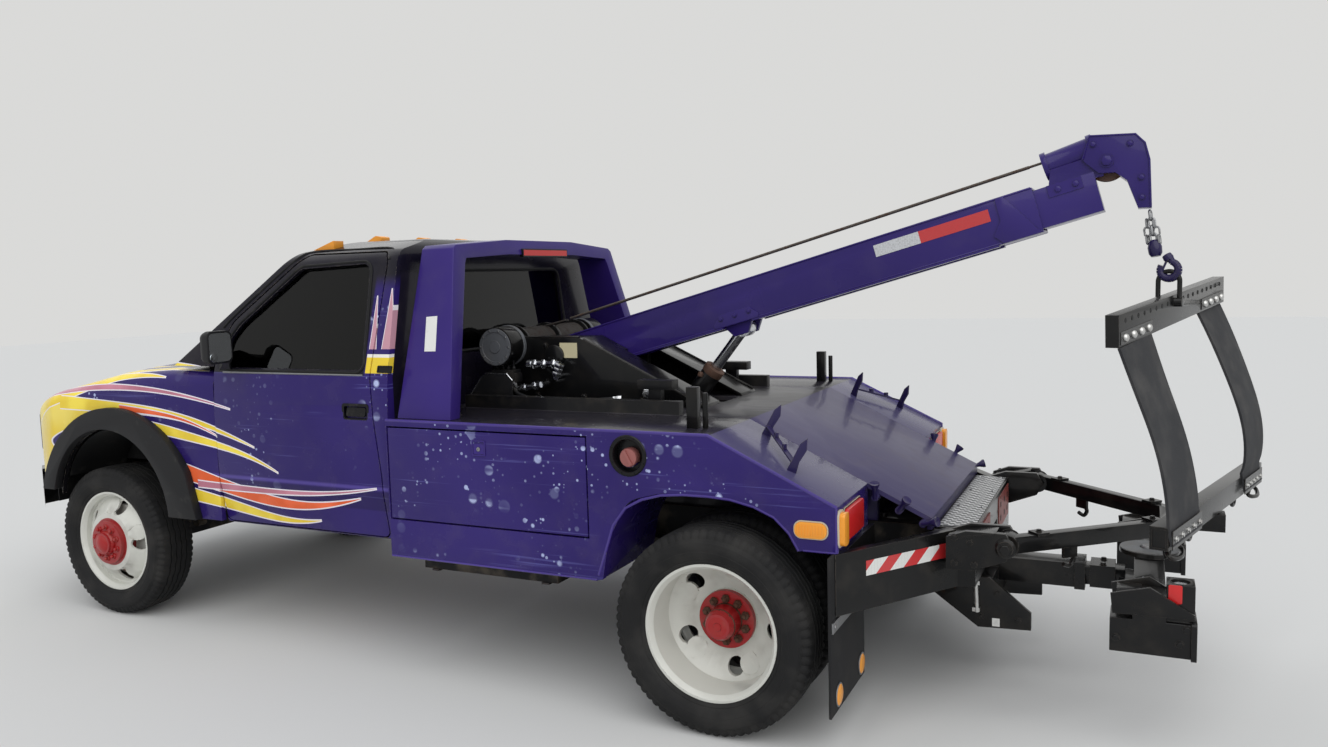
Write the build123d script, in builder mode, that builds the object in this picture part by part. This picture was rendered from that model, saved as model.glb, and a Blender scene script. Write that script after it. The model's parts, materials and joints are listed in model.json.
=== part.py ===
# Light tow truck with a sling boom and a wheel lift, parked with its sling stowed.
# Millimetres. +X points forward, +Y to the driver's left, +Z up. The origin is on the
# ground, at the middle of the truck's length and width.
import os
from math import cos, radians, sin

from build123d import *

os.makedirs("parts", exist_ok=True)

# Driving dimensions of the chassis
WHEELBASE = 3442
FRONT_AXLE_X = 2225
REAR_AXLE_X = FRONT_AXLE_X - WHEELBASE
TYRE_R = 390
WHEEL_Z = TYRE_R
RIM_R = 248
FLANGE_R = 260
FRONT_TYRE_Y = 837
REAR_OUTER_Y = 976
REAR_INNER_Y = 715
KINGPIN_Y = 720
RAIL_INNER = 360
RAIL_OUTER = 430
RAIL_BOTTOM = 520
RAIL_TOP = 700
RAIL_WEB = 14
RAIL_FRONT_X = 2900
RAIL_REAR_X = -1905
PANEL_GAP = 7
PIN_GAP = 0.05

# Driving dimensions of the cab and its nose
CAB_HALF = 1000
CAB_BACK_X = 315
BELT_Z = 1290
ROOF_Z = 1908
COWL_X = 1690
DOOR_FRONT_X = 1365
DOOR_REAR_X = 370
FOOTWELL_HALF = 690
COWL_HALF = 735
DOOR_INNER = 775
SILL_HALF = 862
FLOOR_Z = 745
NOSE_X = 2960
BUMPER_X = 3103
GLASS = 6

# Driving dimensions of the tow body
BODY_FRONT_X = 285
BODY_HALF = 1014
BODY_INNER = 570
DECK_Z = 1114
PLATE = 18
SKIRT_Z = 525
CREST_X = -1205
TAIL_X = -1682
TAIL_TOP_Z = 882
SLOPE = (DECK_Z - TAIL_TOP_Z) / (CREST_X - TAIL_X)
CENTRE_TAIL_X = -1925
CENTRE_TAIL_Z = DECK_Z - SLOPE * (CREST_X - CENTRE_TAIL_X)
REAR_FRAME_X = -2075
REAR_FRAME_TOP = 720
REAR_FRAME_BOTTOM = 500

# Driving dimensions of the boom, in its own side plane
BOOM_TILT = 15.4
BOOM_PIVOT = (-150, 0, 1338)
BOOM_PIN_R = 30
BOOM_FOOT = -90
BOOM_LENGTH = 2174
BOOM_HALF_DEPTH = 90
BOOM_HALF_WIDTH = 100
BOOM_WALL = 8
INNER_BOOM_START = 1150
INNER_BOOM_END = 2401
CYLINDER_BASE = (-560, 0, 930)
CYLINDER_EYE = (-975, 0, 1450)
WINCH_X = 100
WINCH_Z = 1385

# Driving dimensions of the sling and the wheel lift
SLING_PIN_X = -2198
SLING_PIN_Y = 599
SLING_PIN_Z = 695
SLING_PIN_R = 20
PITCH_PIN_X = -2785
PITCH_PIN_Z = 690
SLING_YAW = 16
TOP_BAR_DROP = 4.2
SLING_LOW = (-2881, 0, 780)
SLING_TOP = (-2727, 0, 1522)
SLING_HALF = 700
LIFT_PIVOT_X = -1960
LIFT_PIVOT_Z = 580
LIFT_HEAD_X = -2665
LIFT_Z = 450

pieces = {}


def extruded(plane, points, amount, mode, radii):
    """Extrude the closed outline of some corners, each rounded where radii are given."""
    with BuildSketch(plane) as outline:
        with BuildLine():
            if radii is None:
                Polyline(*points, close=True)
            else:
                FilletPolyline(*points, radius=radii, close=True)
        make_face()
    extrude(outline.sketch, amount=amount, mode=mode)


def side(points, y_low, y_high, mode=Mode.ADD, radii=None):
    """Extrude an outline given as (x, z) corners from y_low to y_high."""
    extruded(Plane.XZ.offset(-y_high), points, y_high - y_low, mode, radii)


def plan(points, z_low, z_high, mode=Mode.ADD, radii=None):
    """Extrude an outline given as (x, y) corners from z_low to z_high."""
    extruded(Plane.XY.offset(z_low), points, z_high - z_low, mode, radii)


def cross(points, x_low, x_high, mode=Mode.ADD, radii=None):
    """Extrude an outline given as (y, z) corners from x_low to x_high."""
    extruded(Plane.YZ.offset(x_low), points, x_high - x_low, mode, radii)


def block(x_span, y_span, z_span, mode=Mode.ADD):
    """Add a box given by its lowest and highest x, y and z."""
    corners = [(x_span[0], y_span[0]), (x_span[1], y_span[0]), (x_span[1], y_span[1]), (x_span[0], y_span[1])]
    plan(corners, z_span[0], z_span[1], mode)


def rod(start, end, radius, mode=Mode.ADD):
    """Add a round bar from one point to another."""
    run = Vector(*end) - Vector(*start)
    with BuildSketch(Plane(origin=start, z_dir=run)) as outline:
        Circle(radius)
    extrude(outline.sketch, amount=run.length, mode=mode)


def bar(start, end, width, depth, mode=Mode.ADD):
    """Add a flat bar between two points, its width level and its depth upright."""
    run = Vector(*end) - Vector(*start)
    level = run.cross(Vector(0, 0, 1))
    with BuildSketch(Plane(origin=start, x_dir=level, z_dir=run)) as outline:
        Rectangle(width, depth)
    extrude(outline.sketch, amount=run.length, mode=mode)


def bent_rod(centre, level, bend_r, wire_r, first, turn, mode=Mode.ADD):
    """Add part of a ring of wire, upright over the level direction, from angle first on."""
    axle = level.cross(Vector(0, 0, 1))
    out = level * cos(radians(first)) + Vector(0, 0, sin(radians(first)))
    with BuildSketch(Plane(origin=centre + out * bend_r, x_dir=out, z_dir=axle.cross(out))) as wire:
        Circle(wire_r)
    revolve(wire.sketch, axis=Axis(centre, axle), revolution_arc=turn, mode=mode)


def spun(points, x, mode=Mode.ADD):
    """Revolve a (radius, y) outline about the axle line at x and wheel height."""
    with BuildSketch(Plane(origin=(x, 0, WHEEL_Z), x_dir=(1, 0, 0), z_dir=(0, 0, 1))) as outline:
        with BuildLine():
            Polyline(*points, close=True)
        make_face()
    revolve(outline.sketch, axis=Axis((x, 0, WHEEL_Z), (0, 1, 0)), mode=mode)


def both_sides(points):
    """Close a half outline, given for the left side, with its mirror image."""
    return points + [(-y, z) for y, z in reversed(points)]


def both_radii(radii):
    """The corner radii that go with a half outline closed by its mirror image."""
    return radii + radii[::-1]


def spans(low, high):
    """The same span across the left side and across the right side."""
    return (low, high), (-high, -low)


def keep(name, piece):
    """Remember a finished piece under its node's name."""
    pieces[name] = piece.part


# Chassis frame: two channel rails, cross members and spring hangers
CROSS_MEMBER_X = (2700, 1150, 60, -900, -1640)
SPRING_HANGER_X = (REAR_AXLE_X - 640, REAR_AXLE_X + 640)
REAR_SPRING = (452, 528)
FRONT_SPRING = (363, 427)
with BuildPart() as chassis_frame:
    rail = [(RAIL_INNER, RAIL_BOTTOM), (RAIL_OUTER, RAIL_BOTTOM), (RAIL_OUTER, RAIL_TOP),
            (RAIL_INNER, RAIL_TOP), (RAIL_INNER, RAIL_TOP - RAIL_WEB),
            (RAIL_OUTER - RAIL_WEB, RAIL_TOP - RAIL_WEB), (RAIL_OUTER - RAIL_WEB, RAIL_BOTTOM + RAIL_WEB),
            (RAIL_INNER, RAIL_BOTTOM + RAIL_WEB)]
    cross(rail, RAIL_REAR_X, RAIL_FRONT_X)
    cross([(-y, z) for y, z in rail], RAIL_REAR_X, RAIL_FRONT_X)
    for x in CROSS_MEMBER_X:
        block((x - 40, x + 40), (-RAIL_OUTER + 5, RAIL_OUTER - 5), (610, 690))
    for x in SPRING_HANGER_X:
        for span in spans(RAIL_OUTER - 5, REAR_SPRING[1] + 2):
            block((x - 45, x + 45), span, (590, 660))
keep("chassis_frame", chassis_frame)

with BuildPart() as engine_block:
    block((1950, 2640), (-280, 280), (500, 1020))
    block((2250, 2350), (-RAIL_INNER, RAIL_INNER), (560, 660))
keep("engine_block", engine_block)

SHAFT_FRONT = (1400, 0, 560)
SHAFT_REAR = (REAR_AXLE_X + 205, 0, 430)
with BuildPart() as driveline:
    block((1400, 1950), (-150, 150), (470, 698))
    rod(SHAFT_FRONT, SHAFT_REAR, 45)
keep("driveline", driveline)

# Axles: a forged front beam between kingpin bosses and a rear tube with its final drive
KINGPIN_R = 18
BOSS_LOW = 340
BOSS_HIGH = 440
with BuildPart() as front_axle:
    cross([(KINGPIN_Y - 20, BOSS_HIGH - 5), (KINGPIN_Y - 20, BOSS_LOW + 10), (590, 320), (-590, 320),
           (20 - KINGPIN_Y, BOSS_LOW + 10), (20 - KINGPIN_Y, BOSS_HIGH - 5), (-560, 400), (560, 400)],
          FRONT_AXLE_X - 35, FRONT_AXLE_X + 35)
    for y in (KINGPIN_Y, -KINGPIN_Y):
        rod((FRONT_AXLE_X, y, BOSS_LOW), (FRONT_AXLE_X, y, BOSS_HIGH), 38)
        rod((FRONT_AXLE_X, y, BOSS_LOW), (FRONT_AXLE_X, y, BOSS_HIGH), KINGPIN_R + PIN_GAP, Mode.SUBTRACT)
keep("front_axle", front_axle)

AXLE_TUBE_R = 62
AXLE_END_R = 40
AXLE_END_Y = 868
with BuildPart() as rear_axle:
    rod((REAR_AXLE_X, -600, WHEEL_Z), (REAR_AXLE_X, 600, WHEEL_Z), AXLE_TUBE_R)
    rod((REAR_AXLE_X, -AXLE_END_Y, WHEEL_Z), (REAR_AXLE_X, AXLE_END_Y, WHEEL_Z), AXLE_END_R)
    rod((REAR_AXLE_X, -110, WHEEL_Z), (REAR_AXLE_X, 110, WHEEL_Z), 165)
    rod((REAR_AXLE_X, 0, WHEEL_Z + 20), (SHAFT_REAR[0] - 5, 0, SHAFT_REAR[2] - 2), 75)
keep("rear_axle", rear_axle)

with BuildPart() as leaf_springs:
    for low, high in spans(*FRONT_SPRING):
        side([(FRONT_AXLE_X + 620, 475), (FRONT_AXLE_X + 620, 520), (FRONT_AXLE_X + 60, 450),
              (FRONT_AXLE_X - 60, 450), (FRONT_AXLE_X - 660, 520), (FRONT_AXLE_X - 660, 475),
              (FRONT_AXLE_X - 60, 400), (FRONT_AXLE_X + 60, 400)], low, high)
    for low, high in spans(*REAR_SPRING):
        side([(REAR_AXLE_X + 690, 545), (REAR_AXLE_X + 690, 590), (REAR_AXLE_X + 590, 590),
              (REAR_AXLE_X + 70, 530), (REAR_AXLE_X - 70, 530), (REAR_AXLE_X - 590, 590),
              (REAR_AXLE_X - 690, 590), (REAR_AXLE_X - 690, 545), (REAR_AXLE_X - 70, 454),
              (REAR_AXLE_X + 70, 454)], low, high)
        rod((REAR_AXLE_X, low, WHEEL_Z), (REAR_AXLE_X, high, WHEEL_Z), AXLE_TUBE_R + 0.2, Mode.SUBTRACT)
keep("leaf_springs", leaf_springs)

with BuildPart() as fuel_tank:
    block((-480, 200), (540, 900), (450, 650))
keep("fuel_tank", fuel_tank)

# Wheels. Each outline is (radius, distance along the axle); the front one is measured out
# from the tyre's middle and the rear pair from the middle of the truck
SPINDLE_R = 30
HUB_BORE_R = SPINDLE_R + PIN_GAP
front_wheel_outline = [
    (FLANGE_R, 86), (250, 86), (236, 66), (236, 40), (225, 38), (150, 100), (112, 100), (112, 122),
    (60, 122), (55, 150), (0, 150), (0, 112), (HUB_BORE_R, 112), (HUB_BORE_R, -35), (185, -35),
    (185, 25), (112, 25), (112, 88), (150, 88), (222, 26), (236, 20), (236, -66), (250, -86),
    (FLANGE_R, -86), (FLANGE_R, -76), (RIM_R, -76), (RIM_R, 76), (FLANGE_R, 76)]
rear_wheel_outline = [
    (FLANGE_R, 1062), (250, 1062), (236, 1042), (236, 906), (225, 896), (150, 858), (112, 858),
    (112, 890), (64, 890), (60, 960), (48, 985), (0, 985), (0, 870), (AXLE_END_R + PIN_GAP, 870),
    (AXLE_END_R + PIN_GAP, 640), (190, 640), (190, 760), (112, 760), (112, 833), (150, 833), (222, 771),
    (236, 765), (236, 649), (250, 629), (FLANGE_R, 629), (FLANGE_R, 639), (RIM_R, 639), (RIM_R, 791),
    (FLANGE_R, 791), (FLANGE_R, 801), (250, 801), (238, 790), (230, 783), (150, 845), (228, 880),
    (250, 890), (FLANGE_R, 890), (FLANGE_R, 900), (RIM_R, 900), (RIM_R, 1052), (FLANGE_R, 1052)]
HAND_HOLES = 5
HAND_HOLE_R = 34

with BuildPart() as front_wheel_left:
    spun([(r, FRONT_TYRE_Y + y) for r, y in front_wheel_outline], FRONT_AXLE_X)
    with Locations(Plane(origin=(FRONT_AXLE_X, FRONT_TYRE_Y + 26, WHEEL_Z), z_dir=(0, 1, 0))):
        with PolarLocations(186, HAND_HOLES):
            Cylinder(HAND_HOLE_R, 90, align=(Align.CENTER, Align.CENTER, Align.MIN), mode=Mode.SUBTRACT)
keep("front_wheel_left", front_wheel_left)

with BuildPart() as front_wheel_right:
    mirror(front_wheel_left.part, about=Plane.XZ)
keep("front_wheel_right", front_wheel_right)

with BuildPart() as rear_wheels_left:
    spun(rear_wheel_outline, REAR_AXLE_X)
    with Locations(Plane(origin=(REAR_AXLE_X, 765, WHEEL_Z), z_dir=(0, 1, 0))):
        with PolarLocations(187, HAND_HOLES):
            Cylinder(HAND_HOLE_R, 140, align=(Align.CENTER, Align.CENTER, Align.MIN), mode=Mode.SUBTRACT)
keep("rear_wheels_left", rear_wheels_left)

with BuildPart() as rear_wheels_right:
    mirror(rear_wheels_left.part, about=Plane.XZ)
keep("rear_wheels_right", rear_wheels_right)

# Tyres: rings of flat faces that stand on a corner. Each station is (distance across, radius)
TYRE_SIDES = 40
TYRE_BORE_R = 249.5
BEAD_R = 262
BEAD_Y = 76
BULGE_R = 318
BULGE_Y = 112
SHOULDER_Y = 93
tread_stations = [(-BULGE_Y, 340), (-SHOULDER_Y, 379), (-BEAD_Y, TYRE_R), (BEAD_Y, TYRE_R),
                  (SHOULDER_Y, 379), (BULGE_Y, 340)]


def hoop(axle_x, y, radius):
    """One many-sided face across an axle."""
    with BuildSketch(Plane(origin=(axle_x, y, WHEEL_Z), x_dir=(1, 0, 0), z_dir=(0, 1, 0))) as face:
        RegularPolygon(radius, TYRE_SIDES)
    return face.sketch


def tyre(axle_x, middle_y):
    """Add one tyre about an axle, dished down to its beads on both sides."""
    loft([hoop(axle_x, middle_y + y, radius) for y, radius in tread_stations], ruled=True)
    for hand in (1, -1):
        loft([hoop(axle_x, middle_y + hand * BEAD_Y, BEAD_R), hoop(axle_x, middle_y + hand * BULGE_Y, BULGE_R)],
             ruled=True, mode=Mode.SUBTRACT)
    extrude(hoop(axle_x, middle_y - BULGE_Y, TYRE_BORE_R), amount=2 * BULGE_Y, mode=Mode.SUBTRACT)


with BuildPart() as front_tyre_left:
    tyre(FRONT_AXLE_X, FRONT_TYRE_Y)
keep("front_tyre_left", front_tyre_left)

with BuildPart() as front_tyre_right:
    tyre(FRONT_AXLE_X, -FRONT_TYRE_Y)
keep("front_tyre_right", front_tyre_right)

with BuildPart() as inner_tyre_left:
    tyre(REAR_AXLE_X, REAR_INNER_Y)
with BuildPart() as outer_tyre_left:
    tyre(REAR_AXLE_X, REAR_OUTER_Y)
with BuildPart() as rear_tyres_left:
    add(inner_tyre_left.part)
    add(outer_tyre_left.part)
keep("rear_tyres_left", rear_tyres_left)

with BuildPart() as rear_tyres_right:
    mirror(rear_tyres_left.part, about=Plane.XZ)
keep("rear_tyres_right", rear_tyres_right)

# Steering knuckles: ears above and below the beam's boss, a kingpin and a spindle
KNUCKLE_LOW = 298
KNUCKLE_HIGH = 482
EAR = 41
with BuildPart() as knuckle_left:
    for low in (KNUCKLE_LOW, KNUCKLE_HIGH - EAR):
        rod((FRONT_AXLE_X, KINGPIN_Y, low), (FRONT_AXLE_X, KINGPIN_Y, low + EAR), 40)
        block((FRONT_AXLE_X - 40, FRONT_AXLE_X + 40), (KINGPIN_Y, 790), (low, low + EAR))
    block((FRONT_AXLE_X - 60, FRONT_AXLE_X + 60), (KINGPIN_Y + 45, 795), (KNUCKLE_LOW, KNUCKLE_HIGH))
    rod((FRONT_AXLE_X, KINGPIN_Y, KNUCKLE_LOW), (FRONT_AXLE_X, KINGPIN_Y, KNUCKLE_HIGH), KINGPIN_R)
    rod((FRONT_AXLE_X, 790, WHEEL_Z), (FRONT_AXLE_X, FRONT_TYRE_Y + 108, WHEEL_Z), SPINDLE_R)
keep("knuckle_left", knuckle_left)

with BuildPart() as knuckle_right:
    mirror(knuckle_left.part, about=Plane.XZ)
keep("knuckle_right", knuckle_right)

# Cab: its outer form is a side outline and a front outline cut by each other
cab_side_outline = [(345, 560), (CAB_BACK_X, 620), (CAB_BACK_X, 1290), (352, 1893), (640, 1912), (860, 1896),
                    (962, 1840), (1668, 1303), (COWL_X, 1285), (COWL_X, RAIL_TOP), (1500, 560)]
cab_side_radii = [0, 20, 500, 85, 900, 260, 45, 20, 0, 0, 0]
cab_front_half = [(640, RAIL_TOP), (640, 560), (918, 560), (957, 790), (963, 1100), (949, BELT_Z), (797, 1838),
                  (520, 1897), (250, 1909)]
cab_front_radii = [0, 0, 25, 500, 900, 150, 95, 500, 900]
cab_room_side = [(365, FLOOR_Z), (365, 1290), (394, 1795), (430, 1850), (650, 1868), (838, 1852), (935, 1800),
                 (1600, 1290), (1630, 1260), (1630, FLOOR_Z)]
cab_room_half = [(865, FLOOR_Z), (874, 1100), (868, 1260), (886, 1310), (742, 1800), (690, 1840), (600, 1862)]
door_outline = [(DOOR_FRONT_X, 575), (DOOR_FRONT_X, 1350), (1290, 1525), (925, 1800), (870, 1832), (425, 1832),
                (400, 1790), (418, BELT_Z), (DOOR_REAR_X, 850), (DOOR_REAR_X, 575)]
door_radii = [30, 60, 150, 90, 60, 25, 60, 900, 300, 30]
window_outline = [(1295, 1318), (1295, 1440), (1235, 1515), (905, 1770), (495, 1785), (462, 1318)]
window_radii = [25, 90, 90, 60, 40, 30]
windshield_half = [(800, 1350), (655, 1790)]
back_window_half = [(560, 1370), (520, 1740)]

with BuildPart() as cab_outer:
    cross(both_sides(cab_front_half), 300, 1700, radii=both_radii(cab_front_radii))
    side(cab_side_outline, -CAB_HALF, CAB_HALF, Mode.INTERSECT, cab_side_radii)

with BuildPart() as cab_room:
    cross(both_sides(cab_room_half), 300, 1700)
    side(cab_room_side, -CAB_HALF, CAB_HALF, Mode.INTERSECT)
    for low, high in spans(FOOTWELL_HALF, CAB_HALF):
        block((DOOR_FRONT_X + PANEL_GAP, 1700), (low, high), (700, 1345), Mode.SUBTRACT)

with BuildPart() as cab_shell:
    add(cab_outer.part)
    add(cab_room.part, mode=Mode.SUBTRACT)
    for low, high in spans(COWL_HALF, CAB_HALF):
        block((DOOR_FRONT_X + 3, 1800), (low, high), (500, 1322), Mode.SUBTRACT)
    with BuildSketch(Plane.XZ.offset(-CAB_HALF)) as doorway:
        with BuildLine():
            FilletPolyline(*door_outline, radius=door_radii, close=True)
        make_face()
        offset(amount=PANEL_GAP)
    extrude(doorway.sketch, amount=300, mode=Mode.SUBTRACT)
    extrude(mirror(doorway.sketch, about=Plane.XZ), amount=300, mode=Mode.SUBTRACT)
    for low, high in spans(700, SILL_HALF):
        block((DOOR_REAR_X - 10, DOOR_FRONT_X + 10), (low, high), (565, FLOOR_Z - 5))
    cross(both_sides(windshield_half), 900, 1700, Mode.SUBTRACT, [60] * 4)
    cross(both_sides(back_window_half), 300, 400, Mode.SUBTRACT, [50] * 4)
keep("cab_shell", cab_shell)

with BuildPart() as windshield:
    cross(both_sides(windshield_half), 900, 1700, radii=[60] * 4)
    side([(1660, 1290), (960, 1820), (960, 1811), (1648, 1290)], -CAB_HALF, CAB_HALF, Mode.INTERSECT)
with BuildPart() as back_window:
    cross(both_sides(back_window_half), 300, 400, radii=[50] * 4)
    side([(CAB_BACK_X + 14, 1290), (358, 1800), (358 + GLASS, 1800), (CAB_BACK_X + 14 + GLASS, 1290)],
         -CAB_HALF, CAB_HALF, Mode.INTERSECT)
with BuildPart() as cab_glass:
    add(windshield.part)
    add(back_window.part)
keep("cab_glass", cab_glass)

with BuildPart() as door_left:
    add(cab_outer.part)
    add(cab_room.part, mode=Mode.SUBTRACT)
    side(door_outline, DOOR_INNER, CAB_HALF, Mode.INTERSECT, door_radii)
    block((DOOR_REAR_X - 10, DOOR_FRONT_X + 10), (700, SILL_HALF + 10), (500, FLOOR_Z + 5), Mode.SUBTRACT)
    cross([(700, 1300), (906, 1300), (768, 1800), (700, 1800)], DOOR_REAR_X, 430, Mode.SUBTRACT)
    side(window_outline, 600, CAB_HALF, Mode.SUBTRACT, window_radii)
    side([(565, 1100), (425, 1100), (425, 1166), (565, 1166)], 940, CAB_HALF, Mode.SUBTRACT, [12] * 4)
keep("door_left", door_left)

with BuildPart() as door_right:
    mirror(door_left.part, about=Plane.XZ)
keep("door_right", door_right)

with BuildPart() as door_glass_left:
    side(window_outline, 700, CAB_HALF, radii=window_radii)
    cross([(925, 1300), (773, 1810), (773 + GLASS, 1810), (925 + GLASS, 1300)], 300, 1700, Mode.INTERSECT)
keep("door_glass_left", door_glass_left)

with BuildPart() as door_glass_right:
    mirror(door_glass_left.part, about=Plane.XZ)
keep("door_glass_right", door_glass_right)

MIRROR_ARM_R = 10
with BuildPart() as mirror_left:
    cross([(1010, 1350), (1150, 1350), (1150, 1500), (1010, 1500)], 1160, 1225, radii=[25] * 4)
    rod((1205, 1080, 1380), (1320, 962, 1310), MIRROR_ARM_R)
    rod((1205, 1080, 1460), (1320, 955, 1335), MIRROR_ARM_R)
    cross([(948.6, 1297), (933.4, 1352), (944, 1355), (963, 1297)], 1290, 1350)
keep("mirror_left", mirror_left)

with BuildPart() as mirror_right:
    mirror(mirror_left.part, about=Plane.XZ)
keep("mirror_right", mirror_right)

# Cab inside
with BuildPart() as bench_seat:
    side([(480, 960), (480, 1080), (930, 1100), (990, 1060), (980, 960)], -690, 690, radii=[0, 0, 40, 30, 0])
    side([(380, 1080), (560, 1080), (470, 1560), (400, 1560)], -690, 690, radii=[0, 0, 25, 25])
    block((500, 940), (-640, 640), (745, 960))
keep("bench_seat", bench_seat)

with BuildPart() as dashboard:
    side([(1628, 1240), (1628, 900), (1480, 900), (1400, 1000), (1400, 1180), (1480, 1240)],
         -FOOTWELL_HALF, FOOTWELL_HALF, radii=[0, 0, 0, 40, 50, 60])
keep("dashboard", dashboard)

STEERING_CENTRE = (1180, 360, 1200)
with BuildPart() as steering_wheel:
    with BuildSketch(Plane(origin=STEERING_CENTRE, z_dir=(-0.8, 0, 0.6))) as rim_face:
        Circle(200)
        Circle(170, mode=Mode.SUBTRACT)
        Rectangle(360, 40)
        Circle(60)
    extrude(rim_face.sketch, amount=25)
    rod(STEERING_CENTRE, (1440, 360, 1005), 28)
    block((1398, 1500), (300, 420), (900, 1200), Mode.SUBTRACT)
keep("steering_wheel", steering_wheel)

MARKER_LAMP_Y = (-660, -330, 0, 330, 660)
MARKER_LAMP = ((815, 1800), (815, 1925), (850, 1932), (935, 1890), (960, 1860), (960, 1800))
with BuildPart() as cab_marker_lamps:
    for y in MARKER_LAMP_Y:
        side(MARKER_LAMP, y - 32, y + 32, radii=[0, 10, 20, 20, 10, 0])
    add(cab_outer.part, mode=Mode.SUBTRACT)
    for low, high in spans(600, 700):
        side([(700, 2000), (700, 1912), (820, 1899), (1000, 1840), (1000, 2000)], low, high, Mode.SUBTRACT)
keep("cab_marker_lamps", cab_marker_lamps)

# Nose: lofted from the cowl to the front, then split into a hood between two fender shells.
# Each station is (distance forward, half width, height of the sides, rise of the crown)
NOSE_SKIN = 25
NOSE_CORNER_R = 70
nose_stations = [(DOOR_FRONT_X + PANEL_GAP, 955, 1290, 42), (COWL_X, 955, 1302, 42), (2050, 955, 1276, 40),
                 (2560, 952, 1172, 34), (2880, 940, 1094, 26), (NOSE_X, 930, 1058, 20)]


def nose_section(x, half, top, crown, skin):
    """One upright section of the nose, or of the room inside it at the given skin."""
    half, top, low = half - skin, top - skin, 540 - skin
    reach = NOSE_CORNER_R * (1 - cos(radians(45)))
    with BuildSketch(Plane.YZ.offset(x)) as section:
        with BuildLine():
            Line((-half, low), (-half, top - NOSE_CORNER_R))
            ThreePointArc((-half, top - NOSE_CORNER_R), (reach - half, top - reach), (NOSE_CORNER_R - half, top))
            ThreePointArc((NOSE_CORNER_R - half, top), (0, top + crown), (half - NOSE_CORNER_R, top))
            ThreePointArc((half - NOSE_CORNER_R, top), (half - reach, top - reach), (half, top - NOSE_CORNER_R))
            Line((half, top - NOSE_CORNER_R), (half, low))
            Line((half, low), (-half, low))
        make_face()
    return section.sketch


NOSE_PLAN = [(1300, -1000), (NOSE_X, -1000), (NOSE_X, 1000), (1300, 1000)]
with BuildPart() as nose_outer:
    loft([nose_section(*station, 0) for station in nose_stations], ruled=True)
    plan([(1300, -970), (NOSE_X, -945), (NOSE_X, 945), (1300, 970)], 400, 1500, Mode.INTERSECT, [0, 90, 90, 0])

with BuildPart() as nose_room:
    loft([nose_section(x + (-30 if x < COWL_X else 0), half, top, crown, NOSE_SKIN)
          for x, half, top, crown in nose_stations], ruled=True)
    plan([(1300, -945), (NOSE_X - NOSE_SKIN, -920), (NOSE_X - NOSE_SKIN, 920), (1300, 945)],
         400, 1500, Mode.INTERSECT, [0, 75, 75, 0])

HOOD_HALF = 733
with BuildPart() as hood:
    add(nose_outer.part)
    add(nose_room.part, mode=Mode.SUBTRACT)
    side([(COWL_X + 18, 1240), (2050, 1200), (2560, 1100), (2860, 1035), (NOSE_X + 5, 1035), (NOSE_X + 5, 1400),
          (COWL_X + 18, 1400)], -HOOD_HALF, HOOD_HALF, Mode.INTERSECT)
keep("hood", hood)

ARCH_X = 2130
ARCH_Z = 558
ARCH_R = 435
FENDER_LOW_REAR = 575
FENDER_LOW_FRONT = 655
with BuildPart() as fender_left:
    add(nose_outer.part)
    add(nose_room.part, mode=Mode.SUBTRACT)
    block((1300, 3000), (HOOD_HALF + PANEL_GAP, 1000), (FENDER_LOW_REAR, 1400), Mode.INTERSECT)
    block((ARCH_X + ARCH_R - 5, 3000), (700, 1000), (500, FENDER_LOW_FRONT), Mode.SUBTRACT)
    rod((ARCH_X, 700, ARCH_Z), (ARCH_X, 1000, ARCH_Z), ARCH_R, Mode.SUBTRACT)
    block((ARCH_X - ARCH_R, ARCH_X + ARCH_R), (700, 1000), (400, ARCH_Z), Mode.SUBTRACT)
keep("fender_left", fender_left)

with BuildPart() as fender_right:
    mirror(fender_left.part, about=Plane.XZ)
keep("fender_right", fender_right)

FLARE_WIDTH = 85
FLARE_OUT = 998
with BuildPart() as wheel_flares:
    with BuildSketch(Plane.XZ.offset(-FLARE_OUT)) as flare:
        with BuildLine():
            inner_arc = ThreePointArc((ARCH_X - ARCH_R, 575), (ARCH_X, ARCH_Z + ARCH_R),
                                      (ARCH_X + ARCH_R - 12, FENDER_LOW_FRONT))
            Line(inner_arc @ 1, (ARCH_X + ARCH_R + FLARE_WIDTH, FENDER_LOW_FRONT))
            outer_arc = ThreePointArc((ARCH_X + ARCH_R + FLARE_WIDTH, FENDER_LOW_FRONT), (ARCH_X + 20, 1100),
                                      (1560, 800))
            Line(outer_arc @ 1, (1500, 575))
            Line((1500, 575), inner_arc @ 0)
        make_face()
    extrude(flare.sketch, amount=FLARE_OUT - 956)
    extrude(mirror(flare.sketch, about=Plane.XZ), amount=FLARE_OUT - 956)
keep("wheel_flares", wheel_flares)

GRILLE_SLOT_Z = (745, 815, 885, 955)
with BuildPart() as grille:
    block((NOSE_X - 10, NOSE_X + 45), (-610, 610), (720, 1028))
    for z in GRILLE_SLOT_Z:
        block((NOSE_X + 10, NOSE_X + 50), (-590, 590), (z, z + 48), Mode.SUBTRACT)
keep("grille", grille)

LAMP_Z = (745, 860)
with BuildPart() as lamps:
    for low, high in spans(615, 905):
        block((NOSE_X, NOSE_X + 45), (low, high), (800, 1020))
    for low, high in spans(700, 925):
        block((TAIL_X - 22, TAIL_X), (low, high), LAMP_Z)
    for low, high in spans(950, 1005):
        block((TAIL_X - 30, TAIL_X), (low, high), LAMP_Z)
keep("lamps", lamps)

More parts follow.
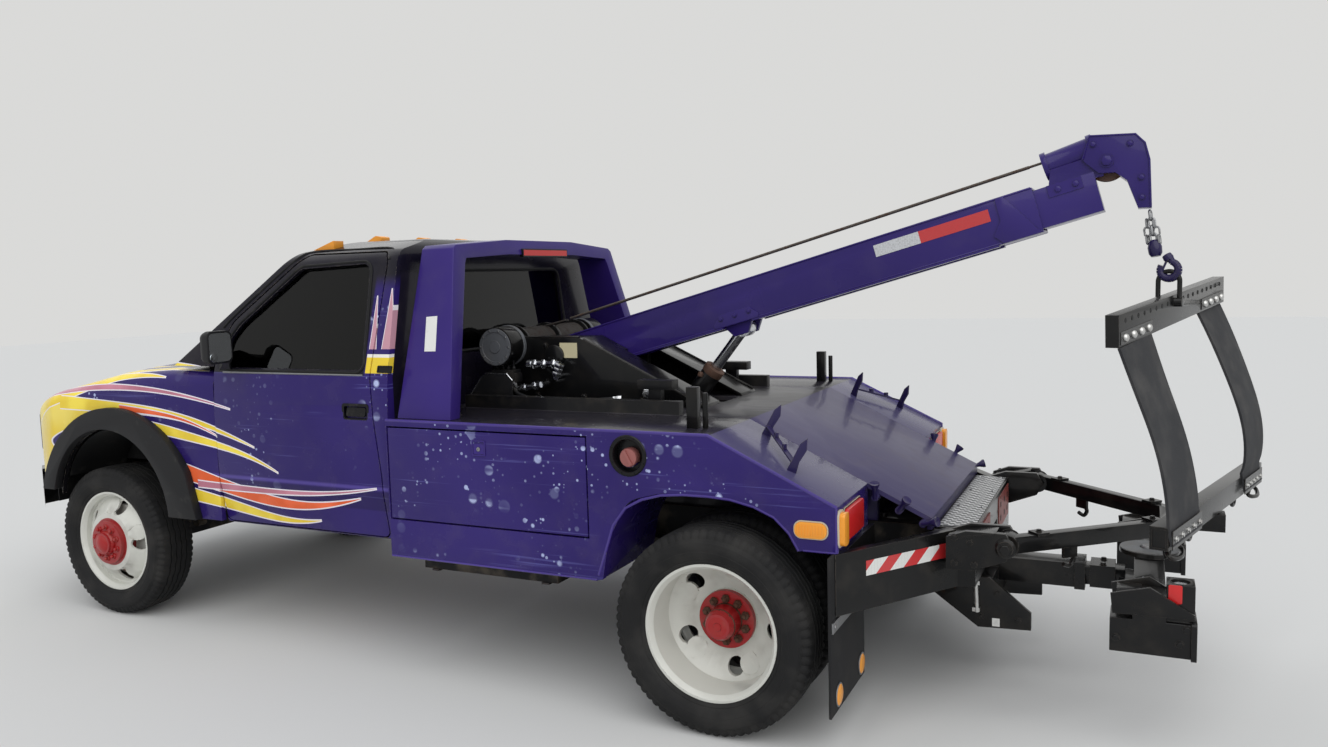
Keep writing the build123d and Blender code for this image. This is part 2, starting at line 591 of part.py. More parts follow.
BUMPER_PLAN = [(2900, -965), (3040, -965), (BUMPER_X, -800), (BUMPER_X, 800), (3040, 965), (2900, 965)]
with BuildPart() as front_bumper:
    plan(BUMPER_PLAN, 480, 700, radii=[0, 40, 120, 120, 40, 0])
    plan([(x - 20, y * 0.98) for x, y in BUMPER_PLAN], 470, 685, Mode.SUBTRACT, [0, 25, 105, 105, 25, 0])
    block((2800, NOSE_X + 30), (-1000, 1000), (460, 710), Mode.SUBTRACT)
    for low, high in spans(RAIL_INNER, RAIL_OUTER):
        block((RAIL_FRONT_X, BUMPER_X - 10), (low, high), (540, 680))
keep("front_bumper", front_bumper)

# Tow body: hollow tool lockers behind the cab and rear fenders over the twin wheels
LOCKER_REAR_X = -705
LOCKER_Z = 686
LOCKER_TOP_Z = 1090
DOOR_THICK = 30
DOOR_RECESS_X = (LOCKER_REAR_X + 5, BODY_FRONT_X - 5)
FILLER = (-878, 1023)
fender_arch = [(-731, 400), (-782, 684), (-870, 850), (-1010, 888), (-1290, 890), (-1440, 845), (-1535, 745),
               (-1600, 400)]
fender_arch_radii = [0, 160, 110, 150, 260, 160, 90, 0]
with BuildPart() as body_side_left:
    side([(BODY_FRONT_X, SKIRT_Z), (BODY_FRONT_X, DECK_Z), (CREST_X, DECK_Z), (TAIL_X, TAIL_TOP_Z),
          (TAIL_X, REAR_FRAME_TOP), (-1558, REAR_FRAME_TOP), (-731, SKIRT_Z)], BODY_INNER, BODY_HALF)
    side(fender_arch, BODY_INNER - 5, BODY_HALF + 5, Mode.SUBTRACT, fender_arch_radii)
    block(DOOR_RECESS_X, (BODY_HALF - DOOR_THICK - 5, BODY_HALF + 5), (LOCKER_Z, LOCKER_TOP_Z), Mode.SUBTRACT)
    block((LOCKER_REAR_X + 25, BODY_FRONT_X - 25), (BODY_INNER + 20, BODY_HALF + 5), (LOCKER_Z, LOCKER_TOP_Z),
          Mode.SUBTRACT)
    block((LOCKER_REAR_X - 50, BODY_FRONT_X + 5), (BODY_INNER - 5, BODY_HALF - 25), (SKIRT_Z - 5, 650),
          Mode.SUBTRACT)
    rod((FILLER[0], BODY_HALF - 40, FILLER[1]), (FILLER[0], BODY_HALF + 5, FILLER[1]), 66, Mode.SUBTRACT)
    rod((FILLER[0], BODY_HALF - 41, FILLER[1] - 10), (FILLER[0], BODY_HALF - 8, FILLER[1] - 10), 36)
keep("body_side_left", body_side_left)

with BuildPart() as body_side_right:
    side([(BODY_FRONT_X, SKIRT_Z), (BODY_FRONT_X, DECK_Z), (CREST_X, DECK_Z), (TAIL_X, TAIL_TOP_Z),
          (TAIL_X, REAR_FRAME_TOP), (-1558, REAR_FRAME_TOP), (-731, SKIRT_Z)], -BODY_HALF, -BODY_INNER)
    side(fender_arch, -BODY_HALF - 5, 5 - BODY_INNER, Mode.SUBTRACT, fender_arch_radii)
    block(DOOR_RECESS_X, (-BODY_HALF - 5, DOOR_THICK + 5 - BODY_HALF), (LOCKER_Z, LOCKER_TOP_Z), Mode.SUBTRACT)
    block((LOCKER_REAR_X + 25, BODY_FRONT_X - 25), (-BODY_HALF - 5, -BODY_INNER - 20), (LOCKER_Z, LOCKER_TOP_Z),
          Mode.SUBTRACT)
    block((LOCKER_REAR_X - 50, BODY_FRONT_X + 5), (25 - BODY_HALF, 5 - BODY_INNER), (SKIRT_Z - 5, 650),
          Mode.SUBTRACT)
keep("body_side_right", body_side_right)

with BuildPart() as tool_door_left:
    block((DOOR_RECESS_X[0] + PANEL_GAP, DOOR_RECESS_X[1] - PANEL_GAP), (BODY_HALF - DOOR_THICK, BODY_HALF),
          (LOCKER_Z + PANEL_GAP, LOCKER_TOP_Z - PANEL_GAP))
keep("tool_door_left", tool_door_left)

with BuildPart() as tool_door_right:
    mirror(tool_door_left.part, about=Plane.XZ)
keep("tool_door_right", tool_door_right)

# Deck: level plate and sloping tail on two webs that stand on the rails, with low side rails,
# lever posts, tie-down knobs and a rest for chains
CYLINDER_SLOT = (-900, -420)
WEB = (380, 415)
RAIL_X = (-890, 195)
KNOB_X = (-1715, -1805, -1895)
with BuildPart() as deck:
    side([(BODY_FRONT_X, DECK_Z - PLATE), (BODY_FRONT_X, DECK_Z), (CREST_X, DECK_Z),
          (CENTRE_TAIL_X, CENTRE_TAIL_Z), (CENTRE_TAIL_X, REAR_FRAME_TOP), (CENTRE_TAIL_X + PLATE, REAR_FRAME_TOP),
          (CENTRE_TAIL_X + PLATE, CENTRE_TAIL_Z - PLATE + 8), (CREST_X + 4, DECK_Z - PLATE)],
         -BODY_INNER, BODY_INNER)
    for low, high in spans(*WEB):
        side([(BODY_FRONT_X, RAIL_TOP), (BODY_FRONT_X, DECK_Z - 5), (CREST_X, DECK_Z - 5),
              (TAIL_X, DECK_Z - 5 - SLOPE * (CREST_X - TAIL_X)), (TAIL_X, RAIL_TOP)], low, high)
    rod((CYLINDER_BASE[0], -400, CYLINDER_BASE[2]), (CYLINDER_BASE[0], 400, CYLINDER_BASE[2]), 25)
    block(CYLINDER_SLOT, (-90, 90), (DECK_Z - 30, DECK_Z + 5), Mode.SUBTRACT)
    for low, high in spans(520, 565):
        block(RAIL_X, (low, high), (DECK_Z - 2, DECK_Z + 58))
    for low, high in spans(430, 465):
        block((-760, -700), (low, high), (DECK_Z - 2, 1220))
    for low, high in spans(415, 480):
        block((-820, -655), (low, high), (1210, 1250))
    for low, high in spans(545, 569):
        for x in KNOB_X:
            z = DECK_Z - SLOPE * (CREST_X - x) - 34
            rod((x, low if low > 0 else -545, z), (x, 592 if low > 0 else -592, z), 14)
keep("deck", deck)

POST_Y = 850
with BuildPart() as lever_posts:
    for hand in (1, -1):
        block((-1104, -1059), (hand * POST_Y - 18, hand * POST_Y + 18), (DECK_Z, 1272))
        rod((-1131, hand * POST_Y, DECK_Z), (-1131, hand * POST_Y, 1250), 11)
keep("lever_posts", lever_posts)

with BuildPart() as cab_guard:
    cross(both_sides([(950, DECK_Z), (722, 1840), (600, 1868), (300, 1885)])
          + both_sides([(-880, DECK_Z), (-655, 1775), (-560, 1798), (-300, 1815)]), -20, 280)
    side([(271, DECK_Z), (-10, DECK_Z), (112, 1900), (277, 1900)], -CAB_HALF, CAB_HALF, Mode.INTERSECT)
keep("cab_guard", cab_guard)

# Rear frame: tapered black bumper, sling lugs, lugs of the wheel lift and a tread plate
LUG_INNER = (505, 530)
LUG_OUTER = (628, 653)
LIFT_LUG = (100, 125)
FRAME_WALL = 30
with BuildPart() as rear_frame:
    plan([(TAIL_X + 1, 1025), (-2013, 529), (REAR_FRAME_X, 515), (REAR_FRAME_X, -515), (-2013, -529),
          (TAIL_X + 1, -1025)], REAR_FRAME_BOTTOM, REAR_FRAME_TOP)
    plan([(TAIL_X + 5, 975), (-1985, 495), (REAR_FRAME_X + 25, 485), (REAR_FRAME_X + 25, -485), (-1985, -495),
          (TAIL_X + 5, -975)], REAR_FRAME_BOTTOM - 5, REAR_FRAME_TOP + 5, Mode.SUBTRACT)
    for low, high in ((-980, -540), (-RAIL_INNER, RAIL_INNER), (540, 980)):
        block((-1700, TAIL_X), (low, high), (REAR_FRAME_TOP - 90, REAR_FRAME_TOP))
    for hand in (1, -1):
        for low, high in (LUG_INNER, LUG_OUTER):
            near, far = sorted((hand * low, hand * high))
            side([(-1990, 600), (-1990, REAR_FRAME_TOP), (-2060, 746), (SLING_PIN_X, 746), (SLING_PIN_X - 30, 695),
                  (SLING_PIN_X, 645), (-2080, 600)], near, far)
        block((-2050, -1990), sorted((hand * 500, hand * 653)), (600, 715))
        rod((SLING_PIN_X, hand * LUG_INNER[0], SLING_PIN_Z), (SLING_PIN_X, hand * LUG_OUTER[1], SLING_PIN_Z),
            SLING_PIN_R)
    block((REAR_FRAME_X - 5, REAR_FRAME_X + 35), (-LIFT_LUG[0], LIFT_LUG[0]), (490, 620), Mode.SUBTRACT)
    for low, high in spans(*LIFT_LUG):
        side([(-1690, 640), (-1690, 690), (REAR_FRAME_X + 10, 690), (REAR_FRAME_X + 10, 520),
              (LIFT_PIVOT_X + 60, 520), (LIFT_PIVOT_X + 60, 640)], low, high)
    rod((LIFT_PIVOT_X, -LIFT_LUG[1], LIFT_PIVOT_Z), (LIFT_PIVOT_X, LIFT_LUG[1], LIFT_PIVOT_Z), 30)
    block((REAR_FRAME_X, CENTRE_TAIL_X), (-515, 515), (REAR_FRAME_TOP - 10, REAR_FRAME_TOP))
keep("rear_frame", rear_frame)

with BuildPart() as mud_flaps:
    for low, high in spans(620, 1080):
        block((-1678, -1668), (low, high), (150, REAR_FRAME_TOP))
keep("mud_flaps", mud_flaps)

# Mast: two boxes over the deck, open towards the boom, that carry its pivot and the winch
MAST_OUTER = 325
MAST_PLATE = 12
MAST_INNER = (107, 137)
mast_outline = [(195, DECK_Z), (205, 1395), (180, 1420), (-285, 1420), (-895, 1126), (-900, DECK_Z)]
mast_cover_outline = [(-5, DECK_Z), (-5, 1420), (-285, 1420), (-895, 1126), (-900, DECK_Z)]
mast_room_outline = [(-5 - MAST_PLATE, DECK_Z - 5), (-5 - MAST_PLATE, 1420 - MAST_PLATE), (-288, 1420 - MAST_PLATE),
                     (-870, 1125), (-870, DECK_Z - 5)]
with BuildPart() as mast_frame:
    for low, high in spans(MAST_OUTER - MAST_PLATE, MAST_OUTER):
        side(mast_outline, low, high)
    for low, high in spans(MAST_INNER[0], MAST_OUTER):
        side(mast_cover_outline, low, high)
    for low, high in spans(MAST_INNER[1], MAST_OUTER - MAST_PLATE):
        side(mast_room_outline, low, high, Mode.SUBTRACT)
    for low, high in spans(100, MAST_INNER[1] + 2):
        side([(-420, DECK_Z - 5), (-420, 1420), (-950, 1420), (-950, DECK_Z - 5)], low, high, Mode.SUBTRACT)
    rod((BOOM_PIVOT[0], -MAST_INNER[1], BOOM_PIVOT[2]), (BOOM_PIVOT[0], MAST_INNER[1], BOOM_PIVOT[2]), BOOM_PIN_R)
keep("mast_frame", mast_frame)

DRUM_R = 70
DRUM_FLANGE_R = 93
drum_flanges = ((-445, -MAST_OUTER), (-290, -275), (-10, 10), (275, 290), (MAST_OUTER, 445))
with BuildPart() as winch:
    rod((WINCH_X, -285, WINCH_Z), (WINCH_X, 285, WINCH_Z), DRUM_R)
    for low, high in drum_flanges:
        rod((WINCH_X, low, WINCH_Z), (WINCH_X, high, WINCH_Z), DRUM_FLANGE_R)
keep("winch", winch)

# Boom: everything on it is drawn in its own side plane, s along it and n above its middle
boom_run = Vector(-cos(radians(BOOM_TILT)), 0, sin(radians(BOOM_TILT)))
boom_plane = Plane(origin=BOOM_PIVOT, x_dir=boom_run, z_dir=(0, 1, 0))


def boom_side(points, y_low, y_high, mode=Mode.ADD):
    """Extrude an outline given as (s, n) corners from y_low to y_high."""
    extruded(boom_plane.offset(y_low), points, y_high - y_low, mode, None)


def boom_box(s_span, y_span, n_span, mode=Mode.ADD):
    """Add a box given by its spans along, across and above the boom."""
    boom_side([(s_span[0], n_span[0]), (s_span[1], n_span[0]), (s_span[1], n_span[1]), (s_span[0], n_span[1])],
              y_span[0], y_span[1], mode)


def boom_point(s, n, y=0):
    """A point of the boom's side plane in the truck's frame."""
    return tuple(boom_plane.from_local_coords(Vector(s, n, y)))


EYE_PIN_R = 20
EYE_BORE_R = 28
ROD_EYE_HALF = 40
EYE_LUG = (50, 75)
eye_run = Vector(CYLINDER_EYE[0] - BOOM_PIVOT[0], 0, CYLINDER_EYE[2] - BOOM_PIVOT[2])
EYE_S = eye_run.dot(boom_run)
EYE_N = eye_run.dot(Vector(sin(radians(BOOM_TILT)), 0, cos(radians(BOOM_TILT))))
with BuildPart() as boom_outer:
    boom_box((BOOM_FOOT, BOOM_LENGTH), (-BOOM_HALF_WIDTH, BOOM_HALF_WIDTH), (-BOOM_HALF_DEPTH, BOOM_HALF_DEPTH))
    boom_box((120, BOOM_LENGTH + 5), (BOOM_WALL - BOOM_HALF_WIDTH, BOOM_HALF_WIDTH - BOOM_WALL),
             (BOOM_WALL - BOOM_HALF_DEPTH, BOOM_HALF_DEPTH - BOOM_WALL), Mode.SUBTRACT)
    rod(boom_point(0, 0, -110), boom_point(0, 0, 110), BOOM_PIN_R + PIN_GAP, Mode.SUBTRACT)
    boom_box((EYE_S - 62, EYE_S + 62), (-ROD_EYE_HALF - 5, ROD_EYE_HALF + 5),
             (-BOOM_HALF_DEPTH - 5, BOOM_WALL - BOOM_HALF_DEPTH + 5), Mode.SUBTRACT)
    for low, high in spans(*EYE_LUG):
        boom_side([(EYE_S - 70, -88), (EYE_S - 34, EYE_N - 30), (EYE_S + 34, EYE_N - 30), (EYE_S + 70, -88)],
                  low, high)
    rod(boom_point(EYE_S, EYE_N, -EYE_LUG[1]), boom_point(EYE_S, EYE_N, EYE_LUG[1]), EYE_PIN_R)
keep("boom_outer", boom_outer)

# Inner boom with its head: cheek plates, guide roller, sheave and the spout that the rope leaves by
INNER_CLEAR = BOOM_WALL + 5
ROPE_N = 178
ROPE_S = (-50, 2180)
INNER_ROPE_S = (1250, 2485)
GUIDE_R = 47
GUIDE_FLANGE_R = 56
GUIDE_LOW = Vector(-2258, 0, 2085)
GUIDE_HIGH = Vector(-2444, 0, 2149)
HEAD_HALF = 58
head_outline = [(-2400, 2100), (-2425, 2192), (-2590, 2187), (-2625, 2150), (-2642, 2085), (-2650, 1905),
                (-2603, 1905), (-2562, 2012), (-2520, 2045), (-2462, 2045)]
saddle_outline = [(-2280, 1995), (-2285, 2070), (-2480, 2125), (-2480, 2035)]
with BuildPart() as boom_inner:
    boom_box((INNER_BOOM_START, INNER_BOOM_END), (INNER_CLEAR - BOOM_HALF_WIDTH, BOOM_HALF_WIDTH - INNER_CLEAR),
             (INNER_CLEAR - BOOM_HALF_DEPTH, BOOM_HALF_DEPTH - INNER_CLEAR))
    side(head_outline, -HEAD_HALF, HEAD_HALF)
    side(saddle_outline, 12 - HEAD_HALF, HEAD_HALF - 12)
    rod(tuple(GUIDE_LOW), tuple(GUIDE_HIGH), GUIDE_R)
    guide_run = (GUIDE_HIGH - GUIDE_LOW).normalized()
    rod(tuple(GUIDE_LOW), tuple(GUIDE_LOW + guide_run * 20), GUIDE_FLANGE_R)
    rod(tuple(GUIDE_HIGH - guide_run * 20), tuple(GUIDE_HIGH), GUIDE_FLANGE_R)
    rod(boom_point(INNER_ROPE_S[0], ROPE_N), boom_point(INNER_ROPE_S[1], ROPE_N), 4)
keep("boom_inner", boom_inner)

BARREL_R = 48
ROD_R = 25
BARREL_LENGTH = 420
cylinder_run = (Vector(*CYLINDER_EYE) - Vector(*CYLINDER_BASE)).normalized()
with BuildPart() as boom_cylinder:
    barrel_end = Vector(*CYLINDER_BASE) + cylinder_run * BARREL_LENGTH
    rod(CYLINDER_BASE, tuple(barrel_end), BARREL_R)
    rod((CYLINDER_BASE[0], -BARREL_R, CYLINDER_BASE[2]), (CYLINDER_BASE[0], BARREL_R, CYLINDER_BASE[2]), BARREL_R)
    rod((CYLINDER_BASE[0], -60, CYLINDER_BASE[2]), (CYLINDER_BASE[0], 60, CYLINDER_BASE[2]), 25 + PIN_GAP,
        Mode.SUBTRACT)
    rod(tuple(Vector(*CYLINDER_BASE) + cylinder_run * 80), tuple(barrel_end + cylinder_run * 5), ROD_R + PIN_GAP,
        Mode.SUBTRACT)
keep("boom_cylinder", boom_cylinder)

with BuildPart() as boom_rod:
    rod(tuple(Vector(*CYLINDER_BASE) + cylinder_run * 200), tuple(Vector(*CYLINDER_EYE) - cylinder_run * 20), ROD_R)
    rod((CYLINDER_EYE[0], -ROD_EYE_HALF, CYLINDER_EYE[2]), (CYLINDER_EYE[0], ROD_EYE_HALF, CYLINDER_EYE[2]), 42)
    rod((CYLINDER_EYE[0], -50, CYLINDER_EYE[2]), (CYLINDER_EYE[0], 50, CYLINDER_EYE[2]), EYE_BORE_R, Mode.SUBTRACT)
keep("boom_rod", boom_rod)

# Winch rope above the boom: the inner boom's thinner length slides inside it
with BuildPart() as winch_cable:
    rod(boom_point(ROPE_S[0], ROPE_N), boom_point(ROPE_S[1], ROPE_N), 7)
    rod(boom_point(ROPE_S[0] - 5, ROPE_N), boom_point(ROPE_S[1] + 5, ROPE_N), 4.5, Mode.SUBTRACT)
keep("winch_cable", winch_cable)

# Sling: a frame hinged on the tail, a pivot block, two bars with rubber belts between them
sling_run = Vector(sin(radians(SLING_YAW)), cos(radians(SLING_YAW)), 0)
sling_out = Vector(cos(radians(SLING_YAW)), -sin(radians(SLING_YAW)), 0)
top_run = sling_run * cos(radians(TOP_BAR_DROP)) - Vector(0, 0, sin(radians(TOP_BAR_DROP)))
sling_up = Vector(*SLING_TOP) - Vector(*SLING_LOW)
sling_plane = Plane(origin=SLING_LOW, x_dir=sling_run, z_dir=sling_run.cross(sling_up))
APEX_X = -2740
APEX_Y = 100
with BuildPart() as sling_arms:
    for hand in (1, -1):
        bar((SLING_PIN_X, hand * SLING_PIN_Y, SLING_PIN_Z), (APEX_X, hand * APEX_Y, PITCH_PIN_Z), 45, 60)
        rod((SLING_PIN_X, hand * 535, SLING_PIN_Z), (SLING_PIN_X, hand * 623, SLING_PIN_Z), 40)
        rod((SLING_PIN_X, hand * 500, SLING_PIN_Z), (SLING_PIN_X, hand * 660, SLING_PIN_Z), SLING_PIN_R + PIN_GAP,
            Mode.SUBTRACT)
        block((PITCH_PIN_X - 30, -2700), sorted((hand * 45, hand * 75)), (660, 720))
    block((-2745, -2700), (-110, 110), (660, 720))
    rod((PITCH_PIN_X, -75, PITCH_PIN_Z), (PITCH_PIN_X, 75, PITCH_PIN_Z), 15)
keep("sling_arms", sling_arms)

SWIVEL_PIN_R = 20
with BuildPart() as sling_pivot:
    block((-2925, -2755), (-40, 40), (665, 733))
    rod((SLING_LOW[0], 0, 700), (SLING_LOW[0], 0, 800), SWIVEL_PIN_R)
    rod((PITCH_PIN_X, -50, PITCH_PIN_Z), (PITCH_PIN_X, 50, PITCH_PIN_Z), 15 + PIN_GAP, Mode.SUBTRACT)
keep("sling_pivot", sling_pivot)

# Bars, the bail over the top bar and the chain eyes under the ends of the lower one
BAIL_AT = 50
BAIL_R = 38
BAIL_WIRE_R = 9
BAIL_TOP_Z = 1671
EYE_AT = (-600, -330, 330, 600)
low_bar = Vector(*SLING_LOW)
top_bar = Vector(*SLING_TOP)
bail_foot = top_bar + top_run * BAIL_AT
BAIL_CENTRE_Z = BAIL_TOP_Z - BAIL_R - BAIL_WIRE_R
with BuildPart() as sling_bars:
    bar(tuple(low_bar - sling_run * SLING_HALF), tuple(low_bar + sling_run * SLING_HALF), 60, 80)
    rod((SLING_LOW[0], 0, 700), (SLING_LOW[0], 0, 801), SWIVEL_PIN_R + PIN_GAP, Mode.SUBTRACT)
    for along in EYE_AT:
        eye = low_bar + sling_run * along + Vector(0, 0, -58)
        bent_rod(eye, sling_run, 24, 8, 160, 220)
    bar(tuple(top_bar - top_run * SLING_HALF), tuple(top_bar + top_run * SLING_HALF), 44, 110)
    arch_centre = Vector(bail_foot.X, bail_foot.Y, BAIL_CENTRE_Z)
    bent_rod(arch_centre, sling_out, BAIL_R, BAIL_WIRE_R, 0, 180)
    for hand in (1, -1):
        shoulder = arch_centre + sling_out * (hand * BAIL_R)
        knuckle = Vector(shoulder.X, shoulder.Y, 1545)
        rod(tuple(shoulder), tuple(knuckle), BAIL_WIRE_R)
        rod(tuple(knuckle - sling_out * (hand * 20)), tuple(knuckle + sling_out * (hand * 12)), 18)
keep("sling_bars", sling_bars)

# Each belt's near and far edge, along the bars from their middle
BELT_SPANS = ((370, 700), (-700, -370))
BELT_THICK = 12
BELT_LOW = 43
BELT_HIGH = 693
with BuildPart() as sling_belts:
    with BuildSketch(sling_plane) as belts:
        for near, far in BELT_SPANS:
            with BuildLine():
                Polyline((near, BELT_LOW), (far, BELT_LOW), (far, BELT_HIGH - far * sin(radians(TOP_BAR_DROP))),
                         (near, BELT_HIGH - near * sin(radians(TOP_BAR_DROP))), close=True)
            make_face()
    extrude(belts.sketch, amount=BELT_THICK / 2, both=True)
keep("sling_belts", sling_belts)

# Hook: its ring holds the bail, under a swivel and the last links of chain
HOOK_R = 32
HOOK_WIRE_R = 15
HOOK_Z = 1667
SWIVEL = (-2664, 22)
hook_ring = (bail_foot.X, bail_foot.Y, HOOK_Z)
with BuildPart() as hook_block:
    bent_rod(Vector(*hook_ring), sling_run, HOOK_R, HOOK_WIRE_R, 90, 300)
    rod((hook_ring[0], hook_ring[1], HOOK_Z + HOOK_R), (SWIVEL[0], SWIVEL[1], 1745), HOOK_WIRE_R)
    rod((SWIVEL[0], SWIVEL[1], 1724), (SWIVEL[0], SWIVEL[1], 1778), 24)
    rod((SWIVEL[0], SWIVEL[1], 1770), (-2644, 3, 1890), 17)
keep("hook_block", hook_block)

# Wheel lift: keel and tube that tilt, an inner tube that slides and a swivelling crossbar
KEEL = (225, 250)
LIFT_TUBE = 50
LIFT_TUBE_WALL = 8
LIFT_PIN_R = 30
keel_outline = [(-1876, 377), (-2047, 254), (-2249, 263), (-2249, 330), (-2090, 461), (-1900, 461)]
with BuildPart() as lift_arm:
    block((-2435, -1930), (-60, 60), (LIFT_Z - LIFT_TUBE, LIFT_Z + LIFT_TUBE - 2))
    for low, high in spans(*KEEL):
        side(keel_outline, low, high)
    block((-2100, -2040), (-235, 235), (300, 455))
    side([(-1905, 400), (-1905, 580), (-1925, 628), (-1995, 628), (-2015, 580), (-2045, 490), (-2060, 400)], -95, 95)
    rod((LIFT_PIVOT_X, -100, LIFT_PIVOT_Z), (LIFT_PIVOT_X, 100, LIFT_PIVOT_Z), LIFT_PIN_R + PIN_GAP, Mode.SUBTRACT)
    block((-2440, -2030), (LIFT_TUBE_WALL - 60, 60 - LIFT_TUBE_WALL), (LIFT_Z - 42, LIFT_Z + 40), Mode.SUBTRACT)
keep("lift_arm", lift_arm)

with BuildPart() as lift_slide:
    block((-2580, -2040), (-47, 47), (LIFT_Z - 37, LIFT_Z + 35))
    block((-2720, -2560), (-90, 90), (LIFT_Z - 45, LIFT_Z + 5))
    rod((LIFT_HEAD_X, 0, LIFT_Z), (LIFT_HEAD_X, 0, 570), LIFT_PIN_R)
keep("lift_slide", lift_slide)

# Crossbar: receivers at its ends are square sockets with an upright pin tube and a tip plate
RECEIVER = (460, 600)
with BuildPart() as lift_crossbar:
    block((LIFT_HEAD_X - 52, LIFT_HEAD_X + 52), (-600, 600), (460, 555))
    rod((LIFT_HEAD_X, 0, 555), (LIFT_HEAD_X, 0, 572), 108)
    for low, high in spans(*RECEIVER):
        block((LIFT_HEAD_X - 145, LIFT_HEAD_X + 125), (low, high), (350, 470))
        block((LIFT_HEAD_X - 150, LIFT_HEAD_X + 130), (low + 35, high - 35), (385, 445), Mode.SUBTRACT)
        block((LIFT_HEAD_X - 140, LIFT_HEAD_X - 52), (low + 20, high - 20), (465, 600))
        rod((LIFT_HEAD_X - 96, (low + high) / 2, 480), (LIFT_HEAD_X - 96, (low + high) / 2, 605), 30, Mode.SUBTRACT)
    rod((LIFT_HEAD_X, 0, 450), (LIFT_HEAD_X, 0, 571), LIFT_PIN_R + PIN_GAP, Mode.SUBTRACT)
keep("lift_crossbar", lift_crossbar)

for name, shape in pieces.items():
    shape.label = name
    export_step(shape, f"parts/{name}.step")
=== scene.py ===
"""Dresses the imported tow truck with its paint, rubber, glass, ropes and small parts.

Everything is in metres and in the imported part's own frame: +X points forward, +Y to the
driver's left and +Z up, and the origin is on the ground under the truck's middle.
"""

from __future__ import annotations

import json
import logging
from dataclasses import dataclass, field
from enum import Enum
from math import copysign, cos, pi, radians, sin, tan, tau
from typing import Callable, Iterable, Sequence, Union

import bmesh
import bpy
from mathutils import Matrix, Vector
from mathutils.bvhtree import BVHTree

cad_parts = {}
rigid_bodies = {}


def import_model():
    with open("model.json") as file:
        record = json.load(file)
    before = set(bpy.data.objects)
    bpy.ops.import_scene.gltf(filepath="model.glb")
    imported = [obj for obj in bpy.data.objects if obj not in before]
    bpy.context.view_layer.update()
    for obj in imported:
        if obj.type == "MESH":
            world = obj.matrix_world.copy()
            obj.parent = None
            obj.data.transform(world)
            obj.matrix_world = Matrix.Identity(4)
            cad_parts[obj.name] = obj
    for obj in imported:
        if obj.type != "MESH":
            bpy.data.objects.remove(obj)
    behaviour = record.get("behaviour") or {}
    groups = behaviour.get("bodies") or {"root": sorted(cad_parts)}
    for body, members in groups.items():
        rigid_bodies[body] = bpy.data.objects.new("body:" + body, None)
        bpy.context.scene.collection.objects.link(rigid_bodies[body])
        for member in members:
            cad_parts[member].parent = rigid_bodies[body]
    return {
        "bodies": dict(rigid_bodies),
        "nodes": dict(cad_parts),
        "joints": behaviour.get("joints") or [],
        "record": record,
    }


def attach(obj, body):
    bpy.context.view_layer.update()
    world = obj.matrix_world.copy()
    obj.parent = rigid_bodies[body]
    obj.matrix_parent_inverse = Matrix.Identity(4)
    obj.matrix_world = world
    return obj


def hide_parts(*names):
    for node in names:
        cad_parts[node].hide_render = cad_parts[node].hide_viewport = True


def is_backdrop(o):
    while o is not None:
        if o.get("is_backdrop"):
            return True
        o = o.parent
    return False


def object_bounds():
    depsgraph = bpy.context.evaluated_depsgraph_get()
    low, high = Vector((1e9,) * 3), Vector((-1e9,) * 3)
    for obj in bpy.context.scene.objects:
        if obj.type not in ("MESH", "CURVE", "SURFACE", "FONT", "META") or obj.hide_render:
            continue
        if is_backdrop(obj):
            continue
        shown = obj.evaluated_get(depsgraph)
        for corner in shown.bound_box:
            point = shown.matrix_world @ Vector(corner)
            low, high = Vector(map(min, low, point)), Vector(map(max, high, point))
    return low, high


LOG = logging.getLogger("tow_truck")
Point = Sequence[float]
Flat = Sequence[Sequence[float]]
Colour = tuple[float, float, float]

WHEEL_Z = 0.39
FRONT_AXLE_X = 2.225
REAR_AXLE_X = -1.217
BOOM_PIVOT = Vector((-0.15, 0.0, 1.338))
BOOM_TILT = radians(15.4)
SLING_YAW = radians(16.0)
LOW_BAR = Vector((-2.881, 0.0, 0.78))
TOP_BAR = Vector((-2.727, 0.0, 1.522))
BUMPER_TOP = 0.7
NOSE_TAPER = (2.6, 2.96, 0.165)
BUMPER_LINE = (2.722, 0.6506)


class Side(Enum):
    """A side of the truck, by the sign of its y."""

    LEFT = 1
    RIGHT = -1

    @property
    def word(self) -> str:
        """The side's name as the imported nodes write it."""
        return self.name.lower()


class Along(Enum):
    """The axis that a flat outline is extruded along."""

    X = 0
    Y = 1
    Z = 2


def srgb(red: float, green: float, blue: float) -> Colour:
    """Turns a colour written from 0 to 255 into linear light.

    Args:
        red: Red from 0 to 255.
        green: Green from 0 to 255.
        blue: Blue from 0 to 255.

    Returns:
        The colour's three linear parts.
    """
    parts = (part / 255 for part in (red, green, blue))
    return tuple(p / 12.92 if p <= 0.04045 else ((p + 0.055) / 1.055) ** 2.4 for p in parts)


VIOLET = srgb(42, 28, 98)
PIN_STRIPE = srgb(238, 232, 240)
WELL_BLACK = srgb(20, 19, 22)
NIGHT = srgb(20, 18, 30)
JET = srgb(11, 11, 12)


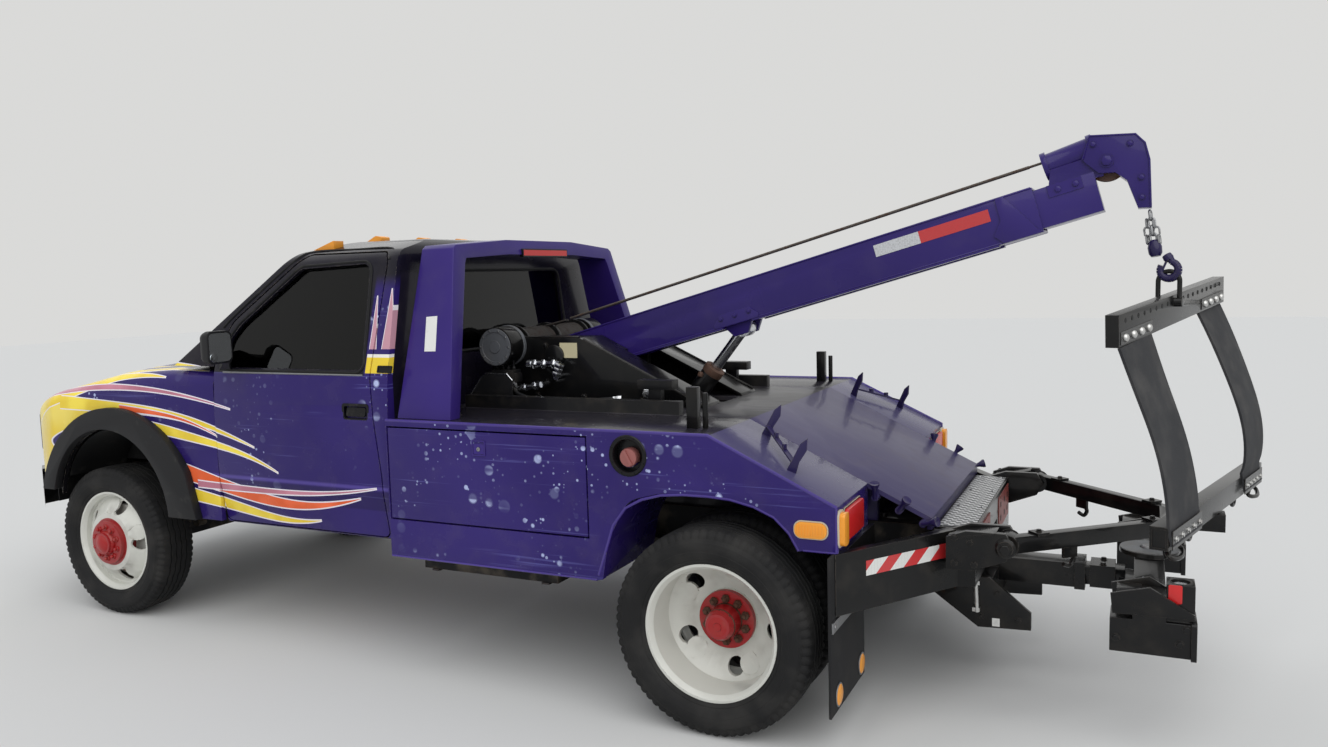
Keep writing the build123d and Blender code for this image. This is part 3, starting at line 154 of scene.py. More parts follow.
class Wire:
    """A shader socket whose arithmetic adds Math nodes."""

    def __init__(self, shade: "Shade", socket: bpy.types.NodeSocket) -> None:
        """Keeps the socket and the tree that it belongs to."""
        self.shade = shade
        self.socket = socket

    def math(self, operation: str, *terms: "Number", clamped: bool = False) -> "Wire":
        """Adds one Math node.

        Args:
            operation: The node's operation.
            terms: Its inputs in order.
            clamped: Whether the result is held between 0 and 1.

        Returns:
            The node's result.
        """
        settings = {"operation": operation, "use_clamp": clamped}
        return self.shade.node("ShaderNodeMath", settings, dict(enumerate(terms)))

    def __add__(self, other: "Number") -> "Wire":
        """Sum."""
        return self.math("ADD", self, other)

    __radd__ = __add__

    def __sub__(self, other: "Number") -> "Wire":
        """Difference."""
        return self.math("SUBTRACT", self, other)

    def __rsub__(self, other: "Number") -> "Wire":
        """Difference from a number."""
        return self.math("SUBTRACT", other, self)

    def __mul__(self, other: "Number") -> "Wire":
        """Product."""
        return self.math("MULTIPLY", self, other)

    __rmul__ = __mul__

    def __truediv__(self, other: "Number") -> "Wire":
        """Quotient."""
        return self.math("DIVIDE", self, other)

    def __pow__(self, other: "Number") -> "Wire":
        """Power."""
        return self.math("POWER", self, other)

    def __abs__(self) -> "Wire":
        """Size without sign."""
        return self.math("ABSOLUTE", self)

    def __gt__(self, other: "Number") -> "Wire":
        """1 where this is the larger one, and otherwise 0."""
        return self.math("GREATER_THAN", self, other)

    def __lt__(self, other: "Number") -> "Wire":
        """1 where this is the smaller one, and otherwise 0."""
        return self.math("LESS_THAN", self, other)

    def highest(self, other: "Number") -> "Wire":
        """The larger of two values."""
        return self.math("MAXIMUM", self, other)

    def wave(self) -> "Wire":
        """The sine of this angle."""
        return self.math("SINE", self)

    def held(self) -> "Wire":
        """This value held between 0 and 1."""
        return self.math("ADD", self, 0.0, clamped=True)

    def rise(self, start: float, end: float) -> "Wire":
        """A soft step from 0 at start to 1 at end."""
        values = {0: self, 1: start, 2: end, 3: 0.0, 4: 1.0}
        return self.shade.node("ShaderNodeMapRange", {"interpolation_type": "SMOOTHSTEP"}, values)


Number = Union[Wire, float]


class Shade:
    """The node tree of one finish, with its shader at the end."""

    def __init__(self, name: str) -> None:
        """Makes the material with one shader in it."""
        self.material = bpy.data.materials.new(name)
        self.material.use_nodes = True
        self.tree = self.material.node_tree
        self.shader = next(n for n in self.tree.nodes if n.type == "BSDF_PRINCIPLED")
        self._place: Wire | None = None

    def node(self, kind: str, settings: dict | None = None, values: dict | None = None,
             out: int | str = 0) -> Wire:
        """Adds any node.

        Args:
            kind: The node's type.
            settings: What is set on the node first. "stops" are a ramp's places and colours.
            values: Values or wires for its sockets, by name or number.
            out: The output to give back.

        Returns:
            That output.
        """
        made = self.tree.nodes.new(kind)
        for key, value in (settings or {}).items():
            if key == "stops":
                ramp = made.color_ramp
                while len(ramp.elements) < len(value):
                    ramp.elements.new(0.5)
                for element, (place, colour) in zip(ramp.elements, value):
                    element.position = place
                    element.color = (*colour, 1.0)
            else:
                setattr(made, key, value)
        for key, value in (values or {}).items():
            if isinstance(value, Wire):
                self.tree.links.new(value.socket, made.inputs[key])
            elif isinstance(value, tuple) and made.inputs[key].type == "RGBA":
                made.inputs[key].default_value = (*value, 1.0)
            else:
                made.inputs[key].default_value = value
        return Wire(self, made.outputs[out])

    @property
    def place(self) -> Wire:
        """The point's place in the truck's frame, at rest."""
        if self._place is None:
            self._place = self.node("ShaderNodeTexCoord", out="Object")
        return self._place

    def along(self, axis: Along) -> Wire:
        """One of the place's three parts."""
        return self.node("ShaderNodeSeparateXYZ", None, {0: self.place}, axis.value)

    def stretched(self, scale: Point) -> Wire:
        """The place with each axis scaled by its own factor."""
        return self.node("ShaderNodeVectorMath", {"operation": "MULTIPLY"}, {0: self.place, 1: tuple(scale)})

    def noise(self, scale: float, detail: float = 3.0, stretch: Point = (1, 1, 1)) -> Wire:
        """Smooth noise around one half.

        Args:
            scale: How many bumps there are to a metre.
            detail: How many finer layers it has.
            stretch: The factor of each axis.

        Returns:
            The noise's value.
        """
        where = self.place if tuple(stretch) == (1, 1, 1) else self.stretched(stretch)
        return self.node("ShaderNodeTexNoise", None, {"Vector": where, "Scale": scale, "Detail": detail}, "Fac")

    def mix(self, under: "Wire | Colour", over: "Wire | Colour", share: Number) -> Wire:
        """One colour over another by a share."""
        return self.node("ShaderNodeMix", {"data_type": "RGBA"}, {0: share, 6: under, 7: over}, 2)

    def edge(self, width: float) -> Wire:
        """How near the surface is to a sharp edge, from 0 to 1.

        Args:
            width: How far from an edge the value reaches, in metres.

        Returns:
            The nearness.
        """
        soft = self.node("ShaderNodeBevel", {"samples": 4}, {"Radius": width})
        plain = self.node("ShaderNodeNewGeometry", out="Normal")
        return (1.0 - self.node("ShaderNodeVectorMath", {"operation": "DOT_PRODUCT"}, {0: soft, 1: plain},
                                "Value")).rise(0.01, 0.25)

    def bump(self, height: Wire, strength: float, distance: float = 0.001) -> None:
        """Feeds a height into the shader's normal.

        Args:
            height: The height from 0 to 1.
            strength: How much of it shows.
            distance: The depth of a full step, in metres.
        """
        self.feed("Normal", self.node("ShaderNodeBump", None, {"Height": height, "Strength": strength,
                                                               "Distance": distance}))

    def feed(self, socket: str, value: "Wire | Colour | float") -> None:
        """Gives one of the shader's sockets a wire or a constant."""
        if isinstance(value, Wire):
            self.tree.links.new(value.socket, self.shader.inputs[socket])
        elif isinstance(value, tuple):
            self.shader.inputs[socket].default_value = (*value, 1.0)
        else:
            self.shader.inputs[socket].default_value = value


@dataclass(frozen=True)
class Finish:
    """A finish that is built once and then shared by its pieces."""

    name: str

    def material(self) -> bpy.types.Material:
        """The finish's material, built on its first use."""
        found = bpy.data.materials.get(self.name)
        if found is None:
            shade = Shade(self.name)
            self.paint(shade)
            found = shade.material
        return found

    def paint(self, shade: Shade) -> None:
        """Fills the node tree."""
        raise NotImplementedError


@dataclass(frozen=True)
class Enamel(Finish):
    """Sprayed enamel that is chipped along its edges and dusty in places."""

    colour: Colour = JET
    roughness: float = 0.28
    coat: float = 0.4
    chips: float = 0.5
    under: Colour = srgb(120, 112, 104)
    dust: float = 0.25
    dust_colour: Colour = srgb(126, 116, 102)

    def base(self, shade: Shade) -> Wire:
        """The enamel's colour before chips and dust."""
        cloud = shade.noise(1.6, 2.0)
        light = tuple(min(1.0, part * 1.25 + 0.004) for part in self.colour)
        return shade.mix(self.colour, light, cloud.rise(0.35, 0.75))

    def paint(self, shade: Shade) -> None:
        """Lays the enamel, its chips, its dust and its fine ripple."""
        grit = shade.noise(70.0, 4.0)
        chip = (shade.edge(0.004) * 0.5 + grit - (1.02 - 0.16 * self.chips)).rise(0.0, 0.04) if self.chips else None
        height = shade.along(Along.Z)
        low = 1.0 - height.rise(0.15, 1.1)
        film = (shade.noise(9.0, 5.0).rise(0.45, 0.8) * (0.35 + low * 0.65) * self.dust).held()
        colour = shade.mix(self.base(shade), self.dust_colour, film)
        rough = self.roughness + film * 0.5 + shade.noise(4.0, 2.0) * 0.08
        ripple = shade.noise(240.0, 1.0) * 0.5
        if chip is not None:
            colour = shade.mix(colour, self.under, chip)
            rough = rough + chip * 0.3
            ripple = ripple - chip * 1.5
        shade.feed("Base Color", colour)
        shade.feed("Roughness", rough)
        shade.feed("Coat Weight", self.coat)
        shade.feed("Coat Roughness", 0.05)
        shade.feed("Specular IOR Level", 0.18)
        shade.bump(ripple, 0.12, 0.0006)


@dataclass(frozen=True)
class Tongue:
    """One tapering stroke of the painted scallops, seen from the side."""

    root: tuple[float, float]
    tip: tuple[float, float]
    sag: float
    half: float
    colour: Colour


YELLOW = srgb(236, 205, 62)
ORANGE = srgb(226, 96, 48)
MAUVE = srgb(186, 118, 136)
SCALLOPS = (
    Tongue((3.02, 1.145), (1.46, 1.325), 0.035, 0.06, YELLOW),
    Tongue((3.02, 1.235), (1.86, 1.42), 0.01, 0.052, YELLOW),
    Tongue((3.02, 1.04), (1.7, 1.245), 0.07, 0.062, YELLOW),
    Tongue((2.76, 1.175), (1.26, 1.125), 0.052, 0.02, MAUVE),
    Tongue((2.52, 1.13), (1.12, 0.945), 0.05, 0.034, YELLOW),
    Tongue((2.05, 1.105), (1.36, 0.985), 0.03, 0.014, ORANGE),
    Tongue((1.84, 1.01), (0.98, 0.822), 0.045, 0.026, YELLOW),
    Tongue((1.66, 0.8), (0.5, 0.742), -0.06, 0.04, ORANGE),
    Tongue((1.6, 0.7), (0.76, 0.64), -0.035, 0.03, YELLOW),
    Tongue((1.52, 0.745), (0.4, 0.8), -0.03, 0.015, MAUVE),
)


@dataclass(frozen=True)
class Livery(Enamel):
    """The truck's violet paint with sprayed droplets, and scallops and a dark roof on the cab."""

    scallops: tuple[Tongue, ...] = ()
    droplets: float = 1.0
    dark_roof: bool = False
    dark_top: bool = False

    def stroke(self, shade: Shade, tongue: Tongue) -> tuple[Wire, Wire]:
        """One scallop's share of the surface.

        Args:
            shade: The finish's node tree.
            tongue: The scallop.

        Returns:
            The share with its fine outline, and the share inside it.
        """
        run = (tongue.root[0] - shade.along(Along.X)) / (tongue.root[0] - tongue.tip[0])
        spread = shade.along(Along.Z) + (0.95 - abs(shade.along(Along.Y))).highest(0.0) * 0.5
        rest = (1.0 - run).highest(0.0)
        middle = tongue.root[1] + run * (tongue.tip[1] - tongue.root[1]) + run * rest * (4.0 * tongue.sag)
        sway = (run * 5.5 + tongue.root[1] * 9.0).wave() * (tongue.half * 0.45)
        away = abs(spread - middle - sway)
        width = (rest ** 0.8) * tongue.half
        inside = (run > 0.0) * (run < 1.0)
        return (away < width + 0.0055) * inside, (away < width) * inside

    def spray(self, shade: Shade, under: Wire) -> Wire:
        """Sprays clusters of droplets and thin blown streaks on a colour.

        Args:
            shade: The finish's node tree.
            under: The colour below them.

        Returns:
            The colour with the droplets.
        """
        flat = shade.stretched((1.0, 0.55, 1.0))
        patch = shade.node("ShaderNodeTexNoise", None, {"Vector": flat, "Scale": 3.1, "Detail": 2.0},
                           "Fac").rise(0.44, 0.62)
        chain = shade.noise(2.4, 2.0, (0.6, 1.0, 5.0)).rise(0.5, 0.58)
        blown = shade.noise(2.6, 3.0, (0.7, 1.0, 44.0)).rise(0.58, 0.74) * chain * 0.34
        under = shade.mix(under, srgb(120, 122, 196), (blown * self.droplets).held())
        for scale, size, share in ((13.0, 0.4, 1.0), (25.0, 0.36, 0.9), (46.0, 0.34, 0.7)):
            values = {"Vector": shade.place, "Scale": scale, "Randomness": 1.0}
            kind = {"voronoi_dimensions": "3D", "feature": "F1"}
            near = shade.node("ShaderNodeTexVoronoi", kind, values, "Distance")
            tint = shade.node("ShaderNodeTexVoronoi", kind, values, "Color")
            centre = shade.node("ShaderNodeTexVoronoi", kind, values, "Position")
            pick = shade.node("ShaderNodeSeparateColor", None, {0: tint}, 0)
            reach = (pick - 0.45).highest(0.0) * (size / 0.55)
            scaled = shade.stretched((scale, scale, scale))
            away = shade.node("ShaderNodeVectorMath", {"operation": "SUBTRACT"}, {0: scaled, 1: centre})
            lit = shade.node("ShaderNodeVectorMath", {"operation": "DOT_PRODUCT"},
                             {0: away, 1: (-0.45, 0.0, 0.89)}, "Value")
            inner = reach - near
            body = inner.rise(0.0, 0.02)
            rim = body * (1.0 - inner.rise(0.01, 0.05)) * 0.6
            glow = body * ((lit * -1.0) / reach.highest(0.02)).rise(0.1, 1.0) * 0.26
            glint = body * (lit / reach.highest(0.02)).rise(0.45, 0.6) * inner.rise(0.03, 0.06)
            cover = ((rim + glow + glint) * patch * (0.15 + chain * 0.85) * share * self.droplets).held()
            under = shade.mix(under, srgb(186, 196, 236), cover)
        return under

    def base(self, shade: Shade) -> Wire:
        """Violet, its droplets, the dark roof, a painted highlight and shade at the side crease, and the scallops."""
        colour = Enamel.base(self, shade)
        if self.droplets:
            colour = self.spray(shade, colour)
        x, y, z = (shade.along(axis) for axis in Along)
        if self.dark_roof:
            rear = 1.0 - x.rise(0.44, 0.455)
            roof = z.rise(1.293, 1.3) * (1.0 - rear * (1.0 - z.rise(1.66, 1.74)))
            colour = shade.mix(colour, NIGHT, roof)
            flank = (abs(y) + (z - 1.29).highest(0.0) * 0.2774) > 0.915
            colour = shade.mix(colour, srgb(26, 23, 36), (x < 0.412) * (1.0 - flank) * (z < 1.74))
            for foot, half, low, high, lean in ((0.333, 0.033, 1.41, 1.673, 0.07),
                                                (0.4165, 0.0175, 1.409, 1.642, 0.05)):
                away = abs(x - foot - (z - low) * lean)
                width = (high - z) * (half / (high - low))
                inside = (z > low) * (z < high) * flank
                colour = shade.mix(colour, srgb(238, 232, 236), (away < width + 0.003) * inside)
                colour = shade.mix(colour, srgb(196, 146, 160), (away < width) * inside)
            band = (z > 1.306) * (z < 1.388) * (x < 0.442) * flank
            colour = shade.mix(colour, srgb(238, 234, 226), band)
            colour = shade.mix(colour, YELLOW, band * (z < 1.374))
        if self.scallops:
            side = (x < 1.6) * (abs(y) > 0.9)
            # Painted shade: a darker band below the side crease. Painted highlight: a lighter violet line along the
            # crease.
            colour = shade.mix(colour, srgb(30, 20, 66), z.rise(0.69, 0.7) * (1.0 - z.rise(0.776, 0.79)) * side * 0.5)
            colour = shade.mix(colour, srgb(100, 84, 172), (1.0 - abs(z - 0.797).rise(0.002, 0.014)) * side * 0.55)
            wavy = x + (z * 31.0).wave() * 0.045 + (z * 13.0 + 1.0).wave() * 0.06
            wavy = wavy + z.rise(0.86, 1.06) * 0.32 + (1.0 - z.rise(0.82, 0.92)) * 0.16
            mass = wavy.rise(2.69, 2.7) * (z > 0.7)
            colour = shade.mix(colour, PIN_STRIPE, wavy.rise(2.674, 2.684) * (z > 0.7))
            colour = shade.mix(colour, shade.mix(YELLOW, srgb(244, 222, 108),
                                                 shade.noise(3.0, 2.0).rise(0.4, 0.7)), mass)
        for tongue in self.scallops:
            outline, inside = self.stroke(shade, tongue)
            colour = shade.mix(colour, PIN_STRIPE, outline)
            pale = tuple(min(1.0, part * 1.25 + 0.03) for part in tongue.colour)
            colour = shade.mix(colour, shade.mix(tongue.colour, pale, shade.noise(5.0, 2.0).rise(0.4, 0.7)), inside)
        if self.scallops:
            colour = shade.mix(colour, WELL_BLACK, (abs(y) < 0.922) * (z < 1.0) * (x > 1.5) * (x < 2.62))
            from_arch = ((x - 2.13) * (x - 2.13) + (z - 0.558) * (z - 0.558)) ** 0.5
            colour = shade.mix(colour, WELL_BLACK, (from_arch < 0.475) * (x > 1.5))
        if self.dark_top:
            slope = (z - 1.114 + (-1.205 - x).highest(0.0) * 0.4864) > -0.004
            colour = shade.mix(colour, srgb(34, 32, 40), slope * (x > -1.206))
            colour = shade.mix(colour, srgb(74, 70, 104), slope * (x < -1.206))
        return colour


@dataclass(frozen=True)
class Moulding(Finish):
    """Black plastic with a fine grain and pale scuffs."""

    colour: Colour = srgb(28, 28, 30)
    roughness: float = 0.5

    def paint(self, shade: Shade) -> None:
        """Lays the grain and the scuffs."""
        scuff = shade.noise(14.0, 5.0).rise(0.58, 0.75) * 0.22
        shade.feed("Base Color", shade.mix(self.colour, srgb(96, 94, 90), scuff))
        shade.feed("Specular IOR Level", 0.25)
        shade.feed("Roughness", self.roughness + scuff * 0.6)
        shade.bump(shade.noise(900.0, 2.0), 0.25, 0.0003)


@dataclass(frozen=True)
class Rubber(Finish):
    """Rubber that is dusty in its hollows and scuffed grey where it wears."""

    colour: Colour = srgb(24, 24, 25)
    dust: float = 0.3
    wear: Colour = srgb(74, 72, 69)
    ribs: float = 0.0

    def paint(self, shade: Shade) -> None:
        """Lays the rubber, its dust and its fine skin."""
        cloud = shade.noise(7.0, 5.0)
        colour = shade.mix(self.colour, self.wear,
                           (cloud.rise(0.42, 0.78) * self.dust + shade.edge(0.004) * 0.18).held())
        shade.feed("Base Color", colour)
        shade.feed("Roughness", 0.62 + cloud * 0.3)
        shade.feed("Specular IOR Level", 0.3)
        skin = shade.noise(420.0, 3.0)
        if self.ribs:
            skin = skin * 0.4 + (shade.along(Along.Z) * (tau / self.ribs)).wave() * 0.4
        shade.bump(skin, 0.3, 0.0005)


@dataclass(frozen=True)
class Plated(Finish):
    """Bare or plated metal, dulled and spotted by rust."""

    colour: Colour = srgb(196, 198, 202)
    roughness: float = 0.22
    rust: float = 0.2
    metallic: float = 1.0

    def paint(self, shade: Shade) -> None:
        """Lays the metal with its rust and its drawn scratches."""
        spot = (shade.noise(38.0, 6.0).rise(0.56, 0.72) * self.rust * 1.6).held()
        shade.feed("Base Color", shade.mix(self.colour, srgb(98, 62, 40), spot))
        shade.feed("Metallic", self.metallic * (1.0 - spot * 0.8))
        shade.feed("Roughness", self.roughness + spot * 0.5 + shade.noise(60.0, 3.0, (1, 6, 6)) * 0.12)
        shade.bump(shade.noise(300.0, 3.0, (1, 5, 5)) + spot * 0.6, 0.15, 0.0004)


@dataclass(frozen=True)
class Glazing(Finish):
    """A dark tinted pane."""

    tint: Colour = (0.012, 0.014, 0.014)

    def paint(self, shade: Shade) -> None:
        """Lets tinted light through a clear, slightly dusty pane."""
        film = shade.noise(6.0, 4.0).rise(0.5, 0.9) * 0.05
        shade.feed("Base Color", shade.mix(self.tint, srgb(120, 118, 112), film))
        shade.feed("Roughness", 0.01 + film)
        shade.feed("Transmission Weight", 1.0)
        shade.feed("IOR", 1.34)


@dataclass(frozen=True)
class Lens(Finish):
    """A lamp's lens with fine ribs inside."""

    colour: Colour = srgb(200, 20, 18)
    clear: float = 0.35
    pitch: float = 0.008

    def paint(self, shade: Shade) -> None:
        """Lays the coloured lens over its ribs."""
        ribs = (shade.along(Along.Z) * (tau / self.pitch)).wave() * 0.5 + 0.5
        grid = (shade.along(Along.Y) * (tau / self.pitch)).wave() * 0.5 + 0.5
        deep = tuple(part * 0.55 for part in self.colour)
        shade.feed("Base Color", shade.mix(deep, self.colour, (ribs * 0.6 + grid * 0.4).held()))
        shade.feed("Roughness", 0.12)
        shade.feed("Transmission Weight", self.clear)
        shade.feed("Coat Weight", 1.0)
        shade.bump(ribs * grid, 0.3, 0.0008)


@dataclass(frozen=True)
class WheelEnamel(Finish):
    """White wheel enamel with a red hub, chipped and rusty around the holes."""

    axle_x: float = FRONT_AXLE_X
    hub: float = 0.125

    def paint(self, shade: Shade) -> None:
        """Lays white, red, chips and brake dust by the distance from the axle, and painted shade behind the hand
        holes.
        """
        x, z = shade.along(Along.X) - self.axle_x, shade.along(Along.Z) - WHEEL_Z
        radius = (x * x + z * z) ** 0.5
        grain = shade.noise(55.0, 5.0)
        outer = abs(shade.along(Along.Y)) > 0.872
        colour = shade.mix(srgb(208, 208, 200), srgb(150, 22, 26), (radius < self.hub) * outer)
        soot = ((1.0 - abs(radius - 0.155).rise(0.0, 0.06)) * shade.noise(8.0, 4.0).rise(0.4, 0.75) * 0.45
                + abs(shade.noise(5.0, 4.0) - 0.5).rise(0.1, 0.3) * 0.12).held()
        colour = shade.mix(colour, srgb(108, 98, 86), soot)
        chip = (shade.edge(0.005) * 0.45 + grain - 0.98).rise(0.0, 0.05)
        # Painted shade: faces inside the wheel, seen only through the hand holes, are painted near black.
        inner = (abs(shade.along(Along.Y)) < 0.845) * (radius < 0.226)
        colour = shade.mix(colour, srgb(20, 19, 19), inner)
        shade.feed("Base Color", shade.mix(colour, srgb(92, 58, 40), chip))
        shade.feed("Roughness", 0.32 + soot * 0.4 + chip * 0.3)
        shade.feed("Coat Weight", 0.25)
        shade.bump(shade.noise(160.0, 2.0) - chip, 0.15, 0.0005)


@dataclass(frozen=True)
class DeckPaint(Enamel):
    """Black deck paint that is rubbed by chains and boots, over a glossy violet-grey slope."""

    slope: Colour = srgb(50, 43, 86)
    crest: float = -1.205

    def base(self, shade: Shade) -> Wire:
        """Black rails and deck, and a paler slope behind them, each with its own rubs."""
        x, z = shade.along(Along.X), shade.along(Along.Z)
        rub = shade.noise(5.0, 6.0, (1, 3.5, 1)).rise(0.44, 0.66) * 0.55
        # Paler cloudy patches on the slope.
        pale_cloud = shade.noise(2.2, 5.0).rise(0.4, 0.72) * 0.5
        flat = shade.mix(shade.mix(srgb(30, 29, 34), srgb(74, 72, 78), rub), srgb(18, 18, 20), z > 1.117)
        slope = shade.mix(self.slope, srgb(78, 74, 104), pale_cloud + rub * 0.3)
        return shade.mix(flat, slope, (self.crest - x).rise(-0.004, 0.004))


@dataclass(frozen=True)
class Chequer(Finish):
    """Aluminium tread plate with raised bars in turned pairs."""

    pitch: float = 0.04

    def paint(self, shade: Shade) -> None:
        """Raises the bars and dulls the metal between them."""
        x, y = shade.along(Along.X), shade.along(Along.Y)
        half, whole = pi / self.pitch, tau / self.pitch
        one = (((x + y) * half).wave() ** 2.0) * ((x - y) * whole).wave().highest(0.0)
        two = (((x - y) * half).wave() ** 2.0) * (((x + y) * whole).wave() * -1.0).highest(0.0)
        bars = (one.highest(two)).rise(0.35, 0.6)
        shade.feed("Base Color", shade.mix(srgb(112, 113, 115), srgb(228, 229, 230), bars))
        shade.feed("Metallic", 0.9)
        shade.feed("Roughness", 0.42 - bars * 0.18 + shade.noise(30.0, 4.0) * 0.15)
        shade.bump(bars, 0.8, 0.0015)


@dataclass(frozen=True)
class Weave(Finish):
    """Woven seat cloth."""

    colour: Colour = srgb(62, 62, 68)

    def paint(self, shade: Shade) -> None:
        """Crosses two sets of threads."""
        warp = (shade.along(Along.Y) * 2600.0).wave()
        weft = ((shade.along(Along.X) + shade.along(Along.Z)) * 2600.0).wave()
        thread = warp * weft * 0.5 + 0.5
        light = tuple(part * 1.7 for part in self.colour)
        shade.feed("Base Color", shade.mix(self.colour, light, thread * 0.5 + shade.noise(12.0, 3.0) * 0.3))
        shade.feed("Roughness", 0.92)
        shade.feed("Sheen Weight", 0.3)
        shade.bump(thread, 0.35, 0.0006)


@dataclass(frozen=True)
class Barred(Finish):
    """Reflective tape in slanted red and white bars, or one colour with a fine honeycomb."""

    first: Colour = srgb(206, 26, 32)
    second: Colour = srgb(232, 232, 228)
    pitch: float = 0.11
    axis: Along = Along.Y
    comb: float = 0.004

    def paint(self, shade: Shade) -> None:
        """Lays the bars, the comb and some scratches."""
        slant = shade.along(self.axis) + shade.along(Along.Z) * 0.9
        bar = (slant * (tau / self.pitch)).wave() > 0.0
        cell = shade.node("ShaderNodeTexVoronoi", {"feature": "DISTANCE_TO_EDGE"},
                          {"Vector": shade.place, "Scale": 1.0 / self.comb, "Randomness": 0.15}, "Distance")
        colour = shade.mix(self.first, self.second, bar)
        colour = shade.mix(colour, srgb(120, 116, 112), (1.0 - cell.rise(0.0, 0.12)) * 0.35)
        shade.feed("Base Color", colour)
        shade.feed("Roughness", 0.28 + shade.noise(40.0, 4.0) * 0.2)
        shade.feed("Coat Weight", 0.6)
        shade.bump(cell.rise(0.0, 0.1), 0.15, 0.0003)


@dataclass(frozen=True)
class Strand(Finish):
    """Steel wire rope, darker between its strands and spotted with rust."""

    colour: Colour = srgb(108, 100, 92)
    rust: float = 0.55

    def paint(self, shade: Shade) -> None:
        """Twists light and dark round the rope."""
        x, y, z = (shade.along(axis) for axis in Along)
        twist = ((x * 3.0 + y * 2.2 + z * 2.6) * 420.0).wave() * 0.5 + 0.5
        rust = shade.noise(45.0, 4.0).rise(0.45, 0.7)
        steel = shade.mix(tuple(part * 0.35 for part in self.colour), self.colour, twist)
        shade.feed("Base Color", shade.mix(steel, srgb(92, 58, 38), rust * self.rust))
        shade.feed("Metallic", 0.6)
        shade.feed("Roughness", 0.5 + rust * 0.3)
        shade.bump(twist, 0.5, 0.001)


LIVERY = Livery("scalloped_violet_paint", VIOLET, 0.22, 0.15, 0.15, dust=0.12, scallops=SCALLOPS, dark_roof=True)
BODY_PAINT = Livery("droplet_violet_paint", VIOLET, 0.22, 0.15, 0.2, dust=0.12, dark_top=True)
PLAIN_PAINT = Enamel("plain_violet_paint", VIOLET, 0.24, 0.2, 0.5, srgb(36, 34, 40), 0.12)
DECK_PAINT = DeckPaint("rubbed_deck_paint", JET, 0.34, 0.12, 0.8, srgb(52, 48, 50), 0.3)
BLACK_GLOSS = Enamel("gloss_black_enamel", JET, 0.24, 0.22, 0.7, srgb(80, 74, 68), 0.1)
CHASSIS_BLACK = Enamel("chassis_black_enamel", srgb(20, 20, 22), 0.55, 0.0, 0.6, srgb(84, 62, 50), 0.9)
RED_ENAMEL = Enamel("red_hub_enamel", srgb(158, 26, 28), 0.3, 0.4, 0.8, srgb(70, 50, 44), 0.3)
GUARD_PAINT = Enamel("guard_violet_paint", srgb(50, 34, 110), 0.3, 0.15, 0.4, srgb(40, 36, 44), 0.12)
# A lighter, glossier copy of the body violet for the rolled lips: a painted highlight.
HIGHLIT_LIP_PAINT = Enamel("lip_violet_paint", srgb(62, 46, 124), 0.22, 0.5, 0.3, srgb(90, 84, 96), 0.1)
DARK_VIOLET = Enamel("dark_violet_paint", srgb(34, 26, 70), 0.3, 0.3, 0.8, srgb(96, 90, 92), 0.2)
PANEL_RED = Enamel("faded_red_paint", srgb(132, 58, 54), 0.45, 0.1, 0.8, srgb(70, 48, 42), 0.4)
CAP_GREY = Enamel("dull_grey_paint", srgb(92, 94, 98), 0.42, 0.1, 0.6, srgb(58, 50, 46), 0.5)
PALE_PLATE = Enamel("scuffed_grey_plate", srgb(120, 122, 124), 0.4, 0.0, 0.8, srgb(60, 56, 54), 0.6)
DRUM_BROWN = Enamel("rusty_drum", srgb(86, 58, 46), 0.6, 0.0, 0.9, srgb(52, 36, 30), 0.6)
LINE_BLACK = Enamel("line_black", srgb(26, 26, 28), 0.38, 0.1, 0.4, srgb(70, 66, 62), 0.3)
RUST = Plated("rusty_forging", srgb(98, 74, 62), 0.6, 0.9, 0.3)
DULL_METAL = Plated("dull_metal", srgb(150, 151, 153), 0.36, 0.15)
COPPER_CAP = Plated("copper_cap", srgb(158, 98, 94), 0.4, 0.1, 0.4)
CASTING = Plated("oily_casting", srgb(70, 70, 72), 0.55, 0.6, 0.6)
CHROME = Plated("worn_chrome", srgb(206, 208, 212), 0.14, 0.12)
ZINC = Plated("zinc_bolt", srgb(200, 200, 198), 0.3, 0.15)
DARK_STEEL = Plated("dark_steel", srgb(74, 70, 70), 0.4, 0.5)
BLACK_PLASTIC = Moulding("grained_black_plastic")
GLOSS_PLASTIC = Moulding("smooth_black_plastic", srgb(16, 16, 18), 0.25)
SEAL_RUBBER = Moulding("seal_rubber", srgb(19, 19, 20), 0.55)
CREAM_PLASTIC = Moulding("cream_plastic", srgb(196, 186, 164), 0.45)
TYRE_RUBBER = Rubber("tyre_rubber", srgb(22, 22, 23), 0.32)
FLAP_RUBBER = Rubber("flap_rubber", srgb(26, 26, 28), 0.25)
BELT_RUBBER = Rubber("belt_rubber", srgb(44, 45, 48), 0.5, srgb(92, 90, 88), 0.012)
GLASS = Glazing("tinted_glass")
RED_LENS = Lens("red_lens", srgb(178, 10, 16), 0.1)
AMBER_LENS = Lens("amber_lens", srgb(238, 86, 8), 0.1)
CLEAR_LENS = Lens("clear_lens", srgb(224, 228, 232), 0.6)
SEAT_CLOTH = Weave("seat_cloth")
TREAD_PLATE = Chequer("tread_plate")
WARNING_TAPE = Barred("warning_tape")
RED_TAPE = Barred("red_tape", srgb(196, 24, 30), srgb(196, 24, 30), 1.0, Along.X)
SILVER_TAPE = Barred("silver_tape", srgb(204, 206, 208), srgb(204, 206, 208), 1.0, Along.X, 0.007)
ROPE = Strand("wire_rope")
WOUND_ROPE = Strand("wound_rope", srgb(66, 62, 60), 0.12)
PAPER = Moulding("blank_label", srgb(206, 196, 160), 0.5)
WHITE_PAPER = Moulding("white_label", srgb(226, 226, 222), 0.45)
MIRROR_FACE = Plated("mirror_face", srgb(220, 224, 228), 0.02, 0.0)


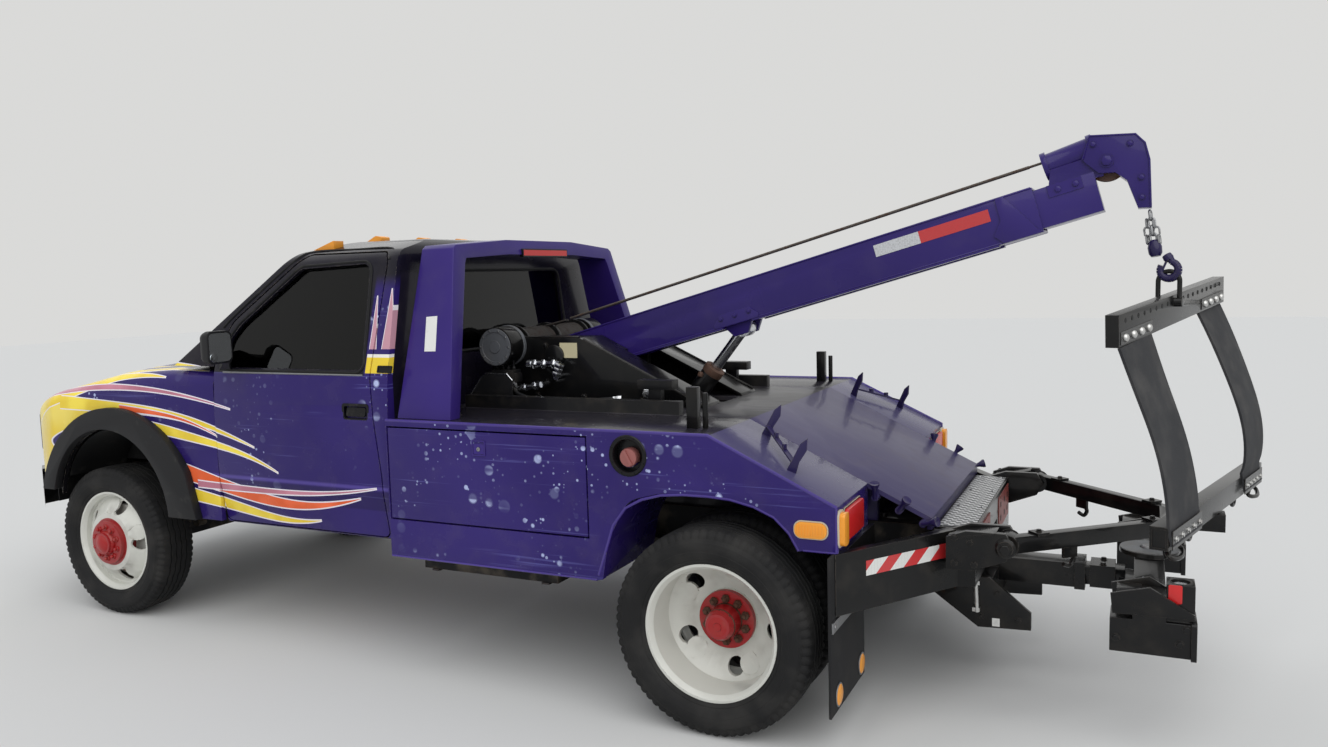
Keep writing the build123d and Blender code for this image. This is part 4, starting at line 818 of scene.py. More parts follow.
def at(point: Point, along: Point = (0, 0, 1), level: Point | None = None) -> Matrix:
    """A frame at a point whose Z runs along a direction.

    Args:
        point: The frame's origin.
        along: Its Z direction.
        level: The direction that its X leans to, or None for any.

    Returns:
        The frame as a matrix.
    """
    up = Vector(along).normalized()
    hint = Vector(level) if level is not None else Vector((1, 0, 0) if abs(up.x) < 0.9 else (0, 1, 0))
    x = (hint - up * hint.dot(up)).normalized()
    y = up.cross(x)
    turn = Matrix((x, y, up)).transposed().to_4x4()
    turn.translation = Vector(point)
    return turn


def rounded(corners: Flat, radii: float | Sequence[float], steps: int = 4) -> list[Vector]:
    """Rounds the corners of a flat outline.

    Args:
        corners: Its corners in order.
        radii: One radius, or one for each corner.
        steps: The number of steps round each corner.

    Returns:
        The rounded outline, with steps + 1 points for each corner.
    """
    sizes = [radii] * len(corners) if isinstance(radii, (int, float)) else radii
    points = [Vector(corner) for corner in corners]
    outline = []
    for i, (corner, radius) in enumerate(zip(points, sizes)):
        before, after = points[i - 1] - corner, points[(i + 1) % len(points)] - corner
        half = before.angle(after) / 2
        reach = min(radius / tan(half), 0.48 * before.length, 0.48 * after.length)
        size = reach * tan(half)
        start, end = corner + before.normalized() * reach, corner + after.normalized() * reach
        centre = corner + (before.normalized() + after.normalized()).normalized() * (size / sin(half))
        for k in range(steps + 1):
            outline.append(centre + (start.lerp(end, k / steps) - centre).normalized() * size)
    return outline


def oblong(left: float, low: float, right: float, high: float, radius: float, steps: int = 4) -> list[Vector]:
    """A rectangle between two corners, with its corners rounded."""
    return rounded(((left, low), (right, low), (right, high), (left, high)), radius, steps)


def circle(radius: float, steps: int, start: float = 0.0, sweep: float = tau) -> list[tuple[float, float]]:
    """Even points round a circle, or along an arc of it, from a starting angle."""
    angles = (start + sweep * k / steps for k in range(steps))
    return [(radius * cos(a), radius * sin(a)) for a in angles]


def widened(outline: Flat, by: float) -> list[Vector]:
    """Moves a flat outline outwards by a distance."""
    points = [Vector(point) for point in outline]
    area = sum(a.x * b.y - a.y * b.x for a, b in zip(points, points[1:] + points[:1]))
    moved = []
    for i, point in enumerate(points):
        run = (points[(i + 1) % len(points)] - points[i - 1]).normalized()
        moved.append(point + Vector((run.y, -run.x)) * copysign(by, area))
    return moved


def curved(points: Sequence[Point], steps: int = 5) -> list[Vector]:
    """Runs a smooth line through the points of a rigid line or hook.

    Args:
        points: The points in order.
        steps: The number of steps between two of them.

    Returns:
        The smooth line's points.
    """
    line = [Vector(points[0])] + [Vector(point) for point in points] + [Vector(points[-1])]
    smooth = []
    for a, b, c, d in zip(line, line[1:], line[2:], line[3:]):
        for k in range(steps):
            t = k / steps
            smooth.append((b * 2 + (c - a) * t + (a * 2 - b * 5 + c * 4 - d) * t ** 2 + (b * 3 - a - c * 3 + d)
                           * t ** 3) / 2)
    return smooth + [line[-1]]


def tapered(point: Vector) -> Vector:
    """Draws a point of the nose inwards, more so towards the front.

    Args:
        point: A point of the hood, the fenders, the grille or the lamps.

    Returns:
        The point as the photograph's narrower nose has it.
    """
    start, end, share = NOSE_TAPER
    reach = min(1.0, max(0.0, (point.x - start) / (end - start)))
    return Vector((point.x, point.y * (1.0 - share * reach ** 1.4), point.z))


def swept(point: Vector) -> Vector:
    """Cuts a point of the bumper back to the slanted line of its ends."""
    reach, slope = BUMPER_LINE
    limit = reach - slope * point.x
    return Vector((point.x, max(-limit, min(limit, point.y)), point.z))


def squared(point: Vector) -> Vector:
    """Squares the upper corners of the guard behind the cab."""
    across, height = abs(point.y), point.z
    if 0.59 < across < 0.61 and height > 1.85:
        across, height = 0.7, 1.856
    elif 0.55 < across < 0.57 and 1.78 < height < 1.82:
        across, height = 0.64, 1.797
    return Vector((point.x, copysign(across, point.y), height))


def turned(axle_x: float, angle: float) -> Callable[[Vector], Vector]:
    """A rule that turns a wheel to the photograph's angle and widens its hand holes.

    Args:
        axle_x: The axle's place along the truck.
        angle: The turn about the axle, in radians.

    Returns:
        The rule for one point.
    """
    spin = Matrix.Rotation(angle, 3, "Y")

    def move(point: Vector) -> Vector:
        spot = Vector((point.x - axle_x, 0.0, point.z - WHEEL_Z))
        for k in range(5):
            hole = Vector((cos(tau * k / 5), 0.0, sin(tau * k / 5))) * 0.1865
            if 0.02 < (spot - hole).length < 0.036:
                spot = hole + (spot - hole).normalized() * 0.0405
        spot = spin @ spot
        return Vector((axle_x + spot.x, point.y, WHEEL_Z + spot.z))

    return move


class Shape:
    """A mesh that is gathered from simple forms and then becomes one piece."""

    def __init__(self) -> None:
        """Starts empty, with the first finish."""
        self.mesh = bmesh.new()
        self.finish = 0

    def face(self, verts: Iterable[bmesh.types.BMVert]) -> None:
        """Adds one face in the current finish."""
        made = self.mesh.faces.new(list(verts))
        made.material_index = self.finish

    def ring(self, outline: Flat, axis: Along, level: float, place: Matrix | None) -> list[bmesh.types.BMVert]:
        """Adds the corners of a flat outline at one level of an axis."""
        spots = []
        for corner in outline:
            spot = list(corner)
            spot.insert(axis.value, level)
            spots.append(place @ Vector(spot) if place else Vector(spot))
        return [self.mesh.verts.new(spot) for spot in spots]

    def band(self, near: Sequence[bmesh.types.BMVert], far: Sequence[bmesh.types.BMVert], shift: int = 0) -> None:
        """Joins two closed rings with equal counts."""
        count = len(near)
        for i in range(count):
            self.face((near[i], near[(i + 1) % count], far[(i + 1 + shift) % count], far[(i + shift) % count]))

    def skin(self, rings: Sequence[Sequence[bmesh.types.BMVert]]) -> None:
        """Joins rings in their order and closes both ends."""
        for near, far in zip(rings, rings[1:]):
            self.band(near, far)
        self.face(reversed(rings[0]))
        self.face(rings[-1])

    def prism(self, outline: Flat, axis: Along, low: float, high: float, place: Matrix | None = None) -> None:
        """Extrudes a flat outline.

        Args:
            outline: Corners in the plane of the other two axes, in their order.
            axis: The axis to extrude along.
            low: Where the extrusion starts.
            high: Where it ends.
            place: The frame that it is drawn in, or None for the truck's.
        """
        self.skin([self.ring(outline, axis, level, place) for level in (low, high)])

    def box(self, low: Point, high: Point, place: Matrix | None = None) -> None:
        """Adds a box between two corners."""
        outline = [(low[0], low[1]), (high[0], low[1]), (high[0], high[1]), (low[0], high[1])]
        self.prism(outline, Along.Z, low[2], high[2], place)

    def lathe(self, profile: Flat, segments: int, place: Matrix, twist: float = 0.0) -> None:
        """Turns a profile of (radius, height) about the frame's Z.

        Args:
            profile: The outline from one end to the other. A radius of 0 closes it.
            segments: The number of steps round.
            place: The frame.
            twist: The angle that the first step starts at.
        """
        rings = []
        for radius, height in profile:
            count = 1 if radius < 1e-7 else segments
            rings.append([self.mesh.verts.new(place @ Vector((
                radius * cos(twist + tau * i / segments), radius * sin(twist + tau * i / segments),
                height))) for i in range(count)])
        for near, far in zip(rings, rings[1:]):
            for i in range(segments):
                loop = [near[i % len(near)], near[(i + 1) % len(near)], far[(i + 1) % len(far)], far[i % len(far)]]
                unique = [v for k, v in enumerate(loop) if v not in loop[:k]]
                if len(unique) > 2:
                    self.face(unique)

    def tube(self, points: Sequence[Point], radius: float, sides: int = 10, closed: bool = False) -> None:
        """Sweeps a round section along some points.

        Args:
            points: The centreline.
            radius: The tube's radius.
            sides: The number of its sides.
            closed: Whether the line returns to its start.
        """
        line = [Vector(p) for p in points]
        count = len(line)
        normal, rings = None, []
        for i, spot in enumerate(line):
            before = line[(i - 1) % count] if closed or i else spot
            after = line[(i + 1) % count] if closed or i < count - 1 else spot
            run = (after - before).normalized()
            if normal is None:
                normal = run.orthogonal().normalized()
            normal = (normal - run * normal.dot(run)).normalized()
            other = run.cross(normal)
            rings.append([self.mesh.verts.new(spot + (normal * cos(a) + other * sin(a)) * radius)
                          for a in (tau * k / sides for k in range(sides))])
        for i in range(count if closed else count - 1):
            near, far = rings[i], rings[(i + 1) % count]
            shift = 0
            if closed and i == count - 1:
                shift = min(range(sides), key=lambda s: (near[0].co - far[s].co).length)
            self.band(near, far, shift)
        if not closed:
            self.face(reversed(rings[0]))
            self.face(rings[-1])

    def bolt(self, point: Point, along: Point, size: float = 0.012, washer: bool = True) -> None:
        """Adds a bolt's head, with a washer under it.

        Args:
            point: Where it stands.
            along: The way that it points.
            size: The head's radius.
            washer: Whether it has a washer.
        """
        frame = at(point, along)
        start = 0.0
        if washer:
            self.lathe([(0, -0.001), (size * 1.35, -0.001), (size * 1.35, size * 0.18), (0, size * 0.18)], 16, frame)
            start = size * 0.18
        top = start + size * 0.75
        self.lathe([(0, start), (size, start), (size, top * 0.9), (size * 0.86, top), (0, top)], 6, frame)

    def rim(self, outer: Flat, inner: Flat, axis: Along, low: float, high: float,
            place: Matrix | None = None) -> None:
        """Extrudes the frame between two flat outlines.

        Args:
            outer: The outer outline, as for a prism.
            inner: The inner one, with as many corners.
            axis: The axis to extrude along.
            low: Where the extrusion starts.
            high: Where it ends.
            place: The frame that it is drawn in, or None for the truck's.
        """
        levels = ((outer, low), (inner, low), (inner, high), (outer, high))
        rings = [self.ring(outline, axis, level, place) for outline, level in levels]
        for near, far in zip(rings, rings[1:] + rings[:1]):
            self.band(near, far)

    def loft(self, rings: Sequence[Sequence[Point]]) -> None:
        """Skins a closed form over rings with equal counts, and closes both ends."""
        self.skin([[self.mesh.verts.new(Vector(point)) for point in ring] for ring in rings])

    def plate(self, points: Sequence[Point], out: Point, thick: float, sink: float = 0.001) -> None:
        """Lays a thin plate on a surface.

        Args:
            points: Its corners on the surface.
            out: The way that the surface faces.
            thick: How far it stands out.
            sink: How far it reaches below the surface.
        """
        push = Vector(out).normalized()
        self.loft([[Vector(point) - push * sink for point in points],
                   [Vector(point) + push * thick for point in points]])

    def both(self) -> "Shape":
        """Adds the mirror image on the truck's other side."""
        made = bmesh.ops.duplicate(self.mesh,
                                   geom=self.mesh.verts[:] + self.mesh.edges[:] + self.mesh.faces[:])["geom"]
        for vert in (item for item in made if isinstance(item, bmesh.types.BMVert)):
            vert.co.y = -vert.co.y
        bmesh.ops.reverse_faces(self.mesh, faces=[item for item in made if isinstance(item, bmesh.types.BMFace)])
        return self

    def flip(self, side: Side) -> "Shape":
        """Moves what was drawn on the left to the given side."""
        if side is Side.RIGHT:
            for vert in self.mesh.verts:
                vert.co.y = -vert.co.y
            bmesh.ops.reverse_faces(self.mesh, faces=self.mesh.faces[:])
        return self

    def bend(self, move: Callable[[Vector], Vector]) -> None:
        """Moves every point by a rule."""
        for vert in self.mesh.verts:
            vert.co = move(vert.co)

    def soften(self, width: float, angle: float = 32.0) -> None:
        """Bevels the edges that are sharper than an angle.

        Args:
            width: The bevel's width in metres.
            angle: The smallest angle between two faces, in degrees.
        """
        limit = radians(angle)
        edges = [e for e in self.mesh.edges if len(e.link_faces) == 2 and e.calc_face_angle(0.0) > limit]
        bmesh.ops.bevel(self.mesh, geom=edges, offset=width, segments=2, profile=0.6, affect="EDGES",
                        clamp_overlap=True, harden_normals=False)


@dataclass
class Dresser:
    """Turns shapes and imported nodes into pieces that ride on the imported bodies."""

    frame: dict
    made: list[str] = field(default_factory=list)
    trees: dict[str, BVHTree] = field(default_factory=dict)

    def touch(self, nodes: Sequence[str], start: Point, run: Point) -> tuple[Vector, Vector]:
        """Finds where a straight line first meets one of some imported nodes.

        Args:
            nodes: The nodes.
            start: Where the line starts.
            run: Its direction.

        Returns:
            The point, and the surface's direction there, towards the line's start.
        """
        hits = []
        for node in nodes:
            if node not in self.trees:
                data = self.frame["nodes"][node].data
                self.trees[node] = BVHTree.FromPolygons([v.co.copy() for v in data.vertices],
                                                        [list(f.vertices) for f in data.polygons])
            spot, normal, _, away = self.trees[node].ray_cast(Vector(start), Vector(run))
            if spot is not None:
                hits.append((away, spot, normal))
        if not hits:
            raise ValueError(f"no surface of {nodes} from {tuple(start)}")
        _, spot, normal = min(hits, key=lambda hit: hit[0])
        return spot, (normal if normal.dot(Vector(run)) < 0 else -normal)

    def beside(self, nodes: Sequence[str], side: Side, x: float, z: float) -> tuple[Vector, Vector]:
        """Finds where some nodes are first met from beside the truck, as touch does."""
        return self.touch(nodes, (x, 1.3 * side.value, z), (0, -side.value, 0))

    def body_of(self, node: str) -> str:
        """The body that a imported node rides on."""
        groups = self.frame["record"]["behaviour"]["bodies"]
        return next(body for body, members in groups.items() if node in members)

    def slot_of(self, node: str) -> str:
        """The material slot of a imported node."""
        return next(part["material_slot"] for part in self.frame["record"]["subparts"] if part["node"] == node)

    def piece(self, name: str, shape: Shape, body: str, slot: str, finishes: Sequence[Finish],
              soft: float = 0.0, smooth: float = 38.0) -> bpy.types.Object:
        """Makes one piece.

        Args:
            name: Its name.
            shape: Its mesh.
            body: The body that it rides on.
            slot: Its material slot in the record; not used.
            finishes: Its finishes, in the order of the shape's numbers.
            soft: The bevel on its sharp edges, in metres.
            smooth: The angle up to which its faces are shaded as one, in degrees.

        Returns:
            The new object.
        """
        if soft:
            shape.soften(soft)
        bmesh.ops.recalc_face_normals(shape.mesh, faces=shape.mesh.faces)
        data = bpy.data.meshes.new(name)
        shape.mesh.to_mesh(data)
        shape.mesh.free()
        made = bpy.data.objects.new(name, data)
        bpy.context.scene.collection.objects.link(made)
        for finish in finishes:
            data.materials.append(finish.material())
        data.polygons.foreach_set("use_smooth", [True] * len(data.polygons))
        data.set_sharp_from_angle(angle=radians(smooth))
        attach(made, body)
        self.made.append(name)
        LOG.info("%s rides on %s, %d faces", name, body, len(data.polygons))
        return made

    def refine(self, node: str, finish: Finish, soft: float = 0.0, smooth: float = 32.0,
               move: Callable[[Vector], Vector] | None = None, cuts: Sequence[float] = ()) -> bpy.types.Object:
        """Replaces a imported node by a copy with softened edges.

        Args:
            node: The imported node.
            finish: The copy's finish.
            soft: The bevel on its sharp edges, in metres.
            smooth: The angle up to which its faces are shaded as one, in degrees.
            move: A rule that moves its points, or None.
            cuts: Places along the truck where its faces are divided before they move.

        Returns:
            The copy.
        """
        shape = Shape()
        shape.mesh.from_mesh(self.frame["nodes"][node].data)
        for face in shape.mesh.faces:
            face.material_index = 0
        bmesh.ops.remove_doubles(shape.mesh, verts=shape.mesh.verts, dist=2e-5)
        for cut in cuts:
            whole = shape.mesh.verts[:] + shape.mesh.edges[:] + shape.mesh.faces[:]
            bmesh.ops.bisect_plane(shape.mesh, geom=whole, plane_co=(cut, 0, 0), plane_no=(1, 0, 0))
        if move is not None:
            shape.bend(move)
        if soft:
            bmesh.ops.dissolve_limit(shape.mesh, angle_limit=radians(0.6), verts=shape.mesh.verts,
                                     edges=shape.mesh.edges)
        made = self.piece(f"{node}_dressed", shape, self.body_of(node), self.slot_of(node), [finish], soft, smooth)
        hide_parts(node)
        return made

    def coat(self, node: str, finish: Finish) -> None:
        """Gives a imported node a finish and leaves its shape."""
        target = self.frame["nodes"][node]
        if not target.data.materials:
            target.data.materials.append(None)
        for place in target.material_slots:
            place.link = "OBJECT"
            place.material = finish.material()
        LOG.info("%s keeps its shape, in %s", node, finish.name)


@dataclass
class Tyre:
    """A road tyre with five ribs, zigzag grooves and shoulder blocks."""

    steps: int = 216
    ribs: tuple[float, ...] = (-0.0455, -0.015, 0.015, 0.0455)
    groove: float = 0.0042
    depth: float = 0.01

    def profile(self) -> list[tuple[float, float]]:
        """The section as (radius, offset across), from one bead to the other."""
        wall = [(0.2505, 0.08), (0.2625, 0.084), (0.268, 0.0905), (0.2735, 0.0935), (0.276, 0.0925),
                (0.279, 0.0965), (0.292, 0.1045), (0.31, 0.1108), (0.3125, 0.11), (0.315, 0.1112), (0.332, 0.1112),
                (0.345, 0.1085), (0.347, 0.1065), (0.356, 0.1035), (0.3575, 0.1015), (0.368, 0.0985),
                (0.3765, 0.0945), (0.3815, 0.089)]
        tread = [(0.3862, 0.082)]
        edges = []
        for middle in sorted(self.ribs, reverse=True):
            edges += [(0.0, middle + self.groove), (self.depth, middle + self.groove * 0.6),
                      (self.depth, middle - self.groove * 0.6), (0.0, middle - self.groove)]
        crown = lambda y: 0.3896 - 0.9 * (y * y) * 0.5
        tread += [(crown(y) - drop, y) for drop, y in edges]
        left = wall + tread
        return left + [(0.3862, -0.082)] + [(r, -y) for r, y in reversed(wall)]

    def add(self, shape: Shape, axle_x: float, middle: float) -> None:
        """Adds one tyre.

        Args:
            shape: The shape to add it to.
            axle_x: The axle's place along the truck.
            middle: The tyre's middle across the truck.
        """
        section = self.profile()
        rings = []
        for i in range(self.steps):
            angle = tau * i / self.steps
            sway = 0.0018 if (i // 3) % 2 else -0.0018
            notch = i % 3 == 0
            ring = []
            for radius, across in section:
                if abs(across) < 0.052 and radius > 0.37:
                    across += sway
                elif 0.0975 < abs(across) < 0.104 and radius > 0.35 and notch:
                    across -= copysign(0.005, across)
                elif 0.08 < abs(across) < 0.0975 and radius > 0.37 and notch:
                    radius -= 0.005
                    across -= copysign(0.003, across)
                ring.append(shape.mesh.verts.new((axle_x + radius * cos(angle), middle + across,
                                                  WHEEL_Z + radius * sin(angle))))
            rings.append(ring)
        for i in range(self.steps):
            near, far = rings[i], rings[(i + 1) % self.steps]
            for k in range(len(section) - 1):
                shape.face((near[k], near[k + 1], far[k + 1], far[k]))

    def build(self, dresser: Dresser) -> None:
        """Makes the tyres of all four corners."""
        for side in Side:
            for node, axle_x, middles in ((f"front_tyre_{side.word}", FRONT_AXLE_X, (0.837,)),
                                          (f"rear_tyres_{side.word}", REAR_AXLE_X, (0.715, 0.976))):
                shape = Shape()
                for middle in middles:
                    self.add(shape, axle_x, side.value * middle)
                made = dresser.piece(f"{node}_dressed", shape, dresser.body_of(node), "tyre", [TYRE_RUBBER],
                                     0.0, 28.0)
                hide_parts(node)


@dataclass
class Wheel:
    """The steel wheels with their nuts and hubs."""

    nuts: int = 10
    circle: float = 0.0825

    def hub(self, shape: Shape, side: Side, axle_x: float, face: float, cap: Flat, stud: float = 0.029) -> None:
        """Adds a ring of nuts and a cap.

        Args:
            shape: The shape to add them to.
            side: The truck's side.
            axle_x: The axle's place along the truck.
            face: How far out the nuts stand.
            cap: The cap's profile as (radius, distance from the truck's middle).
            stud: How far a stud stands out of the wheel.
        """
        out = Vector((0, side.value, 0))
        centre = Vector((axle_x, 0, WHEEL_Z))
        nut = stud - 0.011
        shape.finish = 1
        for across, up in circle(self.circle, self.nuts, pi / self.nuts):
            frame = at(centre + Vector((across, 0, up)) + out * face, out)
            shape.lathe([(0, -0.002), (0.0165, -0.002), (0.0165, nut - 0.004), (0.014, nut), (0.0085, nut)], 6, frame)
            shape.lathe([(0.0085, 0.0), (0.0085, stud - 0.003), (0.006, stud), (0, stud)], 10, frame)
        shape.finish = 0
        shape.lathe([(r, h) for r, h in cap], 40, at(centre, out))

    def build(self, dresser: Dresser) -> None:
        """Dresses the four wheels."""
        front, rear = WheelEnamel("front_wheel_enamel"), WheelEnamel("rear_wheel_enamel", REAR_AXLE_X)
        for side in Side:
            for node, finish, rule in ((f"front_wheel_{side.word}", front, turned(FRONT_AXLE_X, radians(-18.0))),
                                       (f"rear_wheels_{side.word}", rear, turned(REAR_AXLE_X, radians(-27.0)))):
                dresser.refine(node, finish, 0.0025, 30.0, rule)
            shape = Shape()
            dome = [(0.064, 0.957), (0.064, 0.963), (0.061, 0.97), (0.054, 0.98), (0.042, 0.989),
                    (0.024, 0.996), (0, 0.999)]
            self.hub(shape, side, FRONT_AXLE_X, 0.957, dome, 0.02)
            for axle_x, level, body in ((FRONT_AXLE_X, 0.835, "front_wheel"), (REAR_AXLE_X, 0.78, "rear_wheels")):
                # Painted shade: a dark disc inside each wheel that shows black through its hand holes.
                dark = Shape()
                dark.lathe([(0.072, level), (0.222, level), (0.222, level + 0.003), (0.12, level + 0.006),
                            (0.072, level + 0.003),
                            (0.072, level)], 48, at((axle_x, 0, WHEEL_Z), (0, side.value, 0)))
                dresser.piece(f"{body}_shade_{side.word}", dark, f"{body}_{side.word}", "frame_black",
                              [CHASSIS_BLACK])
            dresser.piece(f"front_hub_{side.word}", shape, f"front_wheel_{side.word}", "wheel_white",
                          [RED_ENAMEL, RED_ENAMEL])
            centre, out = Vector((REAR_AXLE_X, 0, WHEEL_Z)), Vector((0, side.value, 0))
            nuts, drum = Shape(), Shape()
            self.hub(nuts, side, REAR_AXLE_X, 0.89,
                     [(0.112, 0.8895), (0.112, 0.8925), (0.064, 0.8925), (0.064, 0.889)])
            dresser.piece(f"rear_nuts_{side.word}", nuts, f"rear_wheels_{side.word}", "wheel_white",
                          [RED_ENAMEL, DRUM_BROWN])
            drum.lathe([(0.0645, 0.8895), (0.0645, 0.902), (0.0585, 0.91), (0.0585, 0.952), (0.061, 0.956),
                        (0.061, 0.962), (0.05, 0.9625)], 40, at(centre, out))
            for across, up in circle(0.0545, 8):
                drum.bolt(centre + Vector((across, side.value * 0.9622, up)), out, 0.0048, False)
            drum.finish = 1
            drum.lathe([(0.0485, 0.961), (0.0485, 0.97), (0.045, 0.976), (0.044, 0.9835), (0.038, 0.985),
                        (0.016, 0.9852), (0.015, 0.9875), (0, 0.9875)], 40, at(centre, out))
            dresser.piece(f"rear_hub_{side.word}", drum, f"rear_wheels_{side.word}", "wheel_white",
                          [DRUM_BROWN, RED_ENAMEL])


@dataclass
class Plain:
    """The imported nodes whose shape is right, each with its finish and the bevel of its edges."""

    soft: tuple[tuple[str, Finish, float], ...] = (
        ("cab_shell", LIVERY, 0.004), ("door_left", LIVERY, 0.003), ("door_right", LIVERY, 0.003),
        ("wheel_flares", BLACK_PLASTIC, 0.006), ("body_side_left", BODY_PAINT, 0.006),
        ("body_side_right", BODY_PAINT, 0.006), ("tool_door_left", BODY_PAINT, 0.003),
        ("tool_door_right", BODY_PAINT, 0.003), ("deck", DECK_PAINT, 0.004),
        ("rear_frame", BLACK_GLOSS, 0.003), ("mast_frame", BLACK_GLOSS, 0.003), ("winch", BLACK_GLOSS, 0.004),
        ("boom_outer", PLAIN_PAINT, 0.003), ("boom_inner", PLAIN_PAINT, 0.003), ("lever_posts", BLACK_GLOSS, 0.002),
        ("boom_cylinder", BLACK_GLOSS, 0.003), ("boom_rod", CHROME, 0.002), ("sling_arms", BLACK_GLOSS, 0.004),
        ("sling_pivot", BLACK_GLOSS, 0.003), ("sling_bars", BLACK_GLOSS, 0.004), ("lift_arm", BLACK_GLOSS, 0.003),
        ("lift_slide", BLACK_GLOSS, 0.003), ("lift_crossbar", BLACK_GLOSS, 0.004),
        ("cab_marker_lamps", AMBER_LENS, 0.004), ("dashboard", BLACK_PLASTIC, 0.006),
        ("mud_flaps", FLAP_RUBBER, 0.002),
    )
    nose: tuple[tuple[str, Finish, float], ...] = (
        ("hood", LIVERY, 0.004), ("fender_left", LIVERY, 0.004), ("fender_right", LIVERY, 0.004),
        ("grille", BLACK_PLASTIC, 0.003),
    )
    kept: tuple[tuple[str, Finish], ...] = (
        ("chassis_frame", CHASSIS_BLACK), ("engine_block", CASTING), ("driveline", CASTING),
        ("front_axle", CHASSIS_BLACK), ("rear_axle", CHASSIS_BLACK), ("leaf_springs", CHASSIS_BLACK),
        ("fuel_tank", CHASSIS_BLACK), ("knuckle_left", CHASSIS_BLACK), ("knuckle_right", CHASSIS_BLACK),
        ("cab_glass", GLASS), ("door_glass_left", GLASS), ("door_glass_right", GLASS),
    )

    def build(self, dresser: Dresser) -> None:
        """Dresses every node in the tables."""
        for node, finish, width in self.soft:
            dresser.refine(node, finish, width)
        for node, finish, width in self.nose:
            dresser.refine(node, finish, width, move=tapered, cuts=(2.62, 2.68, 2.74, 2.8, 2.86, 2.91))
        dresser.refine("front_bumper", BLACK_GLOSS, 0.004, move=swept)
        dresser.refine("cab_guard", GUARD_PAINT, 0.005, move=squared)
        for node, finish in self.kept:
            dresser.coat(node, finish)


